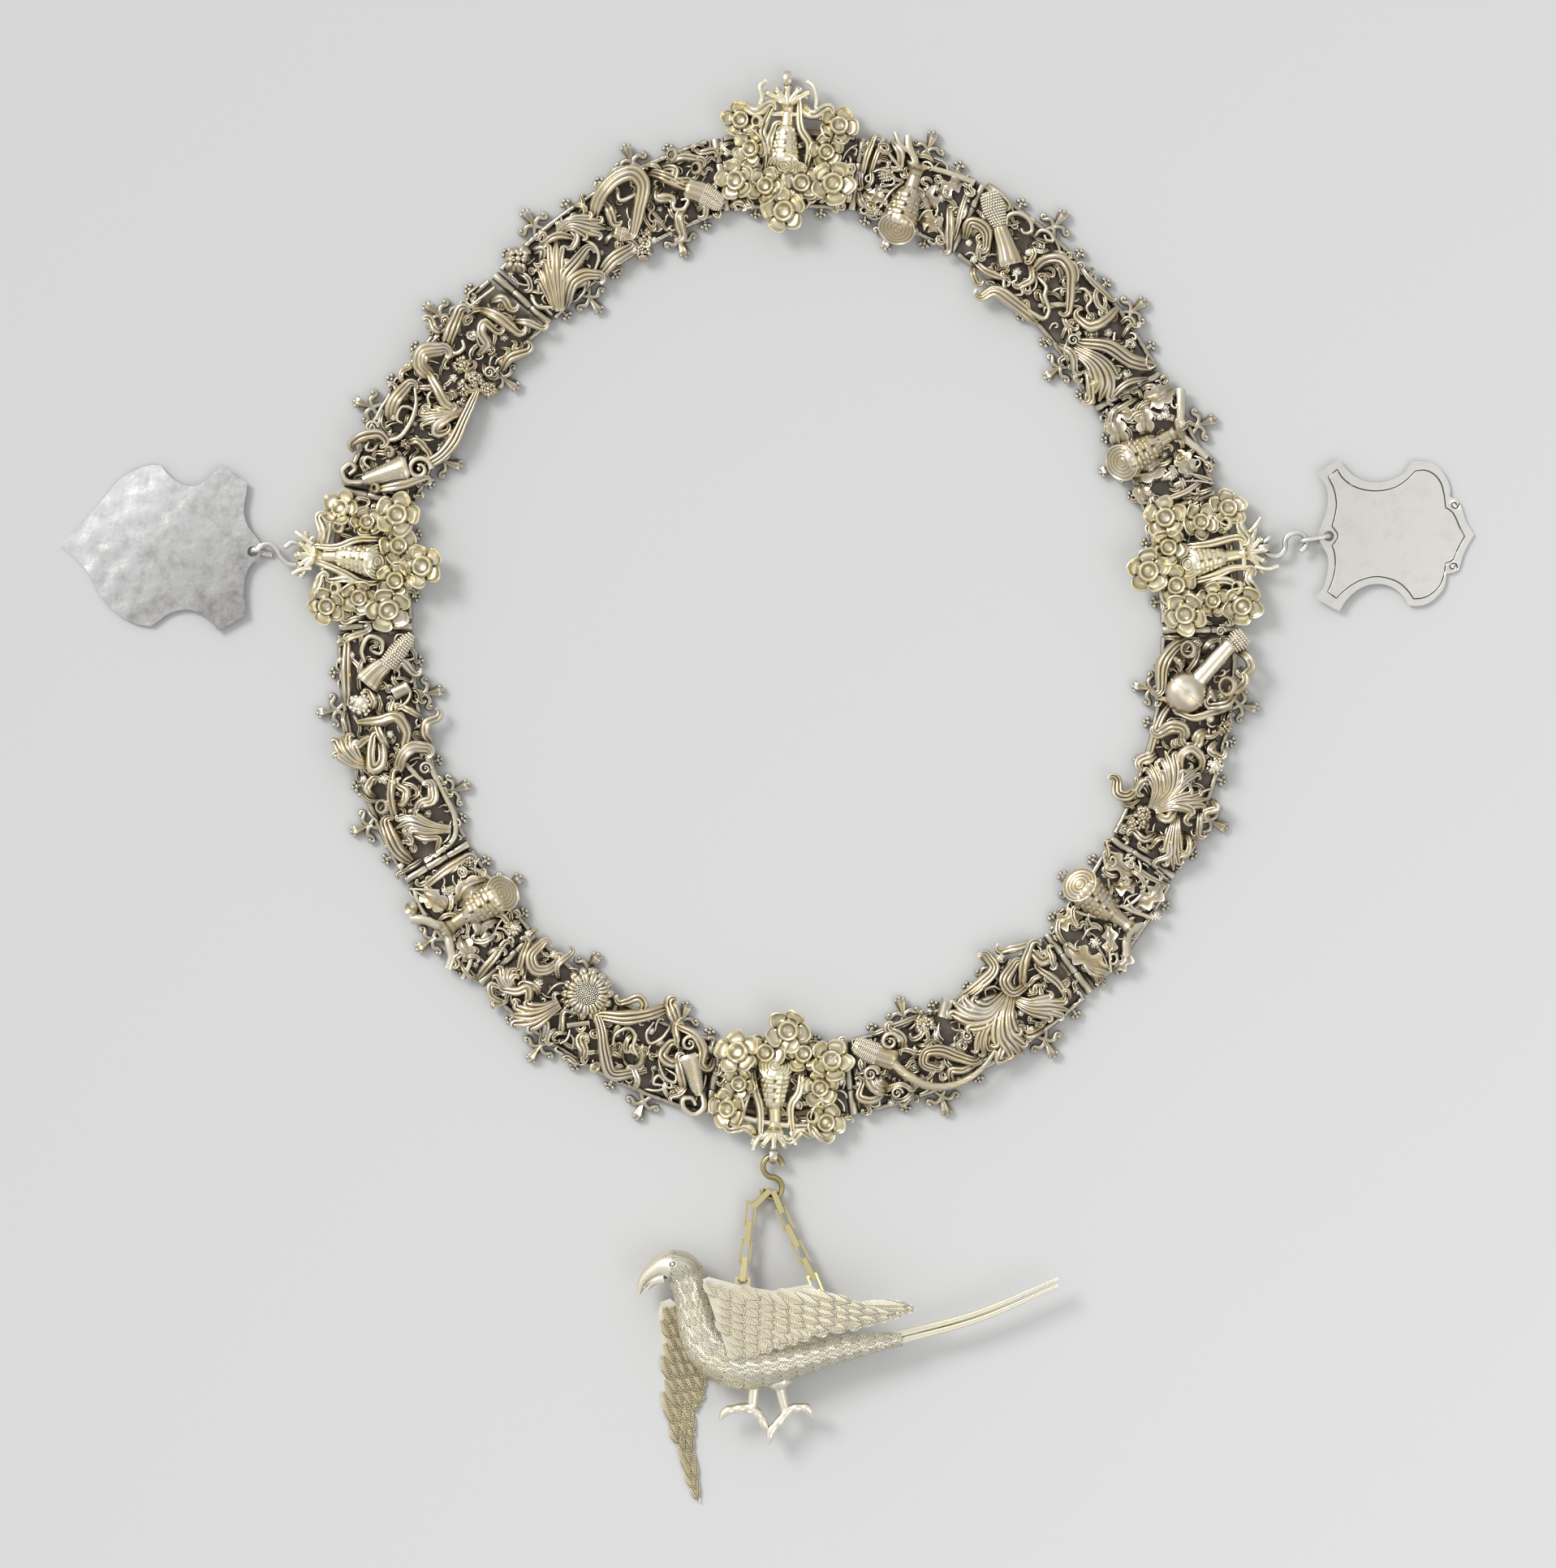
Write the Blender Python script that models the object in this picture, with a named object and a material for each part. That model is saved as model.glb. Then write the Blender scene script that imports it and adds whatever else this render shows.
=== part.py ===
"""Guild collar of hinged cast links, with two shield tags and a bird on two chains.

The collar lies flat, face up, on the plane z = 0, as a closed ring. Units are metres, +Z up.
A place on a link is given as a share s along it, from its first hinge to its second, and a share t
across it, from the inner edge at -1 through the middle at 0 to the outer edge at +1.
"""
import math

import bmesh
import bpy
from mathutils import Vector

# The ring of links
RING_HALF_WIDTH = 0.1632
RING_HALF_LENGTH = 0.1808
RING_CENTRE_X = 0.00637
RING_CENTRE_Y = 0.06766
BAND_HALF_WIDTH = 0.0154
BAND_RADIUS = 0.1728

# Backing plates and their raised edges
PLATE_THICKNESS = 0.0012
PLATE_SPAN = 0.031
CUT_DEPTH = 0.001
RAIL_WIDTH = 0.0022
RAIL_HEIGHT = 0.0034
LARGE_FINIAL = 0.0106
SMALL_FINIAL = 0.0038
FINIAL_THICKNESS = 0.0022

# Hinges
KNUCKLE_RADIUS = 0.0024
PIN_RADIUS = 0.0008
PIN_CLEARANCE = 0.0003
KNUCKLE_GAP = 0.0004
KNUCKLE_REACH = 0.0034
HINGE_REACH = 0.93
MIDDLE_KNUCKLE = 0.30
PIN_SIDES = 5

# Cast foliage and roses
CASTING_GAP = 0.0003
GROUND_STEP = 0.00006
FOLIAGE_HEIGHT = 0.0092
ROSE_RADIUS = 0.0094
ROSE_TOP = 0.0115
ROSE_DEPTH = 0.0052
ROSE_STAGGER = 0.0013
TRUNK_RADIUS = 0.0062
WREATH_STEM_RADIUS = 0.0016
STEM_SIDES = 3

# Bails, hooks and the ring of the right shield
BAIL_RADIUS = 0.0028
BAIL_STRAP = 0.0012
BAIL_WIDTH = 0.0030
HOOK_WIRE_RADIUS = 0.0011
HOOK_HEIGHT = 0.0048
HOOK_HALF_WIDTH = 0.0039
HOOK_SWEEP = 262.0
HOOK_STATIONS = 7
RIGHT_HOOK_REACH = 0.0172
BOTTOM_HOOK_REACH = 0.0166
RING_WIRE_RADIUS = 0.0009
WIRE_GAP = 0.00035
WIRE_SIDES = 5
RING_SEGMENTS = 10
BOXINESS = 0.6

# Chain strands of the bird
CHAIN_WIRE_RADIUS = 0.0009
CHAIN_WIDTH = 0.0050
CHAIN_END_WIDTH = 0.0070
CHAIN_BITE = 0.0005
CHAIN_SEGMENTS = 8
CHAIN_SIDES = 4

# Shield tags
SHIELD_LENGTH = 0.0790
LEFT_SHIELD_THICKNESS = 0.0008
RIGHT_SHIELD_THICKNESS = 0.0010
SHIELD_HOLE_RADIUS = 0.0021
SHIELD_LIFT = 0.0026
LEFT_SHIELD_REACH = 0.0202
RIGHT_SHIELD_REACH = 0.0262

# The bird
BIRD_LENGTH = 0.1660
BIRD_THICKNESS = 0.0190
WING_THICKNESS = 0.0015
WING_GAP = 0.0003
LUG_RADIUS = 0.0022
LUG_WIRE_RADIUS = 0.0008

TAU = 2.0 * math.pi

# Points nearer than this are welded, faces within this many degrees of each other are merged, and
# edges sharper than the last value stay crisp
WELD_DISTANCE = 0.000002
FLATNESS = 4.0
MERGE_ROUNDS = 12
CRISP_EDGE = 32.0

# Each row is a hinge: the link that starts there going clockwise, its place as shares of the ring's
# half width and half length, and the outward angle of its pin in degrees
HINGES = (
    ("a1", 0.180, 0.966, 81.0),
    ("a2", 0.445, 0.871, 64.0),
    ("a3", 0.833, 0.492, 28.0),
    ("right", 0.961, 0.244, 20.0),
    ("b1", 1.006, -0.028, 0.0),
    ("b2", 0.869, -0.526, -31.0),
    ("b3", 0.690, -0.756, -53.0),
    ("bottom", 0.159, -1.007, -82.0),
    ("c1", -0.167, -1.007, -101.0),
    ("c2", -0.667, -0.747, -138.0),
    ("c3", -0.837, -0.535, -150.0),
    ("left", -0.986, -0.021, 180.0),
    ("d1", -0.978, 0.262, 169.0),
    ("d2", -0.631, 0.694, 139.0),
    ("top", -0.151, 0.965, 99.0),
)

# Finials along each link's edges: share along, edge (+1 outer, -1 inner), large or small
FINIALS = {
    "a1": ((0.50, 1, "large"), (0.77, 1, "small"), (0.40, -1, "large"), (0.14, -1, "small"),
           (0.74, -1, "small")),
    "a2": ((0.16, 1, "small"), (0.31, 1, "large"), (0.45, 1, "small"), (0.60, 1, "small"),
           (0.745, 1, "large"), (0.89, 1, "small"), (0.44, -1, "small"), (0.61, -1, "small"),
           (0.75, -1, "large"), (0.91, -1, "small")),
    "a3": ((0.475, 1, "large"), (0.77, 1, "small"), (0.51, -1, "large"), (0.26, -1, "small"),
           (0.79, -1, "small")),
    "b1": ((0.285, 1, "large"), (0.43, 1, "small"), (0.585, 1, "small"), (0.745, 1, "large"),
           (0.89, 1, "small"), (0.275, -1, "large"), (0.435, -1, "small"), (0.62, -1, "small")),
    "b2": ((0.20, 1, "small"), (0.74, 1, "small"), (0.54, -1, "large"), (0.24, -1, "small"),
           (0.86, -1, "small")),
    "b3": ((0.09, 1, "small"), (0.235, 1, "large"), (0.52, 1, "small"), (0.67, 1, "large"),
           (0.81, 1, "small"), (0.28, -1, "large"), (0.41, -1, "small"), (0.585, -1, "small"),
           (0.725, -1, "large"), (0.87, -1, "small")),
    "c1": ((0.24, 1, "large"), (0.38, 1, "small"), (0.53, 1, "small"), (0.68, 1, "large"),
           (0.825, 1, "small"), (0.20, -1, "large"), (0.06, -1, "small"), (0.71, -1, "large")),
    "c2": ((0.19, 1, "small"), (0.50, 1, "large"), (0.78, 1, "small"), (0.48, -1, "large"),
           (0.21, -1, "small"), (0.79, -1, "small")),
    "c3": ((0.10, 1, "small"), (0.24, 1, "large"), (0.395, 1, "small"), (0.69, 1, "large"),
           (0.83, 1, "small"), (0.24, -1, "large"), (0.11, -1, "small"), (0.395, -1, "small"),
           (0.70, -1, "large"), (0.85, -1, "small")),
    "d1": ((0.33, 1, "large"), (0.455, 1, "small"), (0.605, 1, "small"), (0.755, 1, "large"),
           (0.90, 1, "small"), (0.215, -1, "large"), (0.105, -1, "small"), (0.39, -1, "small"),
           (0.68, -1, "large"), (0.84, -1, "small")),
    "d2": ((0.09, 1, "small"), (0.235, 1, "large"), (0.38, 1, "small"), (0.53, 1, "small"),
           (0.675, 1, "large"), (0.82, 1, "small"), (0.22, -1, "large"), (0.08, -1, "small"),
           (0.39, -1, "small"), (0.75, -1, "large"), (0.89, -1, "small")),
    "top": ((0.23, -1, "small"), (0.76, -1, "small")),
    "right": ((0.22, -1, "small"), (0.75, -1, "small")),
    "bottom": ((0.23, -1, "small"), (0.72, -1, "small")),
    "left": ((0.25, -1, "small"), (0.76, -1, "small")),
}

# Right half of a finial's outline, as shares of its reach: across, out
LARGE_FINIAL_HALF = ((0.12, -0.12), (0.12, 0.20), (0.57, 0.27), (0.16, 0.48), (0.24, 0.95))
SMALL_FINIAL_HALF = ((0.26, -0.25), (0.55, 0.95))

# Foliage of each link. A row is the form, its width as a share of the band's half width, its height
# as a share of the foliage height, and its places as shares along and across the link
FOLIAGE = {
    "a1": (
        ("band", 0.16, 0.55, ((0.04, 0.10), (0.16, 0.95))),
        ("band", 0.34, 0.55, ((0.10, -0.30), (0.22, -0.45), (0.36, 0.05))),
        ("band", 0.30, 0.60, ((0.10, 0.56), (0.30, 0.40), (0.47, 0.66))),
        ("band", 0.34, 0.55, ((0.54, 0.15), (0.66, -0.10), (0.78, -0.05))),
        ("band", 0.16, 0.60, ((0.97, -0.90), (0.88, 0.10), (0.92, 0.85))),
        ("band", 0.20, 0.70, ((0.45, 0.72), (0.60, 0.72), (0.90, 0.90))),
        ("band", 0.16, 0.45, ((0.16, -0.78), (0.30, -0.20), (0.70, -0.25), (0.93, 0.15))),
        ("dome", 0.26, 0.55, ((0.22, -0.86),)),
    ),
    "a2": (
        ("cob", 0.52, 0.95, ((0.03, 0.80), (0.14, 0.20))),
        ("cob", 0.44, 0.80, ((0.14, 0.22), (0.25, -0.35))),
        ("band", 0.26, 0.75, ((0.17, 0.06), (0.09, -0.10), (0.08, -0.50), (0.15, -0.60))),
        ("band", 0.18, 0.80, ((0.15, 0.35), (0.16, 0.75), (0.21, 0.85), (0.30, 0.74))),
        ("dome", 0.22, 0.70, ((0.31, 0.80),)),
        ("band", 0.26, 0.95, ((0.35, -0.10), (0.37, 0.35), (0.44, 0.66), (0.50, 0.35), (0.58, -0.10))),
        ("band", 0.28, 0.90, ((0.70, 0.90), (0.71, 0.25), (0.70, -0.40))),
        ("band", 0.18, 0.65, ((0.28, 0.00), (0.35, -0.25), (0.34, -0.60), (0.50, -0.72))),
        ("band", 0.30, 0.70, ((0.52, -0.90), (0.36, -1.06), (0.25, -1.40))),
        ("dome", 0.28, 0.80, ((0.69, -0.50),)),
        ("band", 0.36, 0.80, ((0.97, 0.82), (0.88, 0.40), (0.71, 0.05))),
        ("band", 0.46, 0.85, ((0.72, -0.60), (0.86, -0.35), (0.98, -0.78))),
        ("band", 0.14, 0.45, ((0.10, -0.24), (0.36, -0.14), (0.72, -0.16))),
    ),
    "a3": (
        ("band", 0.30, 0.65, ((0.08, 0.10), (0.13, 0.90), (0.20, 1.10), (0.34, 0.80))),
        ("band", 0.24, 0.68, ((0.29, 0.88), (0.48, 0.63), (0.60, 0.70), (0.72, 0.92))),
        ("band", 0.32, 0.55, ((0.12, 0.05), (0.26, -0.02), (0.44, -0.10))),
        ("band", 0.30, 0.55, ((0.12, -0.77), (0.25, -0.72), (0.46, -0.80))),
        ("band", 0.34, 0.60, ((0.51, -0.26), (0.68, -0.20), (0.76, 0.15))),
        ("band", 0.22, 0.60, ((0.68, -0.92), (0.76, -0.25), (0.84, 0.30), (0.92, 0.90))),
        ("band", 0.26, 0.55, ((0.56, 0.42), (0.72, 0.48), (0.86, 0.55))),
    ),
    "b1": (
        ("bulb", 1.14, 1.25, ((0.265, -0.27),)),
        ("cob", 0.46, 1.05, ((0.06, 0.68), (0.22, -0.06))),
        ("dome", 0.34, 0.95, ((0.045, 0.95),)),
        ("band", 0.22, 1.00, ((0.10, 1.00), (0.16, 1.18), (0.22, 0.95), (0.31, 0.05))),
        ("band", 0.24, 0.85, ((0.17, 0.05), (0.05, -0.05), (0.05, -0.60), (0.15, -0.98), (0.27, -0.86))),
        ("band", 0.18, 0.55, ((0.27, -0.66), (0.42, -0.84), (0.63, -0.72))),
        ("band", 0.20, 0.60, ((0.40, 0.80), (0.37, 0.40), (0.46, -0.84))),
        ("band", 0.28, 0.75, ((0.60, 0.45), (0.53, 0.50), (0.45, -0.50))),
        ("band", 0.32, 0.85, ((0.81, -0.32), (0.68, 0.05), (0.56, 0.15))),
        ("band", 0.32, 0.90, ((0.80, -0.28), (0.72, 0.25), (0.69, 1.08))),
        ("band", 0.32, 0.80, ((0.81, -0.36), (0.68, -0.28), (0.61, -0.74))),
        ("band", 0.30, 0.70, ((0.70, 0.30), (0.87, 0.50), (0.97, 0.82))),
        ("dome", 0.36, 0.80, ((0.85, -0.46),)),
        ("band", 0.28, 0.65, ((0.74, -0.36), (0.80, -1.10), (0.78, -1.42))),
    ),
    "b2": (
        ("band", 0.26, 0.60, ((0.10, 0.60), (0.22, 0.55), (0.36, 0.30), (0.48, -0.16))),
        ("band", 0.18, 0.55, ((0.32, 1.08), (0.38, 0.24))),
        ("band", 0.24, 0.50, ((0.08, 0.15), (0.16, -0.75), (0.47, -0.40))),
        ("band", 0.26, 0.70, ((0.45, 0.70), (0.60, 0.78), (0.76, 0.98))),
        ("band", 0.30, 0.55, ((0.58, 0.35), (0.72, 0.15), (0.84, 0.45))),
        ("band", 0.24, 0.50, ((0.50, -0.25), (0.72, -0.60), (0.92, -0.80))),
        ("band", 0.20, 0.55, ((0.82, 0.95), (0.90, 0.05), (0.90, -0.80))),
        ("dome", 0.20, 0.60, ((0.74, 0.15),)),
    ),
    "b3": (
        ("band", 0.34, 0.75, ((0.10, 0.85), (0.17, 0.35), (0.27, -0.25))),
        ("band", 0.24, 0.70, ((0.27, -0.24), (0.14, -0.50), (0.10, -0.88))),
        ("band", 0.46, 1.00, ((0.28, -0.30), (0.35, 0.15), (0.36, 0.70), (0.34, 1.10))),
        ("band", 0.34, 0.85, ((0.30, -0.25), (0.42, 0.12), (0.47, 0.60))),
        ("band", 0.46, 0.90, ((0.28, -0.35), (0.40, -0.28), (0.48, -0.85))),
        ("band", 0.24, 0.80, ((0.50, 0.66), (0.58, 0.30), (0.65, -0.04), (0.74, 0.62))),
        ("band", 0.16, 1.05, ((0.41, 0.58), (0.50, 0.88), (0.61, 0.92), (0.74, 0.58), (0.83, -0.20))),
        ("cob", 0.50, 1.00, ((0.81, -0.15), (0.95, -0.88))),
        ("dome", 0.28, 0.85, ((0.81, -0.62),)),
        ("dome", 0.30, 0.90, ((0.87, 0.00),)),
        ("band", 0.26, 0.60, ((0.38, -0.20), (0.56, -0.62), (0.66, -0.80), (0.80, -0.75))),
        ("band", 0.22, 0.60, ((0.90, 0.10), (0.96, 0.40), (0.97, 0.85))),
    ),
    "c1": (
        ("band", 0.30, 0.90, ((0.08, 0.70), (0.07, 1.00), (0.03, 0.85), (0.05, 0.30), (0.12, -0.20))),
        ("cob", 0.50, 0.85, ((0.10, 0.05), (0.14, -0.70))),
        ("band", 0.24, 0.70, ((0.02, -0.20), (0.06, -0.70), (0.14, -0.92), (0.34, -0.96))),
        ("band", 0.22, 0.75, ((0.12, 0.20), (0.20, 0.12), (0.24, -0.25), (0.20, -0.90))),
        ("band", 0.30, 0.90, ((0.25, 0.42), (0.36, 0.74), (0.44, 0.45), (0.56, -0.40))),
        ("band", 0.34, 0.85, ((0.28, -1.32), (0.38, -0.85), (0.54, -0.38))),
        ("sun", 1.42, 1.00, ((0.645, -0.65),)),
        ("band", 0.42, 0.85, ((0.84, 0.88), (0.78, 0.50), (0.76, -0.05), (0.70, -0.40))),
        ("band", 0.30, 0.70, ((0.78, 0.30), (0.89, 0.25), (0.96, 0.70))),
        ("band", 0.34, 0.80, ((0.74, -0.80), (0.85, -0.45), (0.90, -0.25), (0.96, -0.85))),
    ),
    "c2": (
        ("band", 0.20, 0.60, ((0.08, 0.85), (0.20, 0.50), (0.24, -0.05), (0.30, -0.80))),
        ("band", 0.28, 0.55, ((0.16, 0.62), (0.30, 0.55), (0.42, 0.60))),
        ("band", 0.26, 0.70, ((0.24, 1.18), (0.36, 0.90), (0.50, 0.78), (0.62, 0.92), (0.78, 1.10))),
        ("band", 0.28, 0.55, ((0.28, 0.02), (0.36, -0.05), (0.44, -0.30))),
        ("band", 0.28, 0.55, ((0.48, 0.62), (0.68, 0.48), (0.90, 0.80))),
        ("band", 0.28, 0.55, ((0.54, -0.10), (0.66, -0.30), (0.64, -0.85))),
        ("band", 0.24, 0.55, ((0.90, 0.80), (0.78, 0.10), (0.74, -0.60), (0.60, -0.92))),
        ("dome", 0.34, 0.60, ((0.18, -0.70),)),
        ("band", 0.20, 0.50, ((0.18, -0.60), (0.40, -0.55), (0.70, -0.55), (0.90, -0.70))),
    ),
    "c3": (
        ("band", 0.18, 0.60, ((0.03, -0.15), (0.06, -0.78), (0.22, -0.93), (0.40, -0.84))),
        ("band", 0.30, 0.80, ((0.08, -0.78), (0.16, -0.20), (0.20, 0.50), (0.08, 0.66))),
        ("band", 0.24, 0.75, ((0.20, 0.68), (0.26, -0.05), (0.24, -0.80))),
        ("dome", 0.30, 0.80, ((0.29, 0.60),)),
        ("band", 0.22, 0.70, ((0.22, 0.35), (0.34, 0.45), (0.40, 0.12), (0.47, -0.40), (0.42, -0.85))),
        ("band", 0.26, 0.90, ((0.57, 0.45), (0.46, 0.50), (0.44, 0.25), (0.54, 0.15), (0.60, -0.10))),
        ("band", 0.30, 1.00, ((0.46, 0.72), (0.50, 1.00), (0.57, 1.12), (0.57, 0.50))),
        ("band", 0.28, 0.90, ((0.62, 0.62), (0.62, 0.05), (0.60, -0.48), (0.47, -0.42))),
        ("dome", 0.34, 0.80, ((0.72, 0.34),)),
        ("band", 0.24, 0.65, ((0.60, -0.40), (0.70, -0.55), (0.84, -0.72), (0.84, -0.30))),
        ("cob", 0.50, 0.95, ((0.76, 0.30), (0.84, -0.28))),
        ("cob", 0.34, 0.90, ((0.83, -0.22), (0.96, -0.98))),
        ("band", 0.24, 0.80, ((0.85, -0.20), (0.88, 0.25), (0.94, 0.35), (0.96, -0.20))),
        ("band", 0.22, 0.55, ((0.43, -0.74), (0.53, -1.02), (0.57, -1.34))),
    ),
    "d1": (
        ("band", 0.24, 0.95, ((0.09, 0.80), (0.07, 1.05), (0.04, 0.80), (0.07, 0.20))),
        ("cob", 0.64, 1.00, ((0.07, 0.30), (0.15, -0.60))),
        ("band", 0.24, 0.80, ((0.12, 0.60), (0.17, 1.10), (0.23, 0.70), (0.28, 0.10), (0.46, 0.42))),
        ("band", 0.22, 0.75, ((0.02, 0.20), (0.05, -0.35), (0.10, -0.90), (0.22, -0.88))),
        ("band", 0.30, 0.80, ((0.30, 0.42), (0.38, 0.68), (0.47, 0.66), (0.48, 0.00), (0.45, -0.80))),
        ("band", 0.28, 0.75, ((0.30, 0.05), (0.36, -0.40), (0.44, -0.86))),
        ("band", 0.26, 0.75, ((0.13, -0.36), (0.24, -1.12), (0.33, -1.22), (0.55, -0.90))),
        ("band", 0.34, 0.90, ((0.52, 0.10), (0.56, 0.70), (0.63, 0.70), (0.67, 0.20), (0.74, 0.12))),
        ("band", 0.26, 0.80, ((0.64, 0.50), (0.74, 0.66), (0.90, 0.85))),
        ("dome", 0.40, 0.65, ((0.62, -0.22),)),
        ("dome", 0.38, 0.75, ((0.60, -0.88),)),
        ("band", 0.24, 0.70, ((0.68, -0.40), (0.78, -0.40), (0.81, 0.04), (0.88, -0.30))),
        ("band", 0.22, 0.80, ((0.85, 0.76), (0.87, -0.35), (0.95, -0.92))),
    ),
    "d2": (
        ("dome", 0.44, 0.80, ((0.10, 0.68),)),
        ("band", 0.32, 0.95, ((0.07, -0.90), (0.16, -0.30), (0.27, 0.48))),
        ("band", 0.26, 0.85, ((0.09, -0.88), (0.22, -0.38), (0.35, -0.25), (0.33, 0.40), (0.27, 0.48))),
        ("band", 0.26, 0.75, ((0.10, -0.88), (0.23, -0.64), (0.32, -0.86), (0.50, -0.68))),
        ("band", 0.18, 0.60, ((0.10, 0.60), (0.16, -0.12), (0.05, -0.36))),
        ("band", 0.30, 0.85, ((0.20, 0.65), (0.33, 0.66), (0.40, 0.30), (0.47, -0.08), (0.53, -0.48))),
        ("band", 0.34, 1.05, ((0.43, 0.25), (0.53, 0.82), (0.64, 1.02), (0.67, 0.50), (0.58, -0.45))),
        ("dome", 0.38, 0.65, ((0.56, -0.84),)),
        ("cob", 0.46, 0.95, ((0.85, 0.02), (0.97, -0.75))),
        ("band", 0.24, 0.80, ((0.65, 0.60), (0.78, 0.34), (0.87, 0.00))),
        ("band", 0.20, 0.75, ((0.86, 0.02), (0.74, 0.14), (0.73, -0.20), (0.82, -0.50), (0.84, -0.10))),
        ("band", 0.22, 0.70, ((0.82, -0.48), (0.77, -0.72), (0.76, -1.06))),
        ("band", 0.26, 0.80, ((0.74, 0.60), (0.84, 0.80), (0.92, 0.62), (0.88, 0.05))),
    ),
}

# Tree stump of each short link and medallion: places of its foot, its waist and its neck's end as
# shares along and across, and its girth as a share of the trunk radius
STUMPS = {
    "a1": ((0.45, -0.98), (0.47, 0.00), (0.47, 0.72), 1.00),
    "a3": ((0.50, -0.96), (0.48, -0.08), (0.46, 0.70), 1.00),
    "b2": ((0.49, -0.98), (0.49, -0.12), (0.48, 0.80), 1.00),
    "c2": ((0.47, -0.92), (0.49, -0.04), (0.50, 0.80), 1.00),
    "top": ((0.46, 0.12), (0.48, 0.95), (0.49, 1.75), 0.88),
    "right": ((0.47, -0.12), (0.47, 0.70), (0.47, 1.48), 0.84),
    "bottom": ((0.55, -0.38), (0.55, 0.45), (0.54, 1.30), 0.92),
    "left": ((0.50, -0.08), (0.51, 0.78), (0.50, 1.58), 0.94),
}

# Roses of each medallion: share along, share across, size as a share of the rose radius
ROSES = {
    "top": ((0.45, -1.10, 1.00), (0.31, -0.42, 0.72), (0.59, -0.37, 0.76), (0.83, -0.33, 0.86),
            (0.76, 0.45, 0.68), (0.83, 1.18, 0.76), (0.09, -0.22, 0.80), (0.22, 0.55, 0.70),
            (0.18, 1.32, 0.72)),
    "right": ((0.47, -1.20, 1.00), (0.30, -0.60, 0.72), (0.63, -0.55, 0.76), (0.88, -0.40, 0.84),
              (0.05, -0.50, 0.80), (0.17, 0.38, 0.70), (0.78, 0.35, 0.66), (0.84, 1.10, 0.80),
              (0.13, 1.15, 0.76)),
    "bottom": ((0.46, -1.36, 1.00), (0.33, -0.78, 0.74), (0.64, -0.80, 0.78), (0.87, -0.78, 0.86),
               (0.11, -0.55, 0.84), (0.22, 0.15, 0.74), (0.82, 0.05, 0.66), (0.88, 0.72, 0.76),
               (0.19, 1.05, 0.76)),
    "left": ((0.50, -1.28, 0.98), (0.36, -0.60, 0.74), (0.65, -0.68, 0.76), (0.89, -0.55, 0.86),
             (0.12, -0.40, 0.86), (0.21, 0.35, 0.70), (0.80, 0.18, 0.64), (0.87, 0.95, 0.74),
             (0.14, 1.20, 0.72)),
}

# Wreath stem of each medallion and its fluted ribbons, in the same rows as the foliage
RIBBONS = {
    "top": (
        ("band", 0.22, 0.60, ((0.33, -0.35), (0.35, 0.50), (0.32, 0.95), (0.40, 1.70))),
        ("band", 0.22, 0.60, ((0.60, -0.30), (0.64, 0.60), (0.58, 1.00), (0.56, 1.72))),
    ),
    "right": (
        ("band", 0.22, 0.60, ((0.31, -0.50), (0.35, 0.40), (0.36, 1.30), (0.45, 1.46))),
        ("band", 0.22, 0.60, ((0.62, -0.45), (0.60, 0.40), (0.56, 0.90), (0.57, 1.40))),
    ),
    "bottom": (
        ("band", 0.22, 0.60, ((0.34, -0.70), (0.37, 0.20), (0.43, 0.55), (0.42, 1.26))),
        ("band", 0.22, 0.60, ((0.74, -0.55), (0.70, 0.10), (0.65, 0.60), (0.63, 1.26))),
    ),
    "left": (
        ("band", 0.22, 0.60, ((0.36, -0.55), (0.33, 0.20), (0.39, 0.70), (0.47, 1.50))),
        ("band", 0.22, 0.60, ((0.68, -0.60), (0.66, 0.30), (0.58, 0.90), (0.57, 1.48))),
    ),
}

# Bail of each medallion: share along and share across of its centre
BAILS = {"top": (0.49, 2.30), "right": (0.46, 1.82), "bottom": (0.54, 1.86), "left": (0.49, 1.77)}

# Run of the left hook from the bail: out towards the shield, sideways, both in metres
LEFT_HOOK = (
    (0.0080, -0.0026), (0.0048, -0.0051), (0.0013, -0.0042), (0.0000, 0.0000), (0.0016, 0.0031),
    (0.0052, 0.0036), (0.0086, 0.0013), (0.0112, -0.0022), (0.0141, -0.0036), (0.0170, -0.0026),
)

# Outline of the left shield from its hole, as shares of the shield length: right, up
LEFT_SHIELD = (
    (-0.963, 0.030), (-0.700, 0.316), (-0.570, 0.401), (-0.449, 0.411), (-0.328, 0.317),
    (-0.239, 0.344), (-0.154, 0.421), (-0.028, 0.330), (-0.048, 0.250), (-0.040, 0.142),
    (0.032, 0.040), (0.032, -0.032), (-0.040, -0.130), (-0.056, -0.240), (-0.032, -0.330),
    (-0.178, -0.408), (-0.356, -0.300), (-0.455, -0.340), (-0.530, -0.384), (-0.636, -0.350),
    (-0.786, -0.200), (-0.834, -0.105), (-0.890, -0.035),
)

# Outline of the right shield from its hole, as shares of the shield length: right, up
RIGHT_SHIELD = (
    (0.053, 0.372), (-0.061, 0.292), (-0.008, 0.146), (-0.061, -0.045), (-0.012, -0.198),
    (-0.077, -0.312), (0.057, -0.393), (0.126, -0.300), (0.243, -0.260), (0.340, -0.300),
    (0.405, -0.364), (0.490, -0.364), (0.579, -0.300), (0.600, -0.190), (0.680, -0.117),
    (0.728, -0.020), (0.680, 0.065), (0.620, 0.174), (0.580, 0.250), (0.546, 0.312),
    (0.482, 0.352), (0.389, 0.312), (0.235, 0.247), (0.142, 0.276),
)

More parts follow.
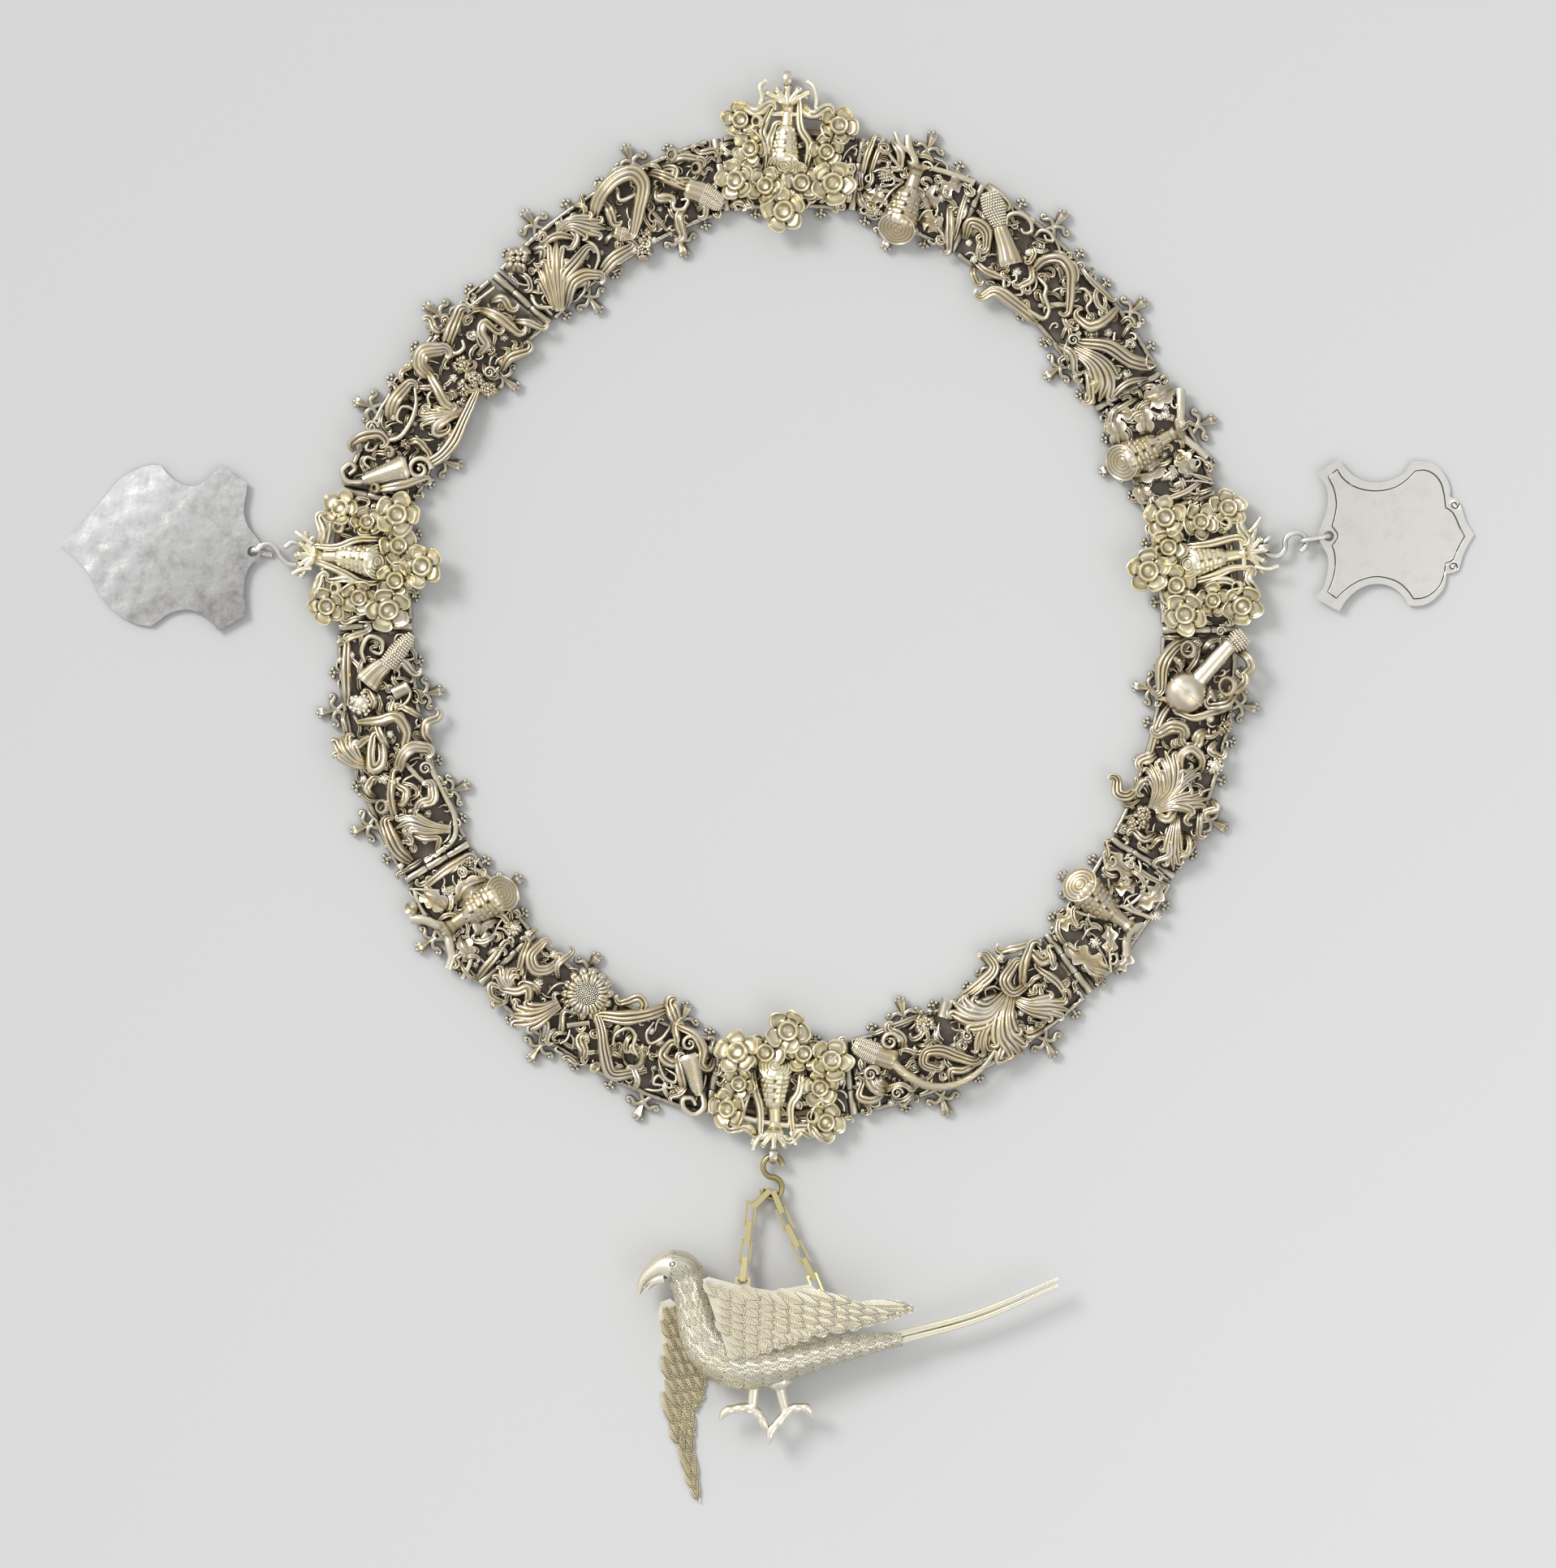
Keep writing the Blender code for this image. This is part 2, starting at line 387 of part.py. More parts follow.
# Bird's head and body from its beak tip: right and up as shares of its length, half depth as a
# share of its length, and half thickness as a share of its thickness
BIRD_HEAD = (
    (0.002, -0.012, 0.006, 0.06), (0.018, 0.010, 0.020, 0.18), (0.050, 0.044, 0.044, 0.34),
    (0.096, 0.050, 0.055, 0.40), (0.138, 0.046, 0.040, 0.32), (0.156, 0.044, 0.018, 0.16),
)
BIRD_BODY = (
    (0.104, 0.030, 0.034, 0.30), (0.130, -0.012, 0.042, 0.38), (0.170, -0.072, 0.064, 0.46),
    (0.232, -0.120, 0.090, 0.50), (0.320, -0.126, 0.086, 0.50), (0.420, -0.118, 0.060, 0.42),
    (0.520, -0.113, 0.040, 0.30), (0.624, -0.110, 0.026, 0.18),
)
BIRD_TAIL = ((0.600, -0.112, 0.013), (0.800, -0.058, 0.010), (0.994, 0.024, 0.007))
BIRD_TAIL_SPREAD = 0.010

# Near wing and far wing outlines from the beak tip, as shares of the bird's length: right, up
NEAR_WING = (
    (0.152, 0.035), (0.166, 0.041), (0.243, 0.020), (0.319, 0.008), (0.405, 0.024), (0.452, -0.014),
    (0.552, -0.028), (0.660, -0.035), (0.585, -0.056), (0.492, -0.082), (0.446, -0.090),
    (0.363, -0.110), (0.326, -0.124), (0.272, -0.146), (0.216, -0.154), (0.176, -0.038),
)
FAR_WING = (
    (0.050, -0.028), (0.074, -0.020), (0.110, -0.050), (0.210, -0.085), (0.240, -0.120),
    (0.220, -0.160), (0.150, -0.214), (0.148, -0.252), (0.128, -0.290), (0.124, -0.362),
    (0.147, -0.510), (0.112, -0.446), (0.089, -0.363), (0.056, -0.252), (0.058, -0.170),
    (0.046, -0.055),
)

# Bird's legs and toes: ends from the beak tip, right and up as shares of its length
BIRD_LEGS = (
    ((0.280, -0.185), (0.268, -0.284)),
    ((0.272, -0.272), (0.195, -0.306)),
    ((0.264, -0.272), (0.303, -0.330)),
    ((0.326, -0.185), (0.350, -0.292)),
    ((0.346, -0.280), (0.410, -0.298)),
    ((0.354, -0.280), (0.313, -0.362)),
)
BIRD_LEG_RADIUS = 0.0014

# Lugs on the bird's back, as shares of its length from the beak tip, and the beak tip's own place
BIRD_LUGS = ((0.242, -0.018), (0.445, -0.046))
BIRD_BEAK = Vector((-0.05053, -0.19824))

# The two strands: bends as a share of the way, offset from the straight line and height; where each
# starts round the hook's outer loop, in degrees; and how many links each has
STRAND_ROUTES = (((0.20, 0.0050, 0.0044), (0.62, 0.0026, 0.0052)),
                 ((0.30, 0.0006, 0.0044), (0.66, -0.0004, 0.0052)))
STRAND_STARTS = (-50.0, 32.0)
STRAND_LINKS = (6, 7)

# Each finish: colour, metallic and roughness
GILT = ((0.62, 0.53, 0.27, 1.0), 1.0, 0.32)
SILVER = ((0.45, 0.44, 0.42, 1.0), 1.0, 0.40)
PALE_SILVER = ((0.60, 0.60, 0.57, 1.0), 1.0, 0.35)
STEEL = ((0.30, 0.29, 0.28, 1.0), 1.0, 0.45)


class Link:
    """One link's place between its two hinges."""

    def __init__(self, index):
        self.name, self.start, self.start_angle = hinge_place(index)
        _, self.end, self.end_angle = hinge_place(index + 1)
        run = self.end - self.start
        self.length = run.length
        self.bulge = self.length ** 2 / (8.0 * BAND_RADIUS)
        self.outward = Vector((-run.y, run.x)) / self.length

    def angle(self, s):
        """Outward angle at share s, turned evenly from hinge to hinge."""
        turn = (self.end_angle - self.start_angle + math.pi) % TAU - math.pi
        return self.start_angle + turn * s

    def across(self, s):
        """Unit vector to the outer edge at share s."""
        return Vector((math.cos(self.angle(s)), math.sin(self.angle(s))))

    def at(self, s, t, z=0.0):
        """Point at share s along, share t across and height z."""
        place = self.start.lerp(self.end, s) + self.outward * (4.0 * self.bulge * s * (1.0 - s))
        place = place + self.across(s) * (t * BAND_HALF_WIDTH)
        return Vector((place.x, place.y, z))

    def share(self, distance):
        """A distance along the link as a share of its length."""
        return distance / self.length


def hinge_place(index):
    """Name of the link that starts at a hinge, the hinge's centre and its pin's outward angle."""
    name, across, along, degrees = HINGES[index % len(HINGES)]
    centre = Vector((RING_CENTRE_X + across * RING_HALF_WIDTH, RING_CENTRE_Y + along * RING_HALF_LENGTH))
    return name, centre, math.radians(degrees)


def clear_scene():
    """Remove every object that a new file holds."""
    for item in list(bpy.data.objects):
        bpy.data.objects.remove(item, do_unlink=True)


def make_material(name, finish):
    """A plain metal with the piece's colour, metallic value and roughness."""
    colour, metallic, roughness = finish
    material = bpy.data.materials.new(name)
    material.use_nodes = True
    shader = material.node_tree.nodes["Principled BSDF"]
    shader.inputs["Base Color"].default_value = colour
    shader.inputs["Metallic"].default_value = metallic
    shader.inputs["Roughness"].default_value = roughness
    return material


def sweep(rings, closed=False):
    """Points and faces of a skin over rings of equal count, capped unless it closes on itself."""
    count = len(rings[0])
    points = [point for ring in rings for point in ring]
    faces = []
    spans = len(rings) if closed else len(rings) - 1
    for row in range(spans):
        after = (row + 1) % len(rings)
        for column in range(count):
            beside = (column + 1) % count
            faces.append((row * count + column, row * count + beside,
                          after * count + beside, after * count + column))
    if not closed:
        faces.append(tuple(reversed(range(count))))
        faces.append(tuple((len(rings) - 1) * count + column for column in range(count)))
    return points, faces


def prism(outline, low, high):
    """A flat outline of x and y raised between two heights."""
    return sweep([[Vector((p[0], p[1], z)) for p in outline] for z in (low, high)])


def tube(centres, radii, sides, closed=False):
    """A round tube through 3-D centres, with a radius at each."""
    rings = []
    last = len(centres) - 1
    for index, centre in enumerate(centres):
        before = centres[index - 1] if closed or index else centres[0]
        after = centres[(index + 1) % len(centres)] if closed or index < last else centres[last]
        forward = (after - before).normalized()
        if index == 0:
            top = forward.orthogonal().normalized() if abs(forward.z) > 0.9 else Vector((0.0, 0.0, 1.0))
        top = (top - forward * top.dot(forward)).normalized()
        side = forward.cross(top)
        radius = radii[index]
        rings.append([centre + side * (radius * math.cos(TAU * n / sides))
                      + top * (radius * math.sin(TAU * n / sides)) for n in range(sides)])
    return sweep(rings, closed)


def ring_wire(centre, first, second, half_lengths, wire, segments, sides, boxiness=1.0):
    """A closed wire ring in the plane of two unit directions, round or boxy."""
    turns = [TAU * (n + 0.5) / sides for n in range(sides)]
    normal = first.cross(second).normalized()
    flat_end = math.cos(math.pi / segments) ** boxiness
    rings = []
    for index in range(segments):
        angle = TAU * (index + 0.5) / segments
        along, up = math.cos(angle), math.sin(angle)
        u = math.copysign(abs(along) ** boxiness, along) * half_lengths[0] / flat_end
        v = math.copysign(abs(up) ** boxiness, up) * half_lengths[1]
        away = first * along + second * up
        rings.append([centre + first * u + second * v + away * (wire * math.cos(turn))
                      + normal * (wire * math.sin(turn)) for turn in turns])
    return sweep(rings, closed=True)


def raw_object(name, shape):
    """A mesh object of one closed shape, facing outwards."""
    points, faces = shape
    mesh = bpy.data.meshes.new(name)
    mesh.from_pydata(points, [], faces)
    work = bmesh.new()
    work.from_mesh(mesh)
    bmesh.ops.recalc_face_normals(work, faces=work.faces)
    work.to_mesh(mesh)
    work.free()
    item = bpy.data.objects.new(name, mesh)
    bpy.context.scene.collection.objects.link(item)
    return item


def combine(item, shapes, operation):
    """Join closed shapes to an object, or cut them from it, with one exact Boolean."""
    group = bpy.data.collections.new("operands")
    bpy.context.scene.collection.children.link(group)
    operands = [raw_object("operand", shape) for shape in shapes]
    for operand in operands:
        group.objects.link(operand)
    step = item.modifiers.new("boolean", "BOOLEAN")
    step.operation = operation
    step.solver = "EXACT"
    step.operand_type = "COLLECTION"
    step.collection = group
    view = bpy.context.evaluated_depsgraph_get()
    result = bpy.data.meshes.new_from_object(item.evaluated_get(view))
    item.modifiers.remove(step)
    item.data = result
    for operand in operands:
        bpy.data.objects.remove(operand, do_unlink=True)
    bpy.data.collections.remove(group)


def doubled_edges(work):
    """Vertex pairs whose edge would carry more than two faces once every face is a triangle."""
    trial = work.copy()
    bmesh.ops.triangulate(trial, faces=trial.faces)
    pairs = [(e.verts[0].index, e.verts[1].index) for e in trial.edges if len(e.link_faces) != 2]
    trial.free()
    return pairs


def merge_flat_faces(mesh):
    """Merge faces that lie almost flat, then split all faces into triangles and stay closed."""
    work = bmesh.new()
    work.from_mesh(mesh)
    bmesh.ops.dissolve_limit(work, angle_limit=math.radians(FLATNESS), verts=work.verts, edges=work.edges)
    bmesh.ops.remove_doubles(work, verts=work.verts, dist=WELD_DISTANCE)
    for _ in range(MERGE_ROUNDS):
        work.verts.index_update()
        points = list(work.verts)
        pairs = doubled_edges(work)
        for first, second in pairs:
            ends = (points[first], points[second])
            edge = work.edges.get(ends)
            shared = [f for f in ends[0].link_faces if ends[1] in f.verts and len(f.verts) > 3]
            if edge is None and shared:
                _, loop = bmesh.utils.face_split(shared[0], ends[0], ends[1])
                edge = loop.edge
            if edge is not None and len(edge.link_faces) == 2:
                bmesh.utils.edge_split(edge, ends[0], 0.5)
        if not pairs:
            break
    bmesh.ops.triangulate(work, faces=work.faces)
    work.to_mesh(mesh)
    work.free()


def make_node(name, shapes, finish, cuts=()):
    """One named solid: its shapes joined, its cuts taken out, its flat faces merged."""
    item = raw_object(name, shapes[0])
    if len(shapes) > 1:
        combine(item, shapes[1:], "UNION")
    if cuts:
        combine(item, cuts, "DIFFERENCE")
    merge_flat_faces(item.data)
    item.data.shade_smooth()
    item.data.set_sharp_from_angle(angle=math.radians(CRISP_EDGE))
    item.data.materials.clear()
    item.data.materials.append(make_material(name, finish))
    return item


def plate_stations(link):
    """Shares along a link where its plate bends, from end to end."""
    inset = link.share(KNUCKLE_RADIUS + KNUCKLE_GAP)
    spans = max(2, round(link.length / PLATE_SPAN))
    return [inset + (1.0 - 2.0 * inset) * index / spans for index in range(spans + 1)]


def plate_shape(link):
    """Backing plate with a raised edge along each side, between the two hinges."""
    rail = 1.0 - RAIL_WIDTH / BAND_HALF_WIDTH
    section = ((-1.0, 0.0), (1.0, 0.0), (1.0, RAIL_HEIGHT), (rail, RAIL_HEIGHT), (rail, PLATE_THICKNESS),
               (-rail, PLATE_THICKNESS), (-rail, RAIL_HEIGHT), (-1.0, RAIL_HEIGHT))
    return sweep([[link.at(s, t, z) for t, z in section] for s in plate_stations(link)])


def knuckle_shape(link, s, low, high):
    """One hinge knuckle with the tab that joins it to its plate."""
    flat = KNUCKLE_RADIUS * math.cos(math.pi / 6.0)
    half = KNUCKLE_RADIUS * 0.5
    tab = PLATE_THICKNESS * 1.5
    outline = ((KNUCKLE_REACH, 0.0), (-half, 0.0), (-KNUCKLE_RADIUS, flat), (-half, 2.0 * flat),
               (half, 2.0 * flat), (KNUCKLE_REACH, tab))
    out = link.across(s)
    inward = Vector((out.y, -out.x)) if s < 0.5 else Vector((-out.y, out.x))
    centre = link.at(s, 0.0)
    rings = []
    for t in (low, high):
        middle = centre + (out * (t * BAND_HALF_WIDTH)).to_3d()
        rings.append([middle + (inward * u).to_3d() + Vector((0.0, 0.0, z)) for u, z in outline])
    return sweep(rings)


def pin_shape(link, s, radius, reach):
    """A rod on a hinge's axis."""
    out = link.across(s)
    side = Vector((out.y, -out.x, 0.0))
    centre = link.at(s, 0.0, KNUCKLE_RADIUS * math.cos(math.pi / 6.0))
    rings = []
    for t in (-reach, reach):
        middle = centre + (out * (t * BAND_HALF_WIDTH)).to_3d()
        rings.append([middle + side * (radius * math.cos(TAU * n / PIN_SIDES))
                      + Vector((0.0, 0.0, radius * math.sin(TAU * n / PIN_SIDES))) for n in range(PIN_SIDES)])
    return sweep(rings)


def finial_shape(link, s, edge, size):
    """A finial standing out from a rail, cut from an outline."""
    half, reach = (LARGE_FINIAL_HALF, LARGE_FINIAL) if size == "large" else (SMALL_FINIAL_HALF, SMALL_FINIAL)
    outline = list(half) + [(-x, y) for x, y in reversed(half)]
    out = link.across(s) * edge
    side = Vector((out.y, -out.x))
    root = link.at(s, edge)
    points = [root.to_2d() + side * (x * reach) + out * (y * reach) for x, y in outline]
    middle = RAIL_HEIGHT * 0.52
    return prism(points, middle - 0.5 * FINIAL_THICKNESS, middle + 0.5 * FINIAL_THICKNESS)


def build_plate(link):
    """Plate with its share of both hinges' knuckles and its finials, bored for the pins."""
    gap = 0.5 * KNUCKLE_GAP / BAND_HALF_WIDTH
    shapes = [
        plate_shape(link),
        knuckle_shape(link, 0.0, -MIDDLE_KNUCKLE + gap, MIDDLE_KNUCKLE - gap),
        knuckle_shape(link, 1.0, -HINGE_REACH, -MIDDLE_KNUCKLE - gap),
        knuckle_shape(link, 1.0, MIDDLE_KNUCKLE + gap, HINGE_REACH),
    ]
    for s, edge, size in FINIALS[link.name]:
        shapes.append(finial_shape(link, s, edge, size))
    bore = PIN_RADIUS + PIN_CLEARANCE
    cuts = [pin_shape(link, s, bore, HINGE_REACH + 0.2) for s in (0.0, 1.0)]
    return make_node(f"{link_title(link)}_plate", shapes, SILVER, cuts)


def link_title(link):
    """Plain name of a link: a medallion by its place, another link by its letter and number."""
    return f"medallion_{link.name}" if link.name in ROSES else f"link_{link.name}"


def ground_level(order):
    """Underside of a casting, stepped a little so that no two undersides lie in one plane."""
    return PLATE_THICKNESS + CASTING_GAP + GROUND_STEP * (order % 7)


def band_shape(link, width, height, places, order):
    """A leaf band that stands on the plate and follows its places, narrow at its ends."""
    ground = ground_level(order)
    middles = [link.at(s, t) for s, t in places]
    last = len(middles) - 1
    rings = []
    for index, middle in enumerate(middles):
        before = middles[max(index - 1, 0)]
        after = middles[min(index + 1, last)]
        forward = (after - before).normalized()
        side = Vector((-forward.y, forward.x, 0.0))
        taper = 0.55 if index in (0, last) else 1.0
        half = 0.5 * width * BAND_HALF_WIDTH * (0.7 + 0.3 * taper)
        top = ground + height * FOLIAGE_HEIGHT * taper
        foot = Vector((middle.x, middle.y, ground))
        crest = Vector((middle.x, middle.y, top))
        rings.append([foot - side * half, foot + side * half, crest])
    return sweep(rings)


def cob_shape(link, width, height, places, order):
    """A thick rounded body, such as a seed head or a trumpet flower, standing on the plate."""
    ground = ground_level(order)
    middles = [link.at(s, t) for s, t in places]
    forward = (middles[-1] - middles[0]).normalized()
    side = Vector((-forward.y, forward.x, 0.0))
    half = 0.5 * width * BAND_HALF_WIDTH
    section = ((-0.95, 0.0), (0.95, 0.0), (0.85, 0.65), (0.0, 1.0), (-0.85, 0.65))
    rings = []
    for share, size in ((0.0, 0.72), (0.4, 1.0), (1.0, 0.6)):
        middle = middles[0].lerp(middles[-1], share) + Vector((0.0, 0.0, ground))
        rise = Vector((0.0, 0.0, height * FOLIAGE_HEIGHT * size))
        rings.append([middle + side * (x * half * size) + rise * z for x, z in section])
    return sweep(rings)


def stack_shape(link, s, t, layers, order, sides=8, star=1.0, turn=0.0):
    """Stacked rings about an upright axis: each layer is a radius and a height above the plate."""
    centre = link.at(s, t, ground_level(order))
    rings = []
    for radius, rise in layers:
        ring = []
        for n in range(sides):
            reach = radius * (star if n % 2 else 1.0)
            angle = TAU * n / sides + turn
            ring.append(centre + Vector((math.cos(angle) * reach, math.sin(angle) * reach, rise)))
        rings.append(ring)
    return sweep(rings)


def flower_shape(link, form, width, height, places, order):
    """A flower head, a petalled sunflower or a round bulb."""
    s, t = places[0]
    radius = width * BAND_HALF_WIDTH * (1.0 if form == "dome" else 0.5)
    rise = height * FOLIAGE_HEIGHT
    if form == "dome":
        layers = ((radius, 0.0), (radius * 0.6, rise))
        return stack_shape(link, s, t, layers, order, sides=6)
    if form == "sun":
        layers = ((radius * 0.9, 0.0), (radius, rise * 0.7), (radius * 0.4, rise))
        return stack_shape(link, s, t, layers, order, sides=16, star=0.84)
    layers = ((radius * 0.55, 0.0), (radius * 0.95, rise * 0.35), (radius, rise * 0.55),
              (radius * 0.78, rise * 0.82), (radius * 0.4, rise))
    return stack_shape(link, s, t, layers, order, sides=10)


def casting_shapes(link, rows):
    """Shapes of a table of foliage rows."""
    shapes = []
    for order, (form, width, height, places) in enumerate(rows):
        if form == "band":
            shapes.append(band_shape(link, width, height, places, order))
        elif form == "cob":
            shapes.append(cob_shape(link, width, height, places, order))
        else:
            shapes.append(flower_shape(link, form, width, height, places, order))
    return shapes


def stump_shape(link):
    """A lying tree stump: flared foot, bark trunk, smooth neck and a flared head."""
    foot, waist, neck, girth = STUMPS[link.name]
    radius = TRUNK_RADIUS * girth
    base = PLATE_THICKNESS + 2.0 * CASTING_GAP
    places = ((foot, 1.0), (waist, 0.56), ((neck[0], 0.4 * waist[1] + 0.6 * neck[1]), 0.32), (neck, 0.46))
    centres = [link.at(s, t, base + radius * (0.35 + 0.65 * size)) for (s, t), size in places]
    return tube(centres, [radius * size for _, size in places], 6)


def rose_shape(link, s, t, size, order):
    """A five-petalled rose with a raised rim and a cupped heart, clear above the plate."""
    radius = ROSE_RADIUS * size
    top = ROSE_TOP - ROSE_STAGGER * (order % 3)
    centre = link.at(s, t)
    turn = link.angle(s) + math.pi * order / 5.0
    points = []
    for count, reaches, z in ((5, (0.45,), top - ROSE_DEPTH), (10, (1.0, 0.74), top - 0.3 * ROSE_DEPTH),
                              (5, (0.58,), top)):
        for n in range(count):
            reach = radius * reaches[n % len(reaches)]
            angle = turn + TAU * n / count
            points.append(centre + Vector((math.cos(angle) * reach, math.sin(angle) * reach, z)))
    points.append(centre + Vector((0.0, 0.0, top - 0.45 * ROSE_DEPTH)))
    faces = [tuple(reversed(range(5)))]
    for n in range(5):
        beside = (n + 1) % 5
        tip, valley, next_tip = 5 + 2 * n, 6 + 2 * n, 5 + 2 * beside
        faces.append((n, tip, valley))
        faces.append((n, valley, beside))
        faces.append((beside, valley, next_tip))
        faces.append((15 + n, valley, tip))
        faces.append((15 + n, 15 + beside, valley))
        faces.append((15 + beside, next_tip, valley))
        faces.append((15 + n, 20, 15 + beside))
    return points, faces


def bail_place(link):
    """Centre of a medallion's bail and the unit vector that points outwards there."""
    s, t = BAILS[link.name]
    return link.at(s, t, HOOK_HEIGHT), link.across(s).to_3d()


def bail_shapes(link):
    """An upright strap ring and the post that joins it to the stump's head."""
    centre, out = bail_place(link)
    up = Vector((0.0, 0.0, 1.0))
    side = out.cross(up)
    rings = []
    for index in range(8):
        angle = TAU * (index + 0.5) / 8.0
        away = out * math.cos(angle) + up * math.sin(angle)
        inner, outer = BAIL_RADIUS - 0.5 * BAIL_STRAP, BAIL_RADIUS + 0.5 * BAIL_STRAP
        rings.append([centre + away * inner - side * (0.5 * BAIL_WIDTH), centre + away * inner
                      + side * (0.5 * BAIL_WIDTH), centre + away * outer + side * (0.5 * BAIL_WIDTH),
                      centre + away * outer - side * (0.5 * BAIL_WIDTH)])
    neck_s, neck_t = STUMPS[link.name][2]
    root = link.at(neck_s, neck_t - 0.12, HOOK_HEIGHT + 0.0004)
    return [sweep(rings, closed=True), tube([root, centre - out * BAIL_RADIUS], [0.0020, 0.0014], 5)]


def block_shape(link, starts, edges, top):
    """A block that follows the link between two shares along and two shares across."""
    inner = [s for s in plate_stations(link) if starts[0] < s < starts[1]]
    section = ((edges[0], -CUT_DEPTH), (edges[1], -CUT_DEPTH), (edges[1], top), (edges[0], top))
    return sweep([[link.at(s, t, z) for t, z in section] for s in (starts[0], *inner, starts[1])])


def plate_clearance(link):
    """Room that a casting leaves for rails, finials and knuckles, its own and its neighbours'."""
    rail = 1.0 - (RAIL_WIDTH + CASTING_GAP) / BAND_HALF_WIDTH
    finials = 1.0 + (LARGE_FINIAL * 1.02 + CASTING_GAP) / BAND_HALF_WIDTH
    outer = 1.0 + CASTING_GAP / BAND_HALF_WIDTH if link.name in ROSES else finials
    over_rail = RAIL_HEIGHT + CASTING_GAP
    over_knuckle = 2.0 * KNUCKLE_RADIUS * math.cos(math.pi / 6.0) + CASTING_GAP
    past = link.share(2.0 * KNUCKLE_REACH)
    beside = link.share(KNUCKLE_REACH + 3.0 * CASTING_GAP)
    return [
        block_shape(link, (-past, 1.0 + past), (rail, outer), over_rail),
        block_shape(link, (-past, 1.0 + past), (-finials, -rail), over_rail),
        block_shape(link, (-past, beside), (-1.1 * finials, 1.1 * outer), over_knuckle),
        block_shape(link, (1.0 - beside, 1.0 + past), (-1.1 * finials, 1.1 * outer), over_knuckle),
    ]


def build_foliage(link):
    """A link's cast foliage, with its tree stump where it has one."""
    shapes = casting_shapes(link, FOLIAGE[link.name])
    if link.name in STUMPS:
        shapes.insert(0, stump_shape(link))
    return make_node(f"{link_title(link)}_foliage", shapes, GILT, plate_clearance(link))


def build_wreath(link):
    """A medallion's wreath of roses about its stump, with ribbons and bail."""
    shapes = [stump_shape(link)] + casting_shapes(link, RIBBONS[link.name])
    ring = sorted(ROSES[link.name], key=wreath_turn)
    centres = [link.at(s, t, ROSE_TOP - ROSE_DEPTH) for s, t, _ in ring]
    neck_s, neck_t = STUMPS[link.name][2]
    centres.append(link.at(neck_s, neck_t, ROSE_TOP - ROSE_DEPTH))
    shapes.append(tube(centres, [WREATH_STEM_RADIUS] * len(centres), STEM_SIDES, closed=True))
    for order, (s, t, size) in enumerate(ROSES[link.name]):
        shapes.append(rose_shape(link, s, t, size, order))
    shapes.extend(bail_shapes(link))
    return make_node(f"{link_title(link)}_wreath", shapes, GILT, plate_clearance(link))


def wreath_turn(rose):
    """Order of a rose round the wreath, starting at its open outer side."""
    s, t, _ = rose
    return (math.atan2(t - 0.1, (s - 0.5) * 3.3) - math.pi * 0.5) % TAU


def s_hook(start, out, reach):
    """Centres of a lying S-hook from the wire in the bail to the wire at its other end."""
    side = Vector((-out.y, out.x, 0.0))
    quarter = 0.25 * reach
    near = start + out * quarter
    far = start + out * (3.0 * quarter)
    centres = []
    for index in range(HOOK_STATIONS):
        angle = math.radians(HOOK_SWEEP * (index / HOOK_STATIONS - 1.0))
        centres.append(near + out * (math.cos(angle) * quarter) + side * (math.sin(angle) * HOOK_HALF_WIDTH))
    for index in range(HOOK_STATIONS + 1):
        angle = math.radians(180.0 - HOOK_SWEEP * index / HOOK_STATIONS)
        centres.append(far + out * (math.cos(angle) * quarter) + side * (math.sin(angle) * HOOK_HALF_WIDTH))
    return centres


def build_right_drop(link):
    """Right shield on a flat S-hook and an upright oval ring."""
    bail, out = bail_place(link)
    centres = s_hook(bail, out, RIGHT_HOOK_REACH)
    make_node("hook_right", [tube(centres, [HOOK_WIRE_RADIUS] * len(centres), WIRE_SIDES)], PALE_SILVER)
    hole = bail + out * RIGHT_SHIELD_REACH
    inner = bail + out * (RIGHT_HOOK_REACH - HOOK_WIRE_RADIUS - RING_WIRE_RADIUS - WIRE_GAP)
    low = RING_WIRE_RADIUS + WIRE_GAP
    high = HOOK_HEIGHT + HOOK_WIRE_RADIUS + 2.0 * WIRE_GAP + RING_WIRE_RADIUS
    centre = (hole + inner) * 0.5
    centre.z = 0.5 * (low + high)
    half = (0.5 * (hole - inner).length, 0.5 * (high - low))
    up = Vector((0.0, 0.0, 1.0))
    ring = ring_wire(centre, out, up, half, RING_WIRE_RADIUS, RING_SEGMENTS, WIRE_SIDES, BOXINESS)
    make_node("ring_right", [ring], PALE_SILVER)
    build_shield("shield_right", RIGHT_SHIELD, hole, RIGHT_SHIELD_THICKNESS, 1.0)


def build_left_drop(link):
    """Left shield on a hook that dives through its hole."""
    bail, out = bail_place(link)
    side = Vector((-out.y, out.x, 0.0))
    hole = bail + out * LEFT_SHIELD_REACH
    centres = [bail + out * forward + side * aside for forward, aside in LEFT_HOOK]
    bend = HOOK_HEIGHT - 0.5 * (2.0 * SHIELD_LIFT + LEFT_SHIELD_THICKNESS)
    for index in range(7):
        angle = math.radians(90.0 - 30.0 * index)
        place = hole - out * (bend * (1.0 - math.cos(angle)))
        place.z = HOOK_HEIGHT - bend + bend * math.sin(angle)
        centres.append(place - side * (0.0008 * max(0.0, math.sin(angle))))
    tail = centres[-1]
    centres.append(tail - out * 0.0030 + side * 0.0004)
    centres.append(tail - out * 0.0062 + side * 0.0006)
    make_node("hook_left", [tube(centres, [HOOK_WIRE_RADIUS] * len(centres), WIRE_SIDES)], PALE_SILVER)
    build_shield("shield_left", LEFT_SHIELD, hole, LEFT_SHIELD_THICKNESS, -1.0)


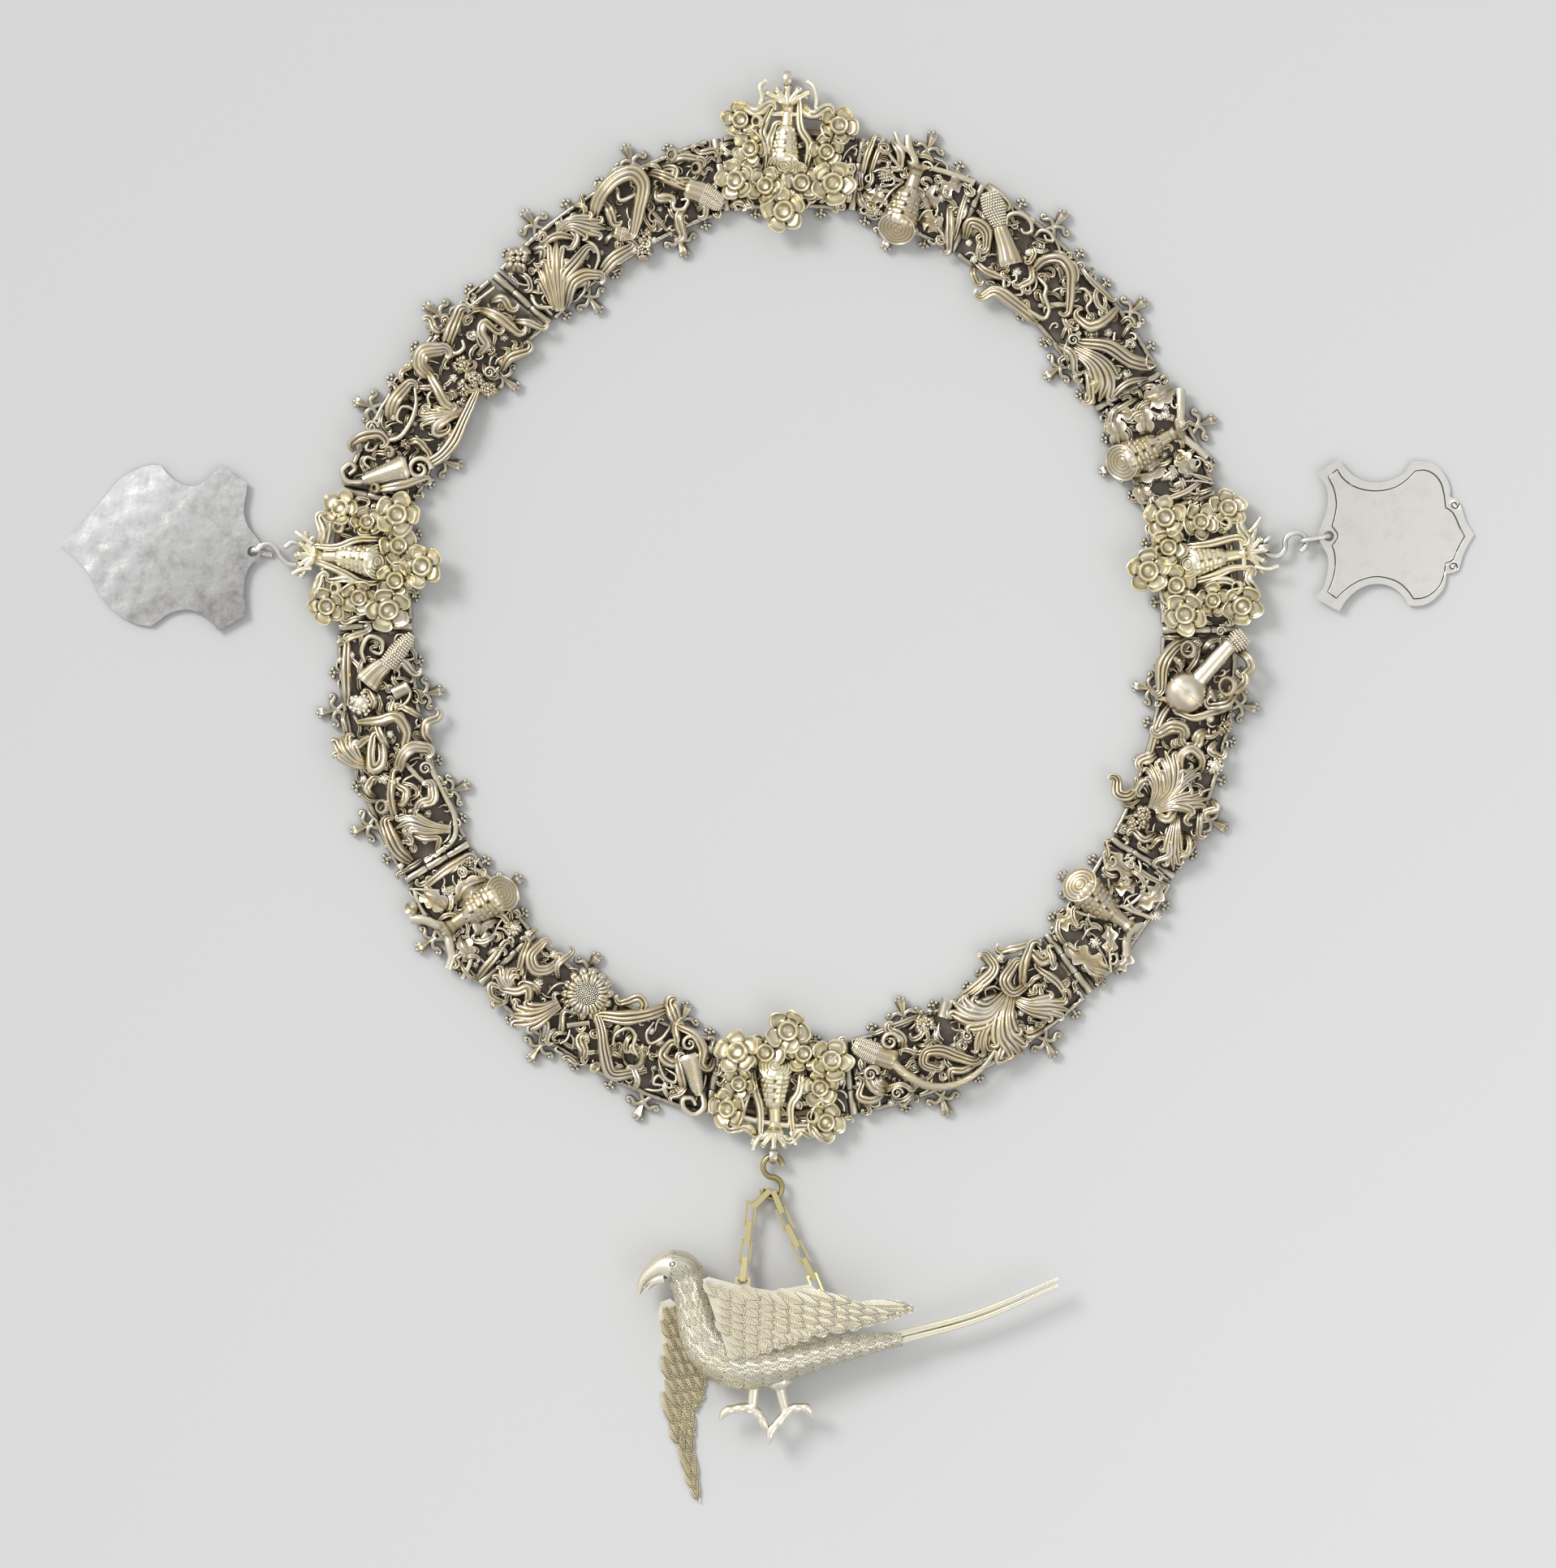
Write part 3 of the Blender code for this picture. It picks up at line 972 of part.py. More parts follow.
def build_shield(name, outline, hole, thickness, way):
    """A sheet tag that rests on its far edge, lifted at its hole by the wire beneath it."""
    far = max(way * x for x, _ in outline)
    rings = []
    for rise in (0.0, thickness):
        rings.append([Vector((hole.x + x * SHIELD_LENGTH, hole.y + y * SHIELD_LENGTH,
                              rise + SHIELD_LIFT * (1.0 - way * x / far))) for x, y in outline])
    centre = Vector((hole.x, hole.y))
    drill = [centre + Vector((math.cos(TAU * n / 8.0), math.sin(TAU * n / 8.0))) * SHIELD_HOLE_RADIUS
             for n in range(8)]
    make_node(name, [sweep(rings)], PALE_SILVER, [prism(drill, -0.001, 2.0 * SHIELD_LIFT)])


def bird_place(right, up, height=None):
    """Place on the bird from shares of its length, at its middle height unless given."""
    level = bird_centre() if height is None else height
    return Vector((BIRD_BEAK.x + right * BIRD_LENGTH, BIRD_BEAK.y + up * BIRD_LENGTH, level))


def bird_centre():
    """Height of the bird's middle, resting on its far wing."""
    return WING_THICKNESS + WING_GAP + 0.5 * BIRD_THICKNESS


def bird_loft(rows, sides):
    """A body swept through rows of place, half depth and half thickness."""
    middles = [bird_place(row[0], row[1]) for row in rows]
    last = len(rows) - 1
    rings = []
    for index, (_, _, depth, thickness) in enumerate(rows):
        forward = (middles[min(index + 1, last)] - middles[max(index - 1, 0)]).normalized()
        side = Vector((-forward.y, forward.x, 0.0))
        rings.append([middles[index] + side * (depth * BIRD_LENGTH * math.cos(TAU * n / sides))
                      + Vector((0.0, 0.0, thickness * BIRD_THICKNESS * math.sin(TAU * n / sides)))
                      for n in range(sides)])
    return sweep(rings)


def build_bird():
    """Bird with tail and legs in one casting, and its two wings."""
    shapes = [bird_loft(BIRD_BODY, 8), bird_loft(BIRD_HEAD, 8)]
    for way in (-1.0, 1.0):
        centres = [bird_place(x, y + way * BIRD_TAIL_SPREAD) for x, y, _ in BIRD_TAIL]
        shapes.append(tube(centres, [size * BIRD_LENGTH for _, _, size in BIRD_TAIL], 5))
    for first, second in BIRD_LEGS:
        ends = [bird_place(*first), bird_place(*second)]
        shapes.append(tube(ends, [BIRD_LEG_RADIUS, BIRD_LEG_RADIUS * 0.8], 4))
    for place, links in zip(BIRD_LUGS, STRAND_LINKS):
        lying = Vector((1.0, 0.0, 0.0)) if links % 2 else Vector((0.0, 0.0, 1.0))
        shapes.append(ring_wire(bird_place(*place), lying, Vector((0.0, 1.0, 0.0)),
                                (LUG_RADIUS, LUG_RADIUS), LUG_WIRE_RADIUS, CHAIN_SEGMENTS, WIRE_SIDES))
    make_node("bird_body", shapes, GILT)
    low = bird_centre() + 0.5 * BIRD_THICKNESS + WING_GAP
    near = [bird_place(x, y) for x, y in NEAR_WING]
    make_node("bird_near_wing", [prism(near, low, low + WING_THICKNESS)], GILT)
    far = [bird_place(x, y) for x, y in FAR_WING]
    make_node("bird_far_wing", [prism(far, 0.0, WING_THICKNESS)], GILT)


def route_point(route, distance):
    """Point and unit direction at a distance along a run of straight stretches."""
    for first, second in zip(route, route[1:]):
        run = (second - first).length
        if distance <= run or second is route[-1]:
            return first + (second - first) * (distance / run), (second - first) / run
        distance -= run
    return route[-1], (route[-1] - route[-2]).normalized()


def build_strand(name, start, end, bends, links):
    """A strand of boxy links, upright and lying by turns, from the hook's wire to a lug."""
    straight = end - start
    aside = Vector((straight.y, -straight.x, 0.0)).normalized()
    route = [start]
    for share, offset, height in bends:
        place = start + straight * share + aside * offset
        route.append(Vector((place.x, place.y, height)))
    route.append(end)
    total = sum((b - a).length for a, b in zip(route, route[1:]))
    step = 2.0 * CHAIN_WIRE_RADIUS * math.cos(math.pi / CHAIN_SIDES) - CHAIN_BITE
    length = (total + (links - 1) * step) / links
    shapes = []
    for index in range(links):
        middle, forward = route_point(route, 0.5 * length + index * (length - step))
        lying = forward.cross(Vector((0.0, 0.0, 1.0))).normalized()
        second = lying if index % 2 else lying.cross(forward)
        width = CHAIN_END_WIDTH if index in (0, links - 1) else CHAIN_WIDTH
        half = (0.5 * length, 0.5 * width - CHAIN_WIRE_RADIUS)
        shapes.append(ring_wire(middle, forward, second, half, CHAIN_WIRE_RADIUS, CHAIN_SEGMENTS,
                                CHAIN_SIDES, BOXINESS))
    make_node(name, shapes, GILT)


def build_bird_chains(link):
    """Hook under the bottom medallion and the two strands down to the bird's lugs."""
    bail, out = bail_place(link)
    centres = s_hook(bail, out, BOTTOM_HOOK_REACH)
    make_node("hook_bottom", [tube(centres, [HOOK_WIRE_RADIUS] * len(centres), WIRE_SIDES)], GILT)
    side = Vector((-out.y, out.x, 0.0))
    quarter = 0.25 * BOTTOM_HOOK_REACH
    clear = HOOK_WIRE_RADIUS + CHAIN_WIRE_RADIUS + WIRE_GAP
    for number, name in enumerate(("strand_left", "strand_right")):
        angle = math.radians(STRAND_STARTS[number])
        wire = out * (3.0 * quarter + math.cos(angle) * quarter) + side * (math.sin(angle) * HOOK_HALF_WIDTH)
        away = (out * (math.cos(angle) / quarter) + side * (math.sin(angle) / HOOK_HALF_WIDTH)).normalized()
        lug = bird_place(*BIRD_LUGS[number])
        build_strand(name, bail + wire - away * clear, lug, STRAND_ROUTES[number], STRAND_LINKS[number])


def build_all():
    """Every node of the collar."""
    clear_scene()
    for number in range(len(HINGES)):
        link = Link(number)
        build_plate(link)
        if link.name in ROSES:
            build_wreath(link)
        else:
            build_foliage(link)
        make_node(f"hinge_pin_{number + 1:02d}", [pin_shape(link, 0.0, PIN_RADIUS, HINGE_REACH)], STEEL)
        if link.name == "right":
            build_right_drop(link)
        elif link.name == "left":
            build_left_drop(link)
        elif link.name == "bottom":
            build_bird_chains(link)
    build_bird()


build_all()
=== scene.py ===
"""Silver-gilt guild collar: cast foliage, rose wreaths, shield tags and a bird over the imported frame."""
import logging
import math
from dataclasses import dataclass, field
from enum import Enum
from typing import Callable, Iterable, Sequence

import bmesh
import bpy
import numpy as np
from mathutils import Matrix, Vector, noise
from mathutils.geometry import delaunay_2d_cdt


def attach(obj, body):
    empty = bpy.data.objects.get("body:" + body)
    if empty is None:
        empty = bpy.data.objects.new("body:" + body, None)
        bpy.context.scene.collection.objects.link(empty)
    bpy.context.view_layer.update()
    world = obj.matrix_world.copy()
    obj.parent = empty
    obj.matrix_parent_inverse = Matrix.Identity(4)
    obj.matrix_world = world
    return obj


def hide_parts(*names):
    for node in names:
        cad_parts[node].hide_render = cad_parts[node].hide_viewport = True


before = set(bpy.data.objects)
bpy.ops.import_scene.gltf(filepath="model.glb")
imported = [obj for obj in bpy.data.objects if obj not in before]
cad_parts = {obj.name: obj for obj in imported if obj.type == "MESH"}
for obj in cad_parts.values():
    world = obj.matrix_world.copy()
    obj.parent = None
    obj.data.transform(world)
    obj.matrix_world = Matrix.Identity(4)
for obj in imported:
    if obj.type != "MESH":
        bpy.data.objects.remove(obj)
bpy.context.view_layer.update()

Places = Sequence[Sequence[float]]
Mesh = bpy.types.Mesh
Tree = bpy.types.NodeTree
Socket = bpy.types.NodeSocket

LOG = logging.getLogger("collar")
BODY = "root"
MM = 0.001
UP = np.array([0.0, 0.0, 1.0])
TURN = 2.0 * math.pi
GOLDEN_ANGLE = 2.39996

# The ring of links, as in the frame, in metres
RING_HALF = (0.1632, 0.1808)
RING_CENTRE = (0.00637, 0.06766)
BAND_HALF_WIDTH = 0.0154
BAND_RADIUS = 0.1728
PLATE_THICKNESS = 0.0012
GROUND = 0.0015
FOLIAGE_HEIGHT = 0.0092
ROSE_RADIUS = 0.0094
ROSE_TOP = 0.0115
TRUNK_RADIUS = 0.0062
KNUCKLE_RADIUS = 0.0024
KNUCKLE_GAP = 0.0004
HINGE_REACH = 0.93
MIDDLE_KNUCKLE = 0.30
LARGE_FINIAL = 0.0106
SMALL_FINIAL = 0.0038
BAIL_RADIUS = 0.0028
BAIL_STRAP = 0.0012
BAIL_WIDTH = 0.0030
HOOK_HEIGHT = 0.0048
HOOK_WIRE = 0.0011
HOOK_HALF_WIDTH = 0.0039
HOOK_SWEEP = 262.0
RIGHT_HOOK_REACH = 0.0172
BOTTOM_HOOK_REACH = 0.0166
RING_WIRE = 0.0009
WIRE_GAP = 0.00035
SHIELD_LENGTH = 0.0790
SHIELD_LIFT = 0.0026
SHIELD_HOLE = 0.0021
ENGRAVED_WIDTH = 0.00028
ENGRAVED_DEPTH = 0.00030
LEFT_REACH = 0.0202
RIGHT_REACH = 0.0262
BIRD_LENGTH = 0.1660
BIRD_THICKNESS = 0.0190
BIRD_BEAK = (-0.05053, -0.19824)
WING_THICKNESS = 0.0015
WING_GAP = 0.0003
CHAIN_WIRE = 0.0009
CHAIN_BITE = 0.0005

HINGES = (
    ("a1", .180, .966, 81.0), ("a2", .445, .871, 64.0), ("a3", .833, .492, 28.0),
    ("right", .961, .244, 20.0), ("b1", 1.006, -.028, 0.0), ("b2", .869, -.526, -31.0),
    ("b3", .690, -.756, -53.0), ("bottom", .159, -1.007, -82.0), ("c1", -.167, -1.007, -101.0),
    ("c2", -.667, -.747, -138.0), ("c3", -.837, -.535, -150.0), ("left", -.986, -.021, 180.0),
    ("d1", -.978, .262, 169.0), ("d2", -.631, .694, 139.0), ("top", -.151, .965, 99.0),
)

# Finials of each link: shares along its outer edge, then its inner edge; a minus sign marks a large one
FINIALS = {
    "a1": ((-.50, .77), (-.40, .14, .74)),
    "a2": ((.16, -.31, .45, .60, -.745, .89), (.44, .61, -.75, .91)),
    "a3": ((-.475, .77), (-.51, .26, .79)),
    "b1": ((-.285, .43, .585, -.745, .89), (-.275, .435, .62)),
    "b2": ((.20, .74), (-.54, .24, .86)),
    "b3": ((.09, -.235, .52, -.67, .81), (-.28, .41, .585, -.725, .87)),
    "c1": ((-.24, .38, .53, -.68, .825), (-.20, .06, -.71)),
    "c2": ((.19, -.50, .78), (-.48, .21, .79)),
    "c3": ((.10, -.24, .395, -.69, .83), (-.24, .11, .395, -.70, .85)),
    "d1": ((-.33, .455, .605, -.755, .90), (-.215, .105, .39, -.68, .84)),
    "d2": ((.09, -.235, .38, .53, -.675, .82), (-.22, .08, .39, -.75, .89)),
    "top": ((), (.23, .76)), "right": ((), (.22, .75)), "bottom": ((), (.23, .72)), "left": ((), (.25, .76)),
}

# Cast ornament of each link, a row a line: form, width in hundredths of the band's half width, height in
# hundredths of the foliage height, then places in hundredths along and across the link
ORNAMENT = {
    "a1": """
stem 20 75  47,60 42,82 36,102 33,130
stem 14 70  39,90 29,102 23,128
stem 18 62  46,64 58,74 72,80 93,88
leaf 18 55  3,-10 5,45 8,100
leaf 14 60  10,-5 12,50 15,98
stem 10 60  15,95 24,66 36,42
leaf 26 45  22,108 30,85 33,55
holly 46 50  9,-36 18,-46 29,-18
holly 46 50  52,16 62,2 73,-28
holly 42 52  59,-60 72,-52 86,-66
holly 36 55  69,20 76,48 86,80
cob 34 50  20,36 25,0
stem 9 55  39,16 31,-20 25,-66
stem 10 50  37,6 22,-14 12,-42
leaf 24 60  82,10 90,-45 98,-92
leaf 16 60  90,75 93,10 97,-60
stem 10 55  60,-46 80,-58 97,-92
berry 26 55  22,-80
leaf 20 45  2,-40 8,-70 16,-78
berry 22 50  66,30""",
    "a2": """
cob 52 100  3,84 14,22
leaf 26 60  1,98 6,92 11,86
skirt 62 95  13,26 20,-5 26,-34
leaf 30 80  3,-50 2,-10 6,0 10,-6 13,-34
leaf 14 50  2,30 7,22 12,10
strip 12 85  16,34 14,60 17,82 22,84 25,66 23,50 21,55
curl 13 95  27,62 28,84 31,92 34,84 32,74 30,80
leaf 16 60  27,40 31,30 32,8
leaf 28 100  35,-8 36,30 41,62 47,58 53,22 58,-12
leaf 16 90  40,58 46,74 51,52 50,30
stem 18 45  47,-60 56,-2 63,28
strip 10 75  53,30 56,54 61,50 62,28 66,22
leaf 26 95  70,92 71,45 69,5 63,-6
leaf 16 70  61,98 60,72 64,55 68,60
strip 12 70  38,-10 44,-14 46,-32 52,-50 53,-72 48,-84 39,-88
leaf 20 70  32,2 37,-25 35,-60
strip 10 60  26,-62 30,-90 34,-92 38,-68 33,-60
berry 18 60  30,-36
leaf 20 55  11,-80 18,-86 28,-66
leaf 34 75  52,-90 38,-102 27,-112 24,-142
spiky 30 70  72,-4
ring 24 85  69,-50
fan 50 90  72,-62 84,-36 92,-42 98,-78
leaf 24 80  80,-56 88,-72 95,-92
leaf 40 85  96,86 90,44 80,14 72,-36
leaf 18 80  99,60 97,10 99,-50
strip 10 70  83,72 84,48 80,34 77,48
berry 26 60  94,16
leaf 22 65  66,-86 74,-74 80,-90
leaf 18 60  12,-95 14,-112 17,-124
leaf 16 55  46,88 55,82 66,90""",
    "a3": """
stem 26 72  47,58 40,76 28,98 17,118
stem 22 70  47,58 56,74 66,92 73,102
oak 44 55  12,22 15,62 13,104
stem 10 62  36,62 31,48 22,22 12,16
oak 36 58  12,10 27,-4 41,-20
oak 38 55  9,-68 26,-78 42,-92
oak 24 52  10,-55 17,-28 22,0
oak 38 62  82,54 70,44 59,38
oak 36 58  62,-95 67,-40 62,2
acorn 26 66  73,18 76,-28
acorn 24 64  84,28 84,-6
stem 6 62  93,95 87,60 83,22
stem 6 62  90,95 83,65 76,26
stem 7 60  90,85 80,52 64,42
stem 10 55  70,-96 75,-74 87,-68
oak 34 58  70,-80 80,-86 90,-70
leaf 18 50  86,90 91,30 92,-55
berry 20 55  24,60
leaf 16 50  8,12 9,-30 10,-66
berry 22 60  30,52""",
    "b1": """
bulb 112 122  26.8,-27
hexagon 40 110  5.5,78 21.5,-2
cob 50 95  2,116 7,74
ring 20 90  0.8,52
leaf 26 100  8,96 10,120 14,132 17,118
leaf 24 90  14,105 19,120 23,104
hoop 30 130  22.2,72
leaf 24 110  24,100 29,76 31,40
holly 30 120  25,52 26,40 26,16
hoop 26 110  8.5,-32
holly 28 105  11,-46 14,-50 15,-30
leaf 34 85  4,-30 8,-66 16,-94 27,-92
leaf 16 85  5,-2 12,-10 18,-30
leaf 22 80  30,92 34,40 37,0 36,-42
leaf 20 60  30,-50 38,-76 50,-86 63,-84
leaf 34 90  49,-10 43,-20 43,-50 47,-76
knob 26 85  36,42
leaf 34 80  41,42 44,24 47,22
flower 26 80  38,84
berry 36 95  54,82
leaf 20 75  44,72 49,58 50,86
leaf 24 90  59,48 53,44 50,12 54,-10 61,2
leaf 20 70  46,10 50,16 52,44
fan 40 95  79,-34 70,-10 61,-22 54,-52
fan 30 90  80,-38 71,-40 65,-60 61,-84
fan 28 92  80,-28 71,-2 64,12 56,46
fan 36 95  80,-26 73,22 70,60 67,90
leaf 22 100  79,-20 74,30 74,62 77,56
leaf 18 80  71,76 76,88 81,100
leaf 20 90  67,96 69,118 72,98
leaf 26 85  81,-24 81,10 76,20
fan 34 80  76,26 86,44 93,62 98,84
leaf 16 80  83,62 85,84 90,94 93,78
leaf 18 80  89,4 89,38 94,54 98,34
flower 34 85  88,-56
spiky 36 70  84,-50
leaf 20 75  88,2 93,-20 92,-50
leaf 22 65  70,-40 70,-80 74,-88
leaf 30 70  73,-86 79,-106 80,-130 75,-144
leaf 34 65  56,-68 58.5,-82 61,-100
spiky 24 55  93,-76""",
    "b2": """
stem 28 62  49,70 58,78 64,98 72,108
stem 14 62  40,12 37,50 33,90 30,112
stem 10 60  44,-2 37,26 22,42 9,36
holly 44 58  8,74 20,68 33,38
holly 42 50  12,14 15,-40 13,-94
holly 38 55  17,14 26,-6 32,-34
stem 10 52  41,-24 28,-56 14,-96
holly 32 62  57,10 64,40 75,68
stem 8 66  58,18 70,56 80,96
berry 26 60  74,16
strip 8 50  64,0 70,-18 80,-16
holly 46 56  80,96 87,30 93,-40
stem 14 55  57,-12 65,-56 71,-96
holly 42 55  65,-60 78,-78 92,-94
stem 10 50  74,10 76,50 80,92
leaf 20 50  84,98 90,60 90,20
leaf 18 45  8,90 10,30 8,-30
berry 22 60  30,104
holly 30 55  60,96 66,106 78,100""",
    "b3": """
fan 42 85  27,-26 22,20 15,55 10,92
leaf 22 60  9,70 8,20 11,-44
leaf 18 50  13,50 16,20 15,2
spiky 20 60  13,2
leaf 26 75  21,-28 16,-70 8,-102
leaf 28 60  2,-44 8,-50 10,-92
leaf 30 85  18,-30 25,-36 26,-70 18,-92
fan 52 105  27,-32 33,5 36,48 35,80 34,112
leaf 22 95  36,50 40,72 43,92 41,98
fan 38 95  28,-28 39,-2 45,28 47,66
fan 56 100  28,-38 38,-26 45,-46 50,-96
leaf 30 80  29,-42 36,-52 42,-60 44,-80
strip 8 60  29,-56 31,-76 35,-80 36,-64
serpent 20 115  42,66 50,90 60,97 70,76 77,34 83,-20
leaf 30 90  46,52 50,66 56,36 62,2 68,-6 70,18 66,42
leaf 20 85  50,72 56,72 61,60 62,86
leaf 16 75  40,20 44,30 46,56
spiky 34 75  50,-2
ring 26 80  49.5,-2
fluted 60 100  80,-12 88,-45 96,-86
leaf 46 105  86,52 90,32 91,8
ring 30 115  91.5,0
ring 38 100  81,-66
leaf 30 85  78,-36 76,-60 80,-90
tube 40 45  56,-70 51,-106
spiky 40 60  65,-76
leaf 14 60  60,-10 62,-30 61,-48
leaf 16 65  71,2 73,-20 76,-34
leaf 18 70  74,60 77,70 80,50 86,46
ring 24 85  83,66
leaf 22 75  86,54 93,66 97,50 95,20
leaf 16 60  93,0 95,-30 94,-40
leaf 30 65  48,-90 36,-100 27,-114 27,-150
leaf 16 70  46,-84 38,-88 30,-100
leaf 22 60  6,-100 12,-116 20,-134
leaf 26 50  22,86 28,78 30,60
leaf 16 55  66,-100 76,-100 86,-96
berry 18 60  22.5,-126""",
    "c1": """
horn 52 100  4.5,52 8,10 13,-40
strip 16 100  3.5,44 2,80 5,102 9,92 10,72 7,64 5,78
leaf 22 90  10,56 14,10 17,-20
leaf 24 80  2,-50 3,-22 6,-26 7,-62 12,-92 20,-98
ring 34 85  13.5,-68
leaf 26 90  13,-24 18,-6 23,-16 22,-48
leaf 20 75  19,-34 19,-62 22,-94
strip 10 75  20,14 15,22 15,38 19,36 23,8 25,-28
strip 10 70  19,56 23,58 22,36 19,44
hoop 42 45  34.5,16
leaf 30 95  27,36 33,60 39,80 45,44 51,-6 56,-34
leaf 18 80  29,98 29,68 32,46
strip 12 70  32,14 36,-6 37,-34 41,-44 45,-12 44,14
leaf 36 90  28,-134 36,-98 45,-62 54,-38
leaf 22 85  41,-76 39,-114 43,-126 47,-104 49,-92
leaf 34 70  21,-98 24,-120 28,-142
strip 10 65  24,-92 26,-56 30,-32 33,-50 32,-86
berry 18 60  26,-44
sun 138 105  64.5,-65
tube 14 55  57,-6 64,32
leaf 20 60  64,62 66,36 68,16
knob 22 55  55,30
leaf 30 55  52,88 53,62 56,48
fan 50 95  72,-2 75,40 78,70 84,98
leaf 24 90  82,72 82,44 86,16 88,40 92,60
leaf 20 75  68,96 71,60 76,52
fan 34 80  88,46 94,40 98,12
leaf 18 75  88,84 94,94 97,74 93,60
leaf 16 60  71,30 73,2 75,-6
leaf 30 85  83,-98 85,-50 89,-32 94,-50 95,-96
leaf 22 75  92,10 96,-30 99,-66
berry 22 70  84,-8
leaf 18 70  78,-48 83,-74 82,-122
leaf 22 70  80,14 84,2 88,12
berry 16 60  4,-70""",
    "c2": """
stem 28 72  49,60 41,84 30,102 25,128
stem 28 72  50,60 58,84 66,102 73,130
stem 14 60  39,72 46,62 46,34 42,10
oak 34 58  18,74 28,60 39,50
stem 14 55  12,118 16,86 22,56
leaf 24 50  5,90 8,30 12,-20
acorn 28 62  23,26 28,-12
oak 32 58  27,16 36,-10 32,-56
flower 34 55  18,-66
berry 30 60  17,-68
strip 8 55  22,-10 28,-50 31,-92
oak 38 62  86,76 72,50 60,40
acorn 26 66  76,26 74,-12
acorn 22 60  75,-20 72,-54
oak 36 58  60,12 68,-30 64,-90
stem 7 64  92,92 86,62 79,30
stem 7 64  88,84 76,64 64,50
leaf 24 55  87,70 90,5 91,-76
stem 14 52  61,-98 75,-80 88,-54
flower 24 55  85,-74
stem 12 60  66,94 78,94 90,86
oak 26 62  74,102 78,114 84,122
berry 20 55  30,90""",
    "c3": """
stem 16 62  3,-12 5,-66 13,-94 26,-93 42,-86 52,-98
fan 36 85  9,-72 14,-24 19,14 19,56
leaf 38 75  5,56 11,72 22,72
leaf 16 65  13,52 15,30 15,10
leaf 18 70  4,-10 8,-34 11,2 14,20
leaf 30 80  20,-6 24,-30 24,-62 29,-74
stem 18 55  24,-78 34,-52 45,-18
hoop 22 85  29,64
leaf 22 80  21,46 30,36 40,10
leaf 22 80  30,34 27,14 31,-8 34,6
leaf 20 80  33,72 37,84 40,66
knob 20 85  36.5,16
berry 24 80  39,36
leaf 28 95  57,24 52,18 45,30 44,54 50,50 56,34
fan 44 100  46,58 48,84 53,106 60,114
leaf 22 90  59,104 54,86 56,52
leaf 28 95  63,66 62,10 62,-36 55,-54 49,-38
leaf 22 80  49,6 55,12 60,18
leaf 34 85  39,0 45,-24 48,-58 46,-92
ring 26 75  37.5,-74
berry 52 90  70,46
leaf 18 85  66,30 70,14 74,22
leaf 26 65  70,86 80,78 93,72
skirt 66 100  85,-26 82,0 77.5,30
cob 40 98  83.5,-22 96.5,-96
strip 13 80  86,28 91,34 96,14 94,-18 89,-14 90,6
leaf 22 65  80,-44 85,-66 80,-92
tube 36 60  72,-36 74,-76
strip 8 70  66,-34 67,-62 71,-80 76,-72
leaf 26 65  47,-104 53,-96 57,-110 58,-136
leaf 20 60  60,-96 64,-70 66,-54
leaf 16 60  78,50 84,44 87,58
leaf 20 55  93,96 96,60 98,20
leaf 14 55  42,86 46,80 42,64""",
    "d1": """
horn 60 100  5,52 9,10 14.5,-42
strip 15 105  4.5,46 3.5,90 7,110 10,96 8.5,82 6,90
leaf 24 85  2,30 4,-10 7,-52 12,-90
hoop 14 80  3,16
leaf 26 90  15,102 17,116 21,98 24,62 23,44
strip 10 80  10,46 12,68 14,66 14,42
strip 10 80  20,54 17,62 17,76 20,78
ring 26 80  25.5,88
hoop 16 75  18.5,20
ring 24 70  5.5,-38
ring 50 85  15,-70
strip 13 85  22,44 25,14 32,6 40,18 46,44
leaf 34 85  30,54 37,70 46,64
strip 10 85  31,22 32,42 37,46 38,24 36,2
fan 30 80  46,-92 39,-46 34,-4
leaf 26 80  46,-94 41,-72 34,-58 32,-68 34,-84
leaf 26 85  46,-90 45,-50 50,-2 53,32
leaf 18 85  43,-10 42,-40 44,-66
strip 10 75  42,-14 45,4 49,2
leaf 30 75  13,-36 21,-98 30,-114 42,-106 56,-90
leaf 22 75  23,-6 26,-34 23,-72
flower 22 80  23.5,-10
leaf 42 100  53,22 55,66 60,80 65,48
leaf 34 90  65,42 72,60 81,84
strip 12 80  67,40 66,16 70,10 72,26
leaf 20 85  71,70 70,96 72,122
leaf 16 75  46,66 47,88 50,96 52,88
leaf 16 80  46,50 48,22 50,2
spiky 40 80  63,-16
flower 34 75  54.5,-60
spiky 36 75  61,-66
ring 24 85  66.5,-84
spiky 34 65  60,-108
leaf 26 75  70,-30 76,-30 79,4 83,16 83,-20
leaf 28 85  86,54 88,4 88,-60
leaf 20 75  90,-28 94,-60 96,-92
leaf 22 75  91,50 95,30 94,2
leaf 18 60  74,30 77,10 75,-14
flower 22 60  75,-44
rope 10 60  64,82 80,76 96,68
leaf 24 60  70,-100 77,-96 84,-114""",
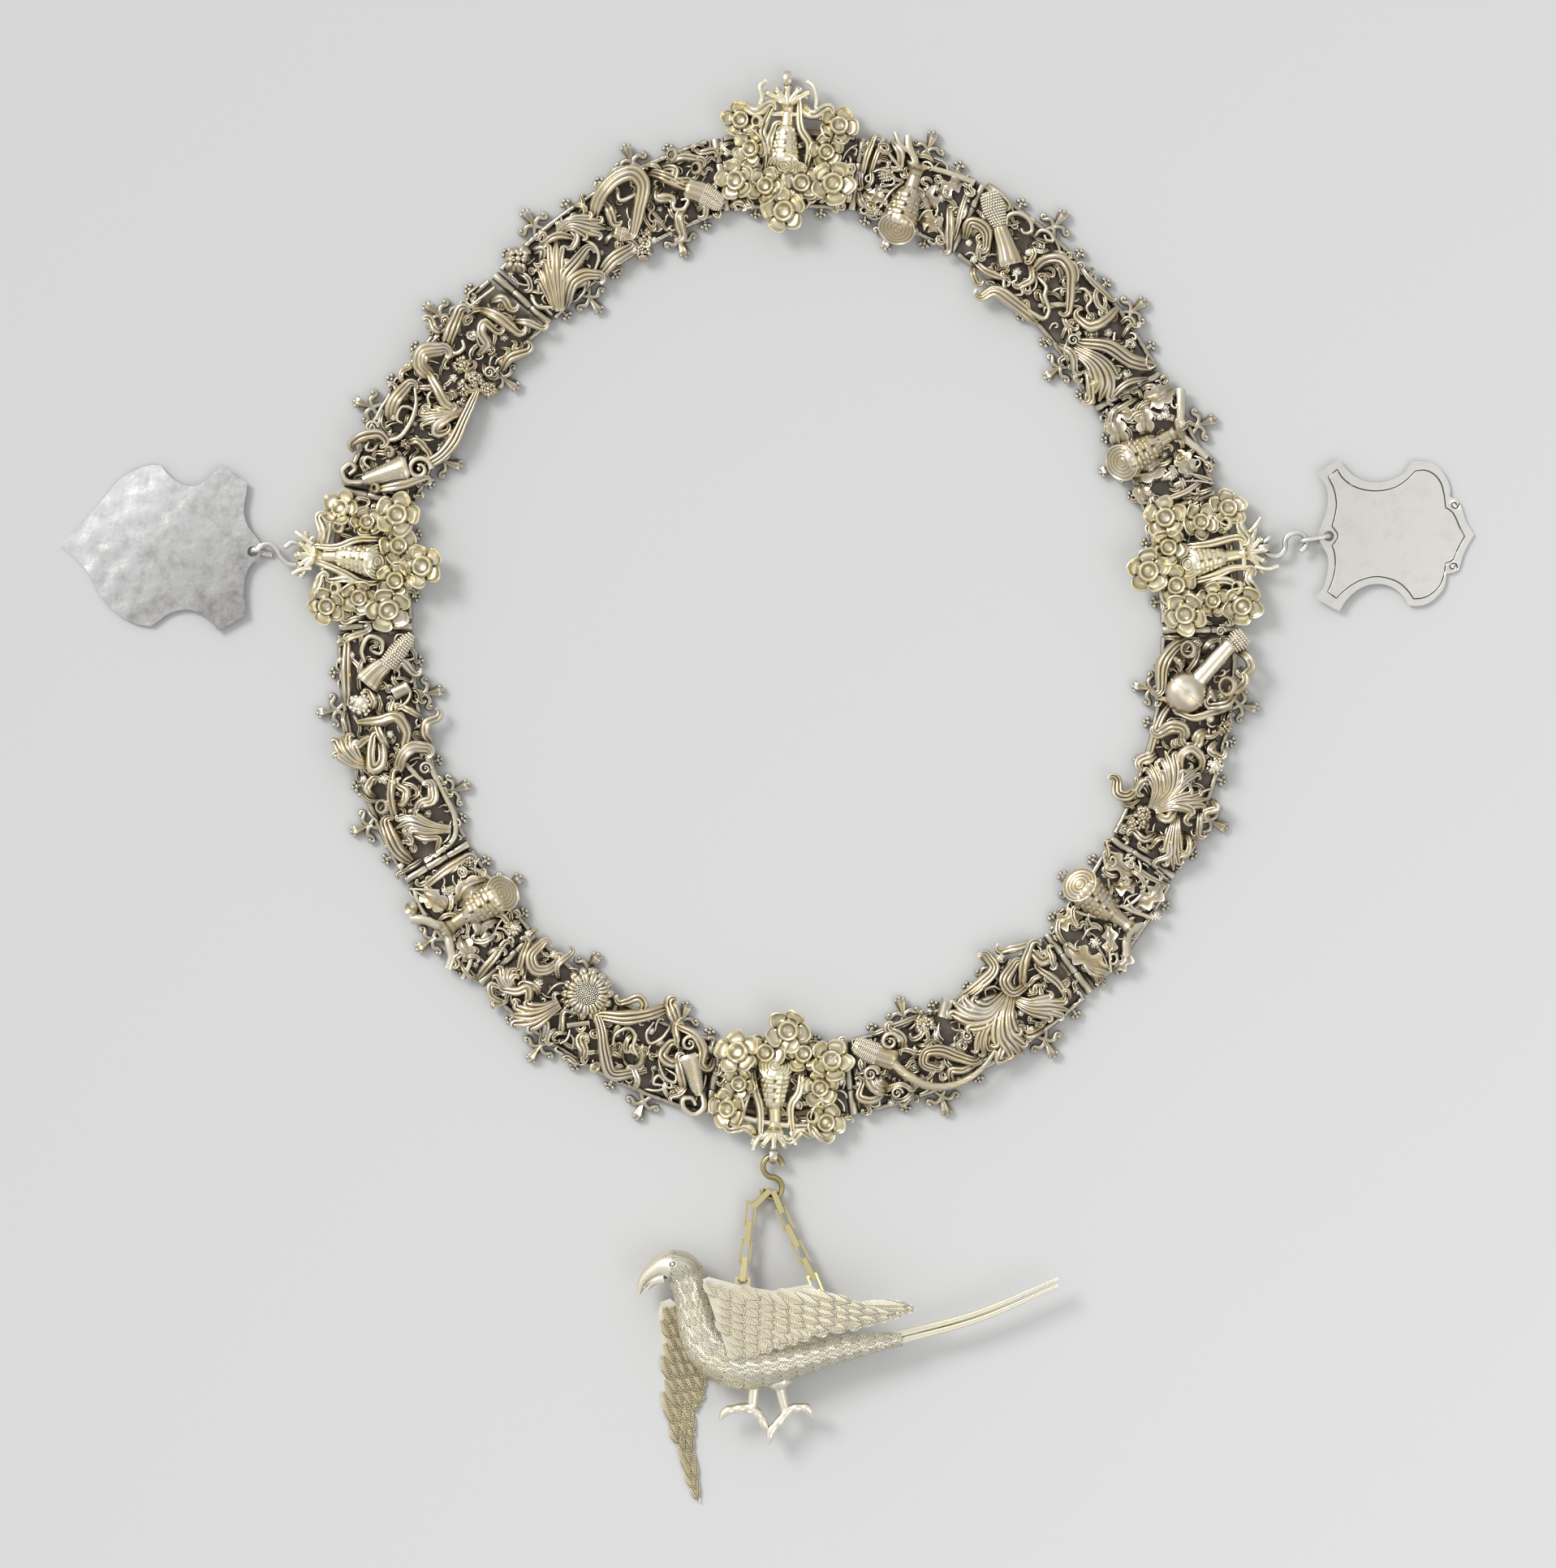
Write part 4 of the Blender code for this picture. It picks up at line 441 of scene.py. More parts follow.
    "d2": """
flower 52 85  10.5,78
leaf 24 65  16,68 20,52 17,30
fan 40 100  7,-92 15,-36 21,10 27,52
fan 30 85  6,-80 11,-30 14,2 16,26
leaf 34 90  9,-90 18,-40 28,-26 34,-16
leaf 34 85  10,-92 20,-62 27,-66 32,-86
strip 12 70  3,-16 2,-44 6,-72
strip 10 70  6,-22 10,-4 12,-16
leaf 22 80  19,64 28,54 32,30
leaf 18 90  26,32 29,8 34,20 34,44
strip 12 65  35,16 38,-22 37,-50 32,-72
fan 40 90  29,62 35,58 41,22 46,-2
leaf 16 70  40,96 43,76 42,54
leaf 38 110  42,30 50,72 59,92 66,84 68,48 62,-8 56,-52
leaf 16 100  55,98 60,112 66,98
strip 13 85  58,70 57,40 62,34 66,40
leaf 28 80  51,60 51,34 50,4
fluted 36 80  48.5,-20 54,-52
flower 34 62  59.5,-70
flower 34 60  55.5,-104
leaf 34 60  31,-90 42,-78 52,-78
leaf 12 60  66,6 63,-24 64,-62
leaf 12 60  66,2 68,-34 70,-76
fluted 58 95  84,-2 92,-38 98.5,-80
strip 12 80  79,-10 77,-42 81,-52 84,-34 81,-28
hoop 18 85  90.5,34
leaf 30 85  72,72 78,38 84,2
leaf 26 80  77,66 82,50 80,24 86,12
leaf 20 80  79,70 86,72 93,52
hoop 18 75  82.5,88
leaf 28 80  74,24 72,2 76,-10
leaf 26 75  83,-46 78,-64 77,-86 77,-110
leaf 18 60  86,-66 91,-64 90,-86
leaf 18 60  92,86 93,70 98,66
leaf 20 55  22,-96 26,-82 20,-74""",
    "top": """
stem 14 100  30,156 33,184 32,212 36,226
stem 13 100  67,156 67,186 65,210 61,224
leaf 26 95  20,174 28,146 36,166
leaf 26 95  57,164 65,136 73,158
hoop 18 100  28.5,122
bar 18 16  22,94 50,98 80,94""",
    "right": """
stem 12 95  33,152 30,170 26,188
stem 12 95  57,152 60,180 59,210
leaf 24 90  19,150 27,130 36,144
leaf 24 90  56,150 65,130 73,146
hoop 18 100  23.5,96
hoop 18 100  70,98
bar 18 16  20,96 48,100 80,96""",
    "bottom": """
stem 13 95  43,124 41,142 40,156
stem 13 95  62,130 66,152 67,170
leaf 24 90  29,140 36,120 42,142
leaf 24 90  65,136 73,114 82,124
hoop 20 95  28.5,86
leaf 20 95  19,146 23,144 30,112
bar 18 16  24,74 52,80 82,74""",
    "left": """
stem 13 95  41,156 40,178 36,202
stem 14 95  58,156 62,178 65,198
leaf 24 90  20,162 28,140 35,134
leaf 24 90  56,144 66,130 76,144
hoop 18 95  27.5,94
hoop 20 95  73.5,90
bar 18 16  22,90 50,94 80,90""",
}

# Tree stumps: foot, waist and neck end as shares along and across, and girth of the trunk
STUMPS = {
    "a1": ((.45, -.98), (.47, .00), (.47, .72), 1.00), "a3": ((.50, -.96), (.48, -.08), (.46, .70), 1.00),
    "b2": ((.49, -.98), (.49, -.12), (.48, .80), 1.00), "c2": ((.47, -.92), (.49, -.04), (.50, .80), 1.00),
    "top": ((.46, .12), (.48, .95), (.49, 1.75), .88), "right": ((.47, -.12), (.47, .70), (.47, 1.48), .84),
    "bottom": ((.55, -.38), (.55, .45), (.54, 1.30), .92), "left": ((.50, -.08), (.51, .78), (.50, 1.58), .94),
}

# Roses of each wreath: share along, share across, size of the rose radius
ROSES = {
    "top": ((.45, -1.10, 1.00), (.31, -.42, .72), (.59, -.37, .76), (.83, -.33, .86), (.76, .45, .68),
            (.83, 1.18, .76), (.09, -.22, .80), (.22, .55, .70), (.18, 1.32, .72)),
    "right": ((.47, -1.20, 1.00), (.30, -.60, .72), (.63, -.55, .76), (.88, -.40, .84), (.05, -.50, .80),
              (.17, .38, .70), (.78, .35, .66), (.84, 1.10, .80), (.13, 1.15, .76)),
    "bottom": ((.46, -1.36, 1.00), (.33, -.78, .74), (.64, -.80, .78), (.87, -.78, .86), (.11, -.55, .84),
               (.22, .15, .74), (.82, .05, .66), (.88, .72, .76), (.19, 1.05, .76)),
    "left": ((.50, -1.28, .98), (.36, -.60, .74), (.65, -.68, .76), (.89, -.55, .86), (.12, -.40, .86),
             (.21, .35, .70), (.80, .18, .64), (.87, .95, .74), (.14, 1.20, .72)),
}

# Fluted ribbons beside each wreath's stump, as shares along and across
RIBBONS = {
    "top": (((.33, -.35), (.35, .50), (.32, .95), (.40, 1.70)), ((.60, -.30), (.64, .60), (.58, 1.00), (.56, 1.72)),
            ((.38, .10), (.36, .70), (.40, 1.10))),
    "right": (((.31, -.50), (.35, .40), (.36, 1.30), (.45, 1.46)), ((.62, -.45), (.60, .40), (.56, .90), (.57, 1.40)),
              ((.66, .00), (.64, .70), (.70, 1.12))),
    "bottom": (((.34, -.70), (.37, .20), (.43, .55), (.42, 1.26)), ((.74, -.55), (.70, .10), (.65, .60), (.63, 1.26)),
               ((.72, .00), (.76, .50), (.77, .96))),
    "left": (((.36, -.55), (.33, .20), (.39, .70), (.47, 1.50)), ((.68, -.60), (.66, .30), (.58, .90), (.57, 1.48)),
             ((.32, .10), (.35, .60), (.33, 1.04))),
}

# Centre of each wreath's bail, as shares along and across
BAILS = {"top": (.49, 2.30), "right": (.46, 1.82), "bottom": (.54, 1.86), "left": (.49, 1.77)}


def read_runs(chart: str) -> list[list[tuple[float, ...]]]:
    """Runs of points from a chart, a run a line, in thousandths."""
    return [[tuple(float(part) / 1000.0 for part in place.split(",")) for place in run.split()]
            for run in chart.strip().splitlines()]


# Run of the left hook from the bail: out towards the shield, sideways, in metres
LEFT_HOOK = (
    (.0080, -.0026), (.0048, -.0051), (.0013, -.0042), (.0000, .0000), (.0016, .0031),
    (.0052, .0036), (.0086, .0013), (.0112, -.0022), (.0141, -.0036), (.0170, -.0026),
)

# Outlines of the tags and the engraved border, in arcs that meet in corners, as shares of a tag's length
LEFT_SHIELD = read_runs("""
-963,30 -900,105 -825,176 -742,274 -667,361 -584,411 -513,432 -463,432
-463,432 -438,403 -388,355 -343,333 -298,327 -253,343 -208,381 -159,427
-159,427 -122,412 -87,382 -27,345
-27,345 -33,286 -44,226 -39,166 -17,116 14,78 38,45
38,45 44,8 35,-30
35,-30 -5,-60 -30,-105 -42,-166 -41,-241 -32,-319
-32,-319 -95,-352 -173,-397
-173,-397 -208,-349 -260,-310 -313,-290 -373,-293 -426,-313 -468,-343 -509,-372
-509,-372 -576,-363 -652,-327 -719,-272 -769,-211 -802,-143 -840,-83 -892,-30 -963,30
""")
RIGHT_SHIELD = read_runs("""
50,384 71,357 128,299 196,271 263,269 324,286 376,316 414,372
414,372 459,375 512,369 557,339 590,293 609,241 608,200
608,200 627,190 652,176 670,135 688,80 730,8
730,8 695,-50 670,-105 658,-150 639,-176 590,-188
590,-188 588,-226 573,-266 534,-311 489,-340 444,-349 399,-345
399,-345 378,-305 339,-268 293,-245 241,-238 181,-250 128,-281 83,-327 53,-376
53,-376 -11,-343 -75,-301
-75,-301 -35,-271 -14,-218 -3,-158 -6,-98 -33,-50
-33,-50 -53,0 -35,60
-35,60 -12,120 -3,181 -11,241 -30,278 -60,311
-60,311 -8,346 50,384
""")
SHIELD_BORDER = read_runs("""
42,333 71,289 128,248 196,229 271,229 339,248 391,283 436,327
436,327 482,331 527,311 561,271 579,211 587,143
587,143 617,125 639,90 655,50 682,0
682,0 655,-50 639,-83 621,-120 587,-135
587,-135 581,-181 561,-241 522,-283 474,-308 426,-313
426,-313 396,-271 354,-233 301,-211 241,-202 181,-212 128,-236 80,-271 38,-311
38,-311 -5,-278
-5,-278 20,-218 33,-150 29,-83 17,-48
17,-48 48,0 17,50
17,50 32,105 39,158 27,233 -3,296
-3,296 42,333
""")
SHIELD_SCROLLS = ((.633, .158, 1.0), (.624, -.153, -1.0))

# Bird from beak to rump: right and up from the beak tip and half depth in lengths, half thickness
BIRD_LINE = read_runs("1,-4,4,60 10,26,13,150 36,51,22,260 66,63,34,370 100,55,42,410 120,20,43,410 131,-26,42,400 "
                      "144,-78,50,430 172,-128,60,480 228,-164,63,500 300,-168,56,480 368,-156,46,420 "
                      "457,-137,34,340 549,-121,24,260 624,-110,15,180")[0]
SCALE_LENGTH, SCALE_WIDTH = 0.0065, 0.0036
BIRD_TAIL = ((.600, -.112, .013), (.800, -.058, .010), (.994, .024, .007))
NEAR_WING = read_runs("152,35 166,41 243,20 319,8 405,24 452,-14 552,-28 660,-35 "
                      "585,-56 492,-82 446,-90 363,-110 326,-124 272,-146 216,-154 176,-38")[0]
FAR_WING = read_runs("50,-28 74,-20 110,-50 210,-85 240,-120 220,-160 150,-214 148,-252 "
                     "128,-290 124,-362 147,-510 112,-446 89,-363 56,-252 58,-170 46,-55")[0]
BIRD_LEGS = read_runs("""
280,-170 274,-220 268,-284
272,-272 236,-276 206,-284 192,-306
264,-272 286,-292 306,-330
326,-170 336,-230 350,-288
346,-282 376,-274 400,-276 412,-298
354,-280 334,-306 314,-330 310,-362
""")
BIRD_LUGS = ((.242, -.018), (.445, -.046))
STRAND_ROUTES = (((.20, .0050, .0044), (.62, .0026, .0052)), ((.30, .0006, .0044), (.66, -.0004, .0052)))
STRAND_STARTS = (-50.0, 32.0)
STRAND_LINKS = (6, 7)


# How much fuller each kind of ornament is than its charted width, since its leaves curl over
FULLNESS = {"leaf": 1.12, "fan": 1.30, "strip": 1.30, "stem": 1.05, "holly": 1.25, "oak": 1.25, "ring": 1.25,
            "hoop": 1.20, "flower": 1.50, "spiky": 1.50, "berry": 1.15, "cob": 1.10, "horn": 1.10}


class Form(Enum):
    """Kinds of cast ornament."""

    LEAF = "leaf"
    FAN = "fan"
    STRIP = "strip"
    CURL = "curl"
    STEM = "stem"
    ROPE = "rope"
    COB = "cob"
    FLUTED = "fluted"
    SKIRT = "skirt"
    HORN = "horn"
    HEXAGON = "hexagon"
    BULB = "bulb"
    SUN = "sun"
    FLOWER = "flower"
    SPIKY = "spiky"
    BERRY = "berry"
    KNOB = "knob"
    RING = "ring"
    HOOP = "hoop"
    HOLLY = "holly"
    OAK = "oak"
    ACORN = "acorn"
    SERPENT = "serpent"
    TUBE = "tube"
    BAR = "bar"


# Height of the middle line at five even places, as shares of its greatest
HOLLY_CREST, STRIP_CREST, LEVEL_CREST = (.55, .9, 1.0, .85, .5), (.55, .9, 1.0, 1.0, 1.0), (1.0, 1.0, 1.0, 1.0, 1.0)
CRESTS = {
    Form.LEAF: (.30, .85, 1.0, .92, .70), Form.FAN: (.55, .95, 1.0, .90, .60), Form.HOLLY: HOLLY_CREST,
    Form.OAK: HOLLY_CREST, Form.STRIP: STRIP_CREST, Form.CURL: STRIP_CREST, Form.STEM: (.75, .85, .9, .9, .8),
    Form.ROPE: (.9, 1.0, 1.0, 1.0, .9), Form.SERPENT: (.8, 1.0, 1.0, 1.0, .7), Form.BAR: LEVEL_CREST,
    Form.TUBE: LEVEL_CREST,
}

# Lobes of a fan leaf: share of its length and how far each spreads to the side
LOBES = ((1.0, 0.0), (.88, .62), (.88, -.62), (.66, 1.25), (.66, -1.25))

# Rings of the sunflower: petals, inner and outer radius, lift; then the profiles of its dome and of the bulb
SUN_RINGS = ((14, .45, 1.0, .62), (13, .42, .82, .80))
DOME_RADII = np.array([0.0, .5, .9, 1.0, .9, .3])
DOME_HEIGHTS = np.array([.98, .92, .72, .60, .45, .40])
BULB_RADII = np.array([0.0, .25, .5, .72, .88, .97, 1.0, .93, .78, .5, .2])
BULB_HEIGHTS = np.array([1.0, .99, .955, .88, .77, .62, .48, .34, .22, .12, .10])

# Girths along a trunk in trunk radii, and along a bird's leg and toe in millimetres: stops, then values
TRUNK_GIRTH = ([0, .03, .48, .52, .80, .92, 1], [1.06, 1.10, .76, .52, .42, .56, .80])
LEG_GIRTH = ([0, .30, .42, .50, .9, 1], [4.4, 4.8, 4.4, 2.1, 1.9, 2.3])
TOE_GIRTH = ([0, .22, .34, .50, .62, .80, .88, 1], [2.2, 1.8, 2.1, 1.7, 2.0, 1.6, 1.1, .35])

# Radius of each turned body along its length, as shares of its greatest
BODY_PROFILES = {
    Form.COB: ([0, .08, .45, .85, 1], [.45, .85, 1.0, .72, .30]),
    Form.FLUTED: ([0, .08, .45, .9, 1], [.60, .95, 1.0, .74, .45]),
    Form.SKIRT: ([0, .1, .5, .9, 1], [.55, .66, .82, 1.05, .96]),
    Form.HORN: ([0, .1, .5, .92, 1], [.40, .48, .74, 1.05, .90]),
    Form.HEXAGON: ([0, .04, .5, .96, 1], [.80, .92, 1.0, 1.12, 1.02]),
    Form.ACORN: ([0, .30, .34, .8, 1], [.80, 1.10, .86, .70, .15]),
}

# Profile of a rose from its heart out and round under its petals: radius, height, share of the petals' wave
ROSE_HEART = ((.02, -.44), (.14, -.44), (.25, -.36), (.31, -.14), (.345, .00), (.39, .03), (.43, -.04), (.46, -.22),
              (.50, -.36))
ROSE_PETAL = ((.58, -.36, .5), (.70, -.32, .7), (.80, -.24, .9), (.865, -.10, 1.0), (.905, .02, 1.0),
              (.945, .08, 1.0), (.98, .05, 1.0), (1.0, -.05, 1.0), (.985, -.16, 1.0), (.92, -.27, .9),
              (.70, -.50, .5), (.30, -.80, .0))


class Edge(Enum):
    """How the long edges of a leaf are cut."""

    PLAIN = 0
    SPINES = 1
    LOBES = 2


@dataclass(frozen=True)
class Row:
    """One row of ornament: form, full width, height of its top over the plate, places on the link, number."""

    form: Form
    width: float
    height: float
    places: Places
    number: int = 0


def chart_rows(name: str) -> list[Row]:
    """Read the chart of a link's ornament.

    Args:
        name: name of the link.

    Returns:
        Its rows, with widths and heights in metres.
    """
    rows = []
    for number, line in enumerate(ORNAMENT[name].strip().splitlines()):
        kind, width, height, *places = line.split()
        full = float(width) / 100.0 * BAND_HALF_WIDTH * FULLNESS.get(kind, 1.0)
        points = [tuple(float(share) / 100.0 for share in place.split(",")) for place in places]
        rows.append(Row(Form(kind), full, float(height) / 100.0 * FOLIAGE_HEIGHT, points, number))
    return rows


def linear(code: str) -> tuple[float, float, float, float]:
    """Turn an sRGB hex colour into linear values.

    Args:
        code: colour as six hex digits after a hash sign.

    Returns:
        Red, green, blue and an alpha of one.
    """
    parts = [int(code[i:i + 2], 16) / 255.0 for i in (1, 3, 5)]
    parts = [c / 12.92 if c <= 0.04045 else ((c + 0.055) / 1.055) ** 2.4 for c in parts]
    return (parts[0], parts[1], parts[2], 1.0)


def add_node(tree: Tree, kind: str, links: dict | None = None, values: dict | None = None,
             **settings: object) -> bpy.types.Node:
    """Add one node with its settings, socket values and incoming links.

    Args:
        tree: node tree that takes the node.
        kind: Blender's name of the node type.
        links: input name or number to the output socket that feeds it.
        values: input name or number to its constant.
        settings: properties of the node itself.

    Returns:
        The new node.
    """
    node = tree.nodes.new(kind)
    for key, value in settings.items():
        setattr(node, key, value)
    for key, value in (values or {}).items():
        node.inputs[key].default_value = value
    for key, socket in (links or {}).items():
        tree.links.new(socket, node.inputs[key])
    return node


class Graph:
    """A node tree that is being wired, with the steps that the finishes share."""

    def __init__(self, tree: Tree) -> None:
        """Take the tree that is to be wired."""
        self.tree = tree

    def add(self, kind: str, links: dict | None = None, values: dict | None = None,
            **settings: object) -> bpy.types.Node:
        """One node of a kind, wired and set as in add_node."""
        return add_node(self.tree, kind, links, values, **settings)

    def noise(self, place: Socket, size: float, detail: float, roughness: float = 0.5) -> Socket:
        """Noise from zero to one, with features of a size."""
        return self.add("ShaderNodeTexNoise", {"Vector": place},
                        {"Scale": 1.0 / size, "Detail": detail, "Roughness": roughness}).outputs["Fac"]

    def remap(self, value: Socket, start: float = 0.0, stop: float = 1.0, low: float = 0.0,
              high: float = 1.0) -> Socket:
        """Value carried from the range between start and stop to the one between low and high."""
        return self.add("ShaderNodeMapRange", {"Value": value},
                        {"From Min": start, "From Max": stop, "To Min": low, "To Max": high}).outputs[0]

    def mix(self, share: Socket, first: Socket | str, second: str) -> Socket:
        """Colour between two, where the first may be a socket and hex codes are turned to linear values.

        Args:
            share: share of the second colour.
            first: socket or hex code of the first.
            second: hex code of the second.

        Returns:
            Socket with the mixed colour.
        """
        coded = isinstance(first, str)
        return self.add("ShaderNodeMix", {0: share} if coded else {0: share, 6: first},
                        {6: linear(first), 7: linear(second)} if coded else {7: linear(second)},
                        data_type="RGBA").outputs[2]

    def maths(self, operation: str, first: Socket | float, second: Socket | float = 0.0,
              clamp: bool = False) -> Socket:
        """One sum on sockets or constants.

        Args:
            operation: Blender's name of the sum.
            first: its first term.
            second: its second term.
            clamp: whether to keep it between zero and one.

        Returns:
            Socket with the result.
        """
        links, values = {}, {}
        for number, item in enumerate((first, second)):
            (links if isinstance(item, Socket) else values)[number] = item
        return self.add("ShaderNodeMath", links, values, operation=operation, use_clamp=clamp).outputs[0]

    def lean(self, place: Socket, way: Sequence[float]) -> Socket:
        """How far a place lies along a direction."""
        return self.add("ShaderNodeVectorMath", {0: place}, {1: tuple(way)}, operation="DOT_PRODUCT").outputs["Value"]

    def bump(self, height: Socket, strength: float, depth: float, under: Socket | None = None,
             sunk: bool = False) -> Socket:
        """Surface direction with a relief, laid over another one where it is given."""
        return self.add("ShaderNodeBump", {"Height": height} if under is None else {"Height": height, "Normal": under},
                        {"Strength": strength, "Distance": depth}, invert=sunk).outputs[0]

    def metal(self, colour: Socket, gloss: Socket, normal: Socket) -> None:
        """Close a material as bare metal.

        Args:
            colour: socket with its colour.
            gloss: socket with its roughness.
            normal: socket with its surface direction.
        """
        shader = self.add("ShaderNodeBsdfPrincipled", {"Base Color": colour, "Roughness": gloss, "Normal": normal},
                          {"Metallic": 1.0})
        self.add("ShaderNodeOutputMaterial", {"Surface": shader.outputs[0]})


@dataclass(frozen=True)
class Finish:
    """A metal whose patterns lie on object coordinates."""

    name: str

    def build(self) -> bpy.types.Material:
        """Make the material and wire its patterns.

        Returns:
            The material.
        """
        material = bpy.data.materials.new(self.name)
        material.use_nodes = True
        material.node_tree.nodes.clear()
        graph = Graph(material.node_tree)
        self.wire(graph, graph.add("ShaderNodeTexCoord").outputs["Object"])
        return material

    def wire(self, graph: Graph, place: Socket) -> None:
        """Wire the patterns of the material, which each kind of metal does in its own way."""
        raise NotImplementedError


@dataclass(frozen=True)
class CastMetal(Finish):
    """Cast and chased silver, gilded or bare, with patina and painted shade in its hollows and wear on its ridges.

    The base colour is what shows on the flanks, the worn colour on the ridges that hands have rubbed,
    and the dark colour in the hollows, where sulphide and old polish stay and where painted shade from occlusion and
    from height is laid on too.
    """

    base: str
    second: str
    worn: str
    dark: str
    roughness: float = 0.30
    # low, high and deepest set painted shade by height: below high the metal darkens, reaching deepest at low
    low: float = 1.5 * MM
    high: float = 7.0 * MM
    patch: float = 9.0 * MM
    grain: float = 0.7 * MM
    # reach and shade set painted shade from ambient occlusion, dark in recesses and under overhangs
    bump: float = 0.10
    reach: float = 3.5 * MM
    shade: tuple[float, float] = (0.64, 0.16)
    patches: tuple[float, float] = (0.42, 0.60)
    ridge: tuple[float, float] = (0.515, 0.60)
    hollow: tuple[float, float] = (0.492, 0.43)
    deepest: float = 0.58
    # how far the mix of patina and painted shade goes towards the dark colour
    most_patina_and_shade: float = 0.88

    def chased(self, graph: Graph) -> Socket | None:
        """Depth of a chased pattern, from zero to one, or None on plain castings."""
        return None

    def wire(self, graph: Graph, place: Socket) -> None:
        """Wire two tones of metal, rubbed ridges, patina with painted shade, gloss and grain.

        Args:
            graph: the material's graph.
            place: socket with the place on the object.
        """
        patches = graph.noise(place, self.patch, 4.0, 0.6)
        metal = graph.mix(graph.remap(patches, *self.patches), self.base, self.second)
        sharpness = graph.add("ShaderNodeNewGeometry").outputs["Pointiness"]
        rubbed = graph.mix(graph.remap(sharpness, *self.ridge), metal, self.worn)
        # Hollows found by pointiness take the dark colour: patina, with painted shade in the creases
        hollow = graph.remap(sharpness, *self.hollow)
        # Painted shade from ambient occlusion: darker in recesses and under overhangs
        shade = graph.add("ShaderNodeAmbientOcclusion", None, {"Distance": self.reach}, samples=6)
        deep = graph.remap(shade.outputs["AO"], *self.shade)
        # Painted shade by height: darker towards the bottom
        height = graph.add("ShaderNodeSeparateXYZ", {0: place}).outputs["Z"]
        low = graph.remap(height, self.high, self.low, high=self.deepest)
        patina_and_shade = graph.maths("ADD", graph.maths("MAXIMUM", hollow, deep), low, clamp=True)
        chased = self.chased(graph)
        # Chased lines take the dark colour as the hollows do
        if chased:
            patina_and_shade = graph.maths("MAXIMUM", patina_and_shade, chased)
        # Patina and painted shade pull the colour towards the dark one
        colour = graph.mix(graph.maths("MULTIPLY", patina_and_shade, self.most_patina_and_shade), rubbed, self.dark)
        speck = graph.noise(place, self.grain, 3.0, 0.65)
        gloss = graph.remap(speck, low=self.roughness - 0.07, high=self.roughness + 0.16)
        normal = graph.bump(speck, self.bump * 3.0, 0.12 * MM)
        if chased:
            normal = graph.bump(chased, 0.9, 0.16 * MM, normal, sunk=True)
        graph.metal(colour, gloss, normal)


@dataclass(frozen=True)
class Plumage(CastMetal):
    """Silver-gilt with feathers chased into it: rows of tips, a shaft each and slanting barbs."""

    barb: float = 1.05 * MM
    slope: float = 2.6

    def chased(self, graph: Graph) -> Socket | None:
        """Depth of the chased lines round each feather and of its barbs, from zero to one.

        Args:
            graph: the material's graph.

        Returns:
            Socket with the depth.
        """
        maths = graph.maths
        marks = graph.add("ShaderNodeAttribute", attribute_name="feather").outputs["Vector"]
        flat = graph.add("ShaderNodeSeparateXYZ", {0: marks})
        along, across, long = flat.outputs["X"], flat.outputs["Y"], flat.outputs["Z"]
        shift = maths("MULTIPLY", maths("FLOORED_MODULO", maths("FLOOR", along), 2.0), 0.5)
        side = maths("ABSOLUTE", maths("SUBTRACT", maths("FRACT", maths("ADD", across, shift)), 0.5))
        share = maths("FRACT", along)
        rim = maths("ADD", share, maths("MULTIPLY", maths("POWER", side, 2.0), 1.9))
        tip = maths("SUBTRACT", 1.0, maths("MULTIPLY", maths("ABSOLUTE", maths("SUBTRACT", rim, 0.97)), 14.0))
        shaft = maths("SUBTRACT", 1.0, maths("MULTIPLY", side, 22.0))
        slant = maths("SUBTRACT", maths("MULTIPLY", maths("MULTIPLY", along, long), 1.0 * MM / self.barb),
                      maths("MULTIPLY", side, self.slope * MM / self.barb))
        from_barb = maths("ABSOLUTE", maths("SUBTRACT", maths("FRACT", slant), 0.5))
        barbs = maths("SUBTRACT", 0.80, maths("MULTIPLY", from_barb, 3.4))
        most = maths("MAXIMUM", maths("MAXIMUM", tip, maths("MULTIPLY", shaft, 0.7)), barbs)
        here = maths("MINIMUM", long, 1.0)
        return maths("MULTIPLY", maths("MAXIMUM", most, 0.0), here)


@dataclass(frozen=True)
class SheetSilver(Finish):
    """Rolled and hammered sheet silver: cool, even, with shallow dents and fine scratches."""

    base: str
    dark: str
    roughness: float
    dent: float
    dent_depth: float
    shade: tuple[float, float, float, float] = (0.0, 0.0, 0.0, 0.0)

    def wire(self, graph: Graph, place: Socket) -> None:
        """Wire stains, a sweep of shade, dents, scratches and gloss.

        Args:
            graph: the material's graph.
            place: socket with the place on the object.
        """
        stains = graph.noise(place, 6.0 * MM, 6.0, 0.7)
        share = graph.remap(stains, 0.45, 0.78, high=0.45)
        right, up, start, most = self.shade
        sweep = graph.remap(graph.lean(place, (right, up, 0.0)), start, start + 1.0, high=most)
        colour = graph.mix(graph.maths("ADD", share, sweep, clamp=True), self.base, self.dark)
        dents = graph.noise(place, self.dent, 2.0)
        stretch = graph.add("ShaderNodeMapping", {"Vector": place}, {"Scale": (900.0, 150.0, 150.0)})
        scratches = graph.noise(stretch.outputs[0], 1.0, 2.0)
        relief = graph.bump(dents, 0.6, self.dent_depth)
        normal = graph.bump(scratches, 0.12, 0.05 * MM, relief)
        gloss = graph.remap(stains, low=self.roughness - 0.08, high=self.roughness + 0.14)
        graph.metal(colour, gloss, normal)


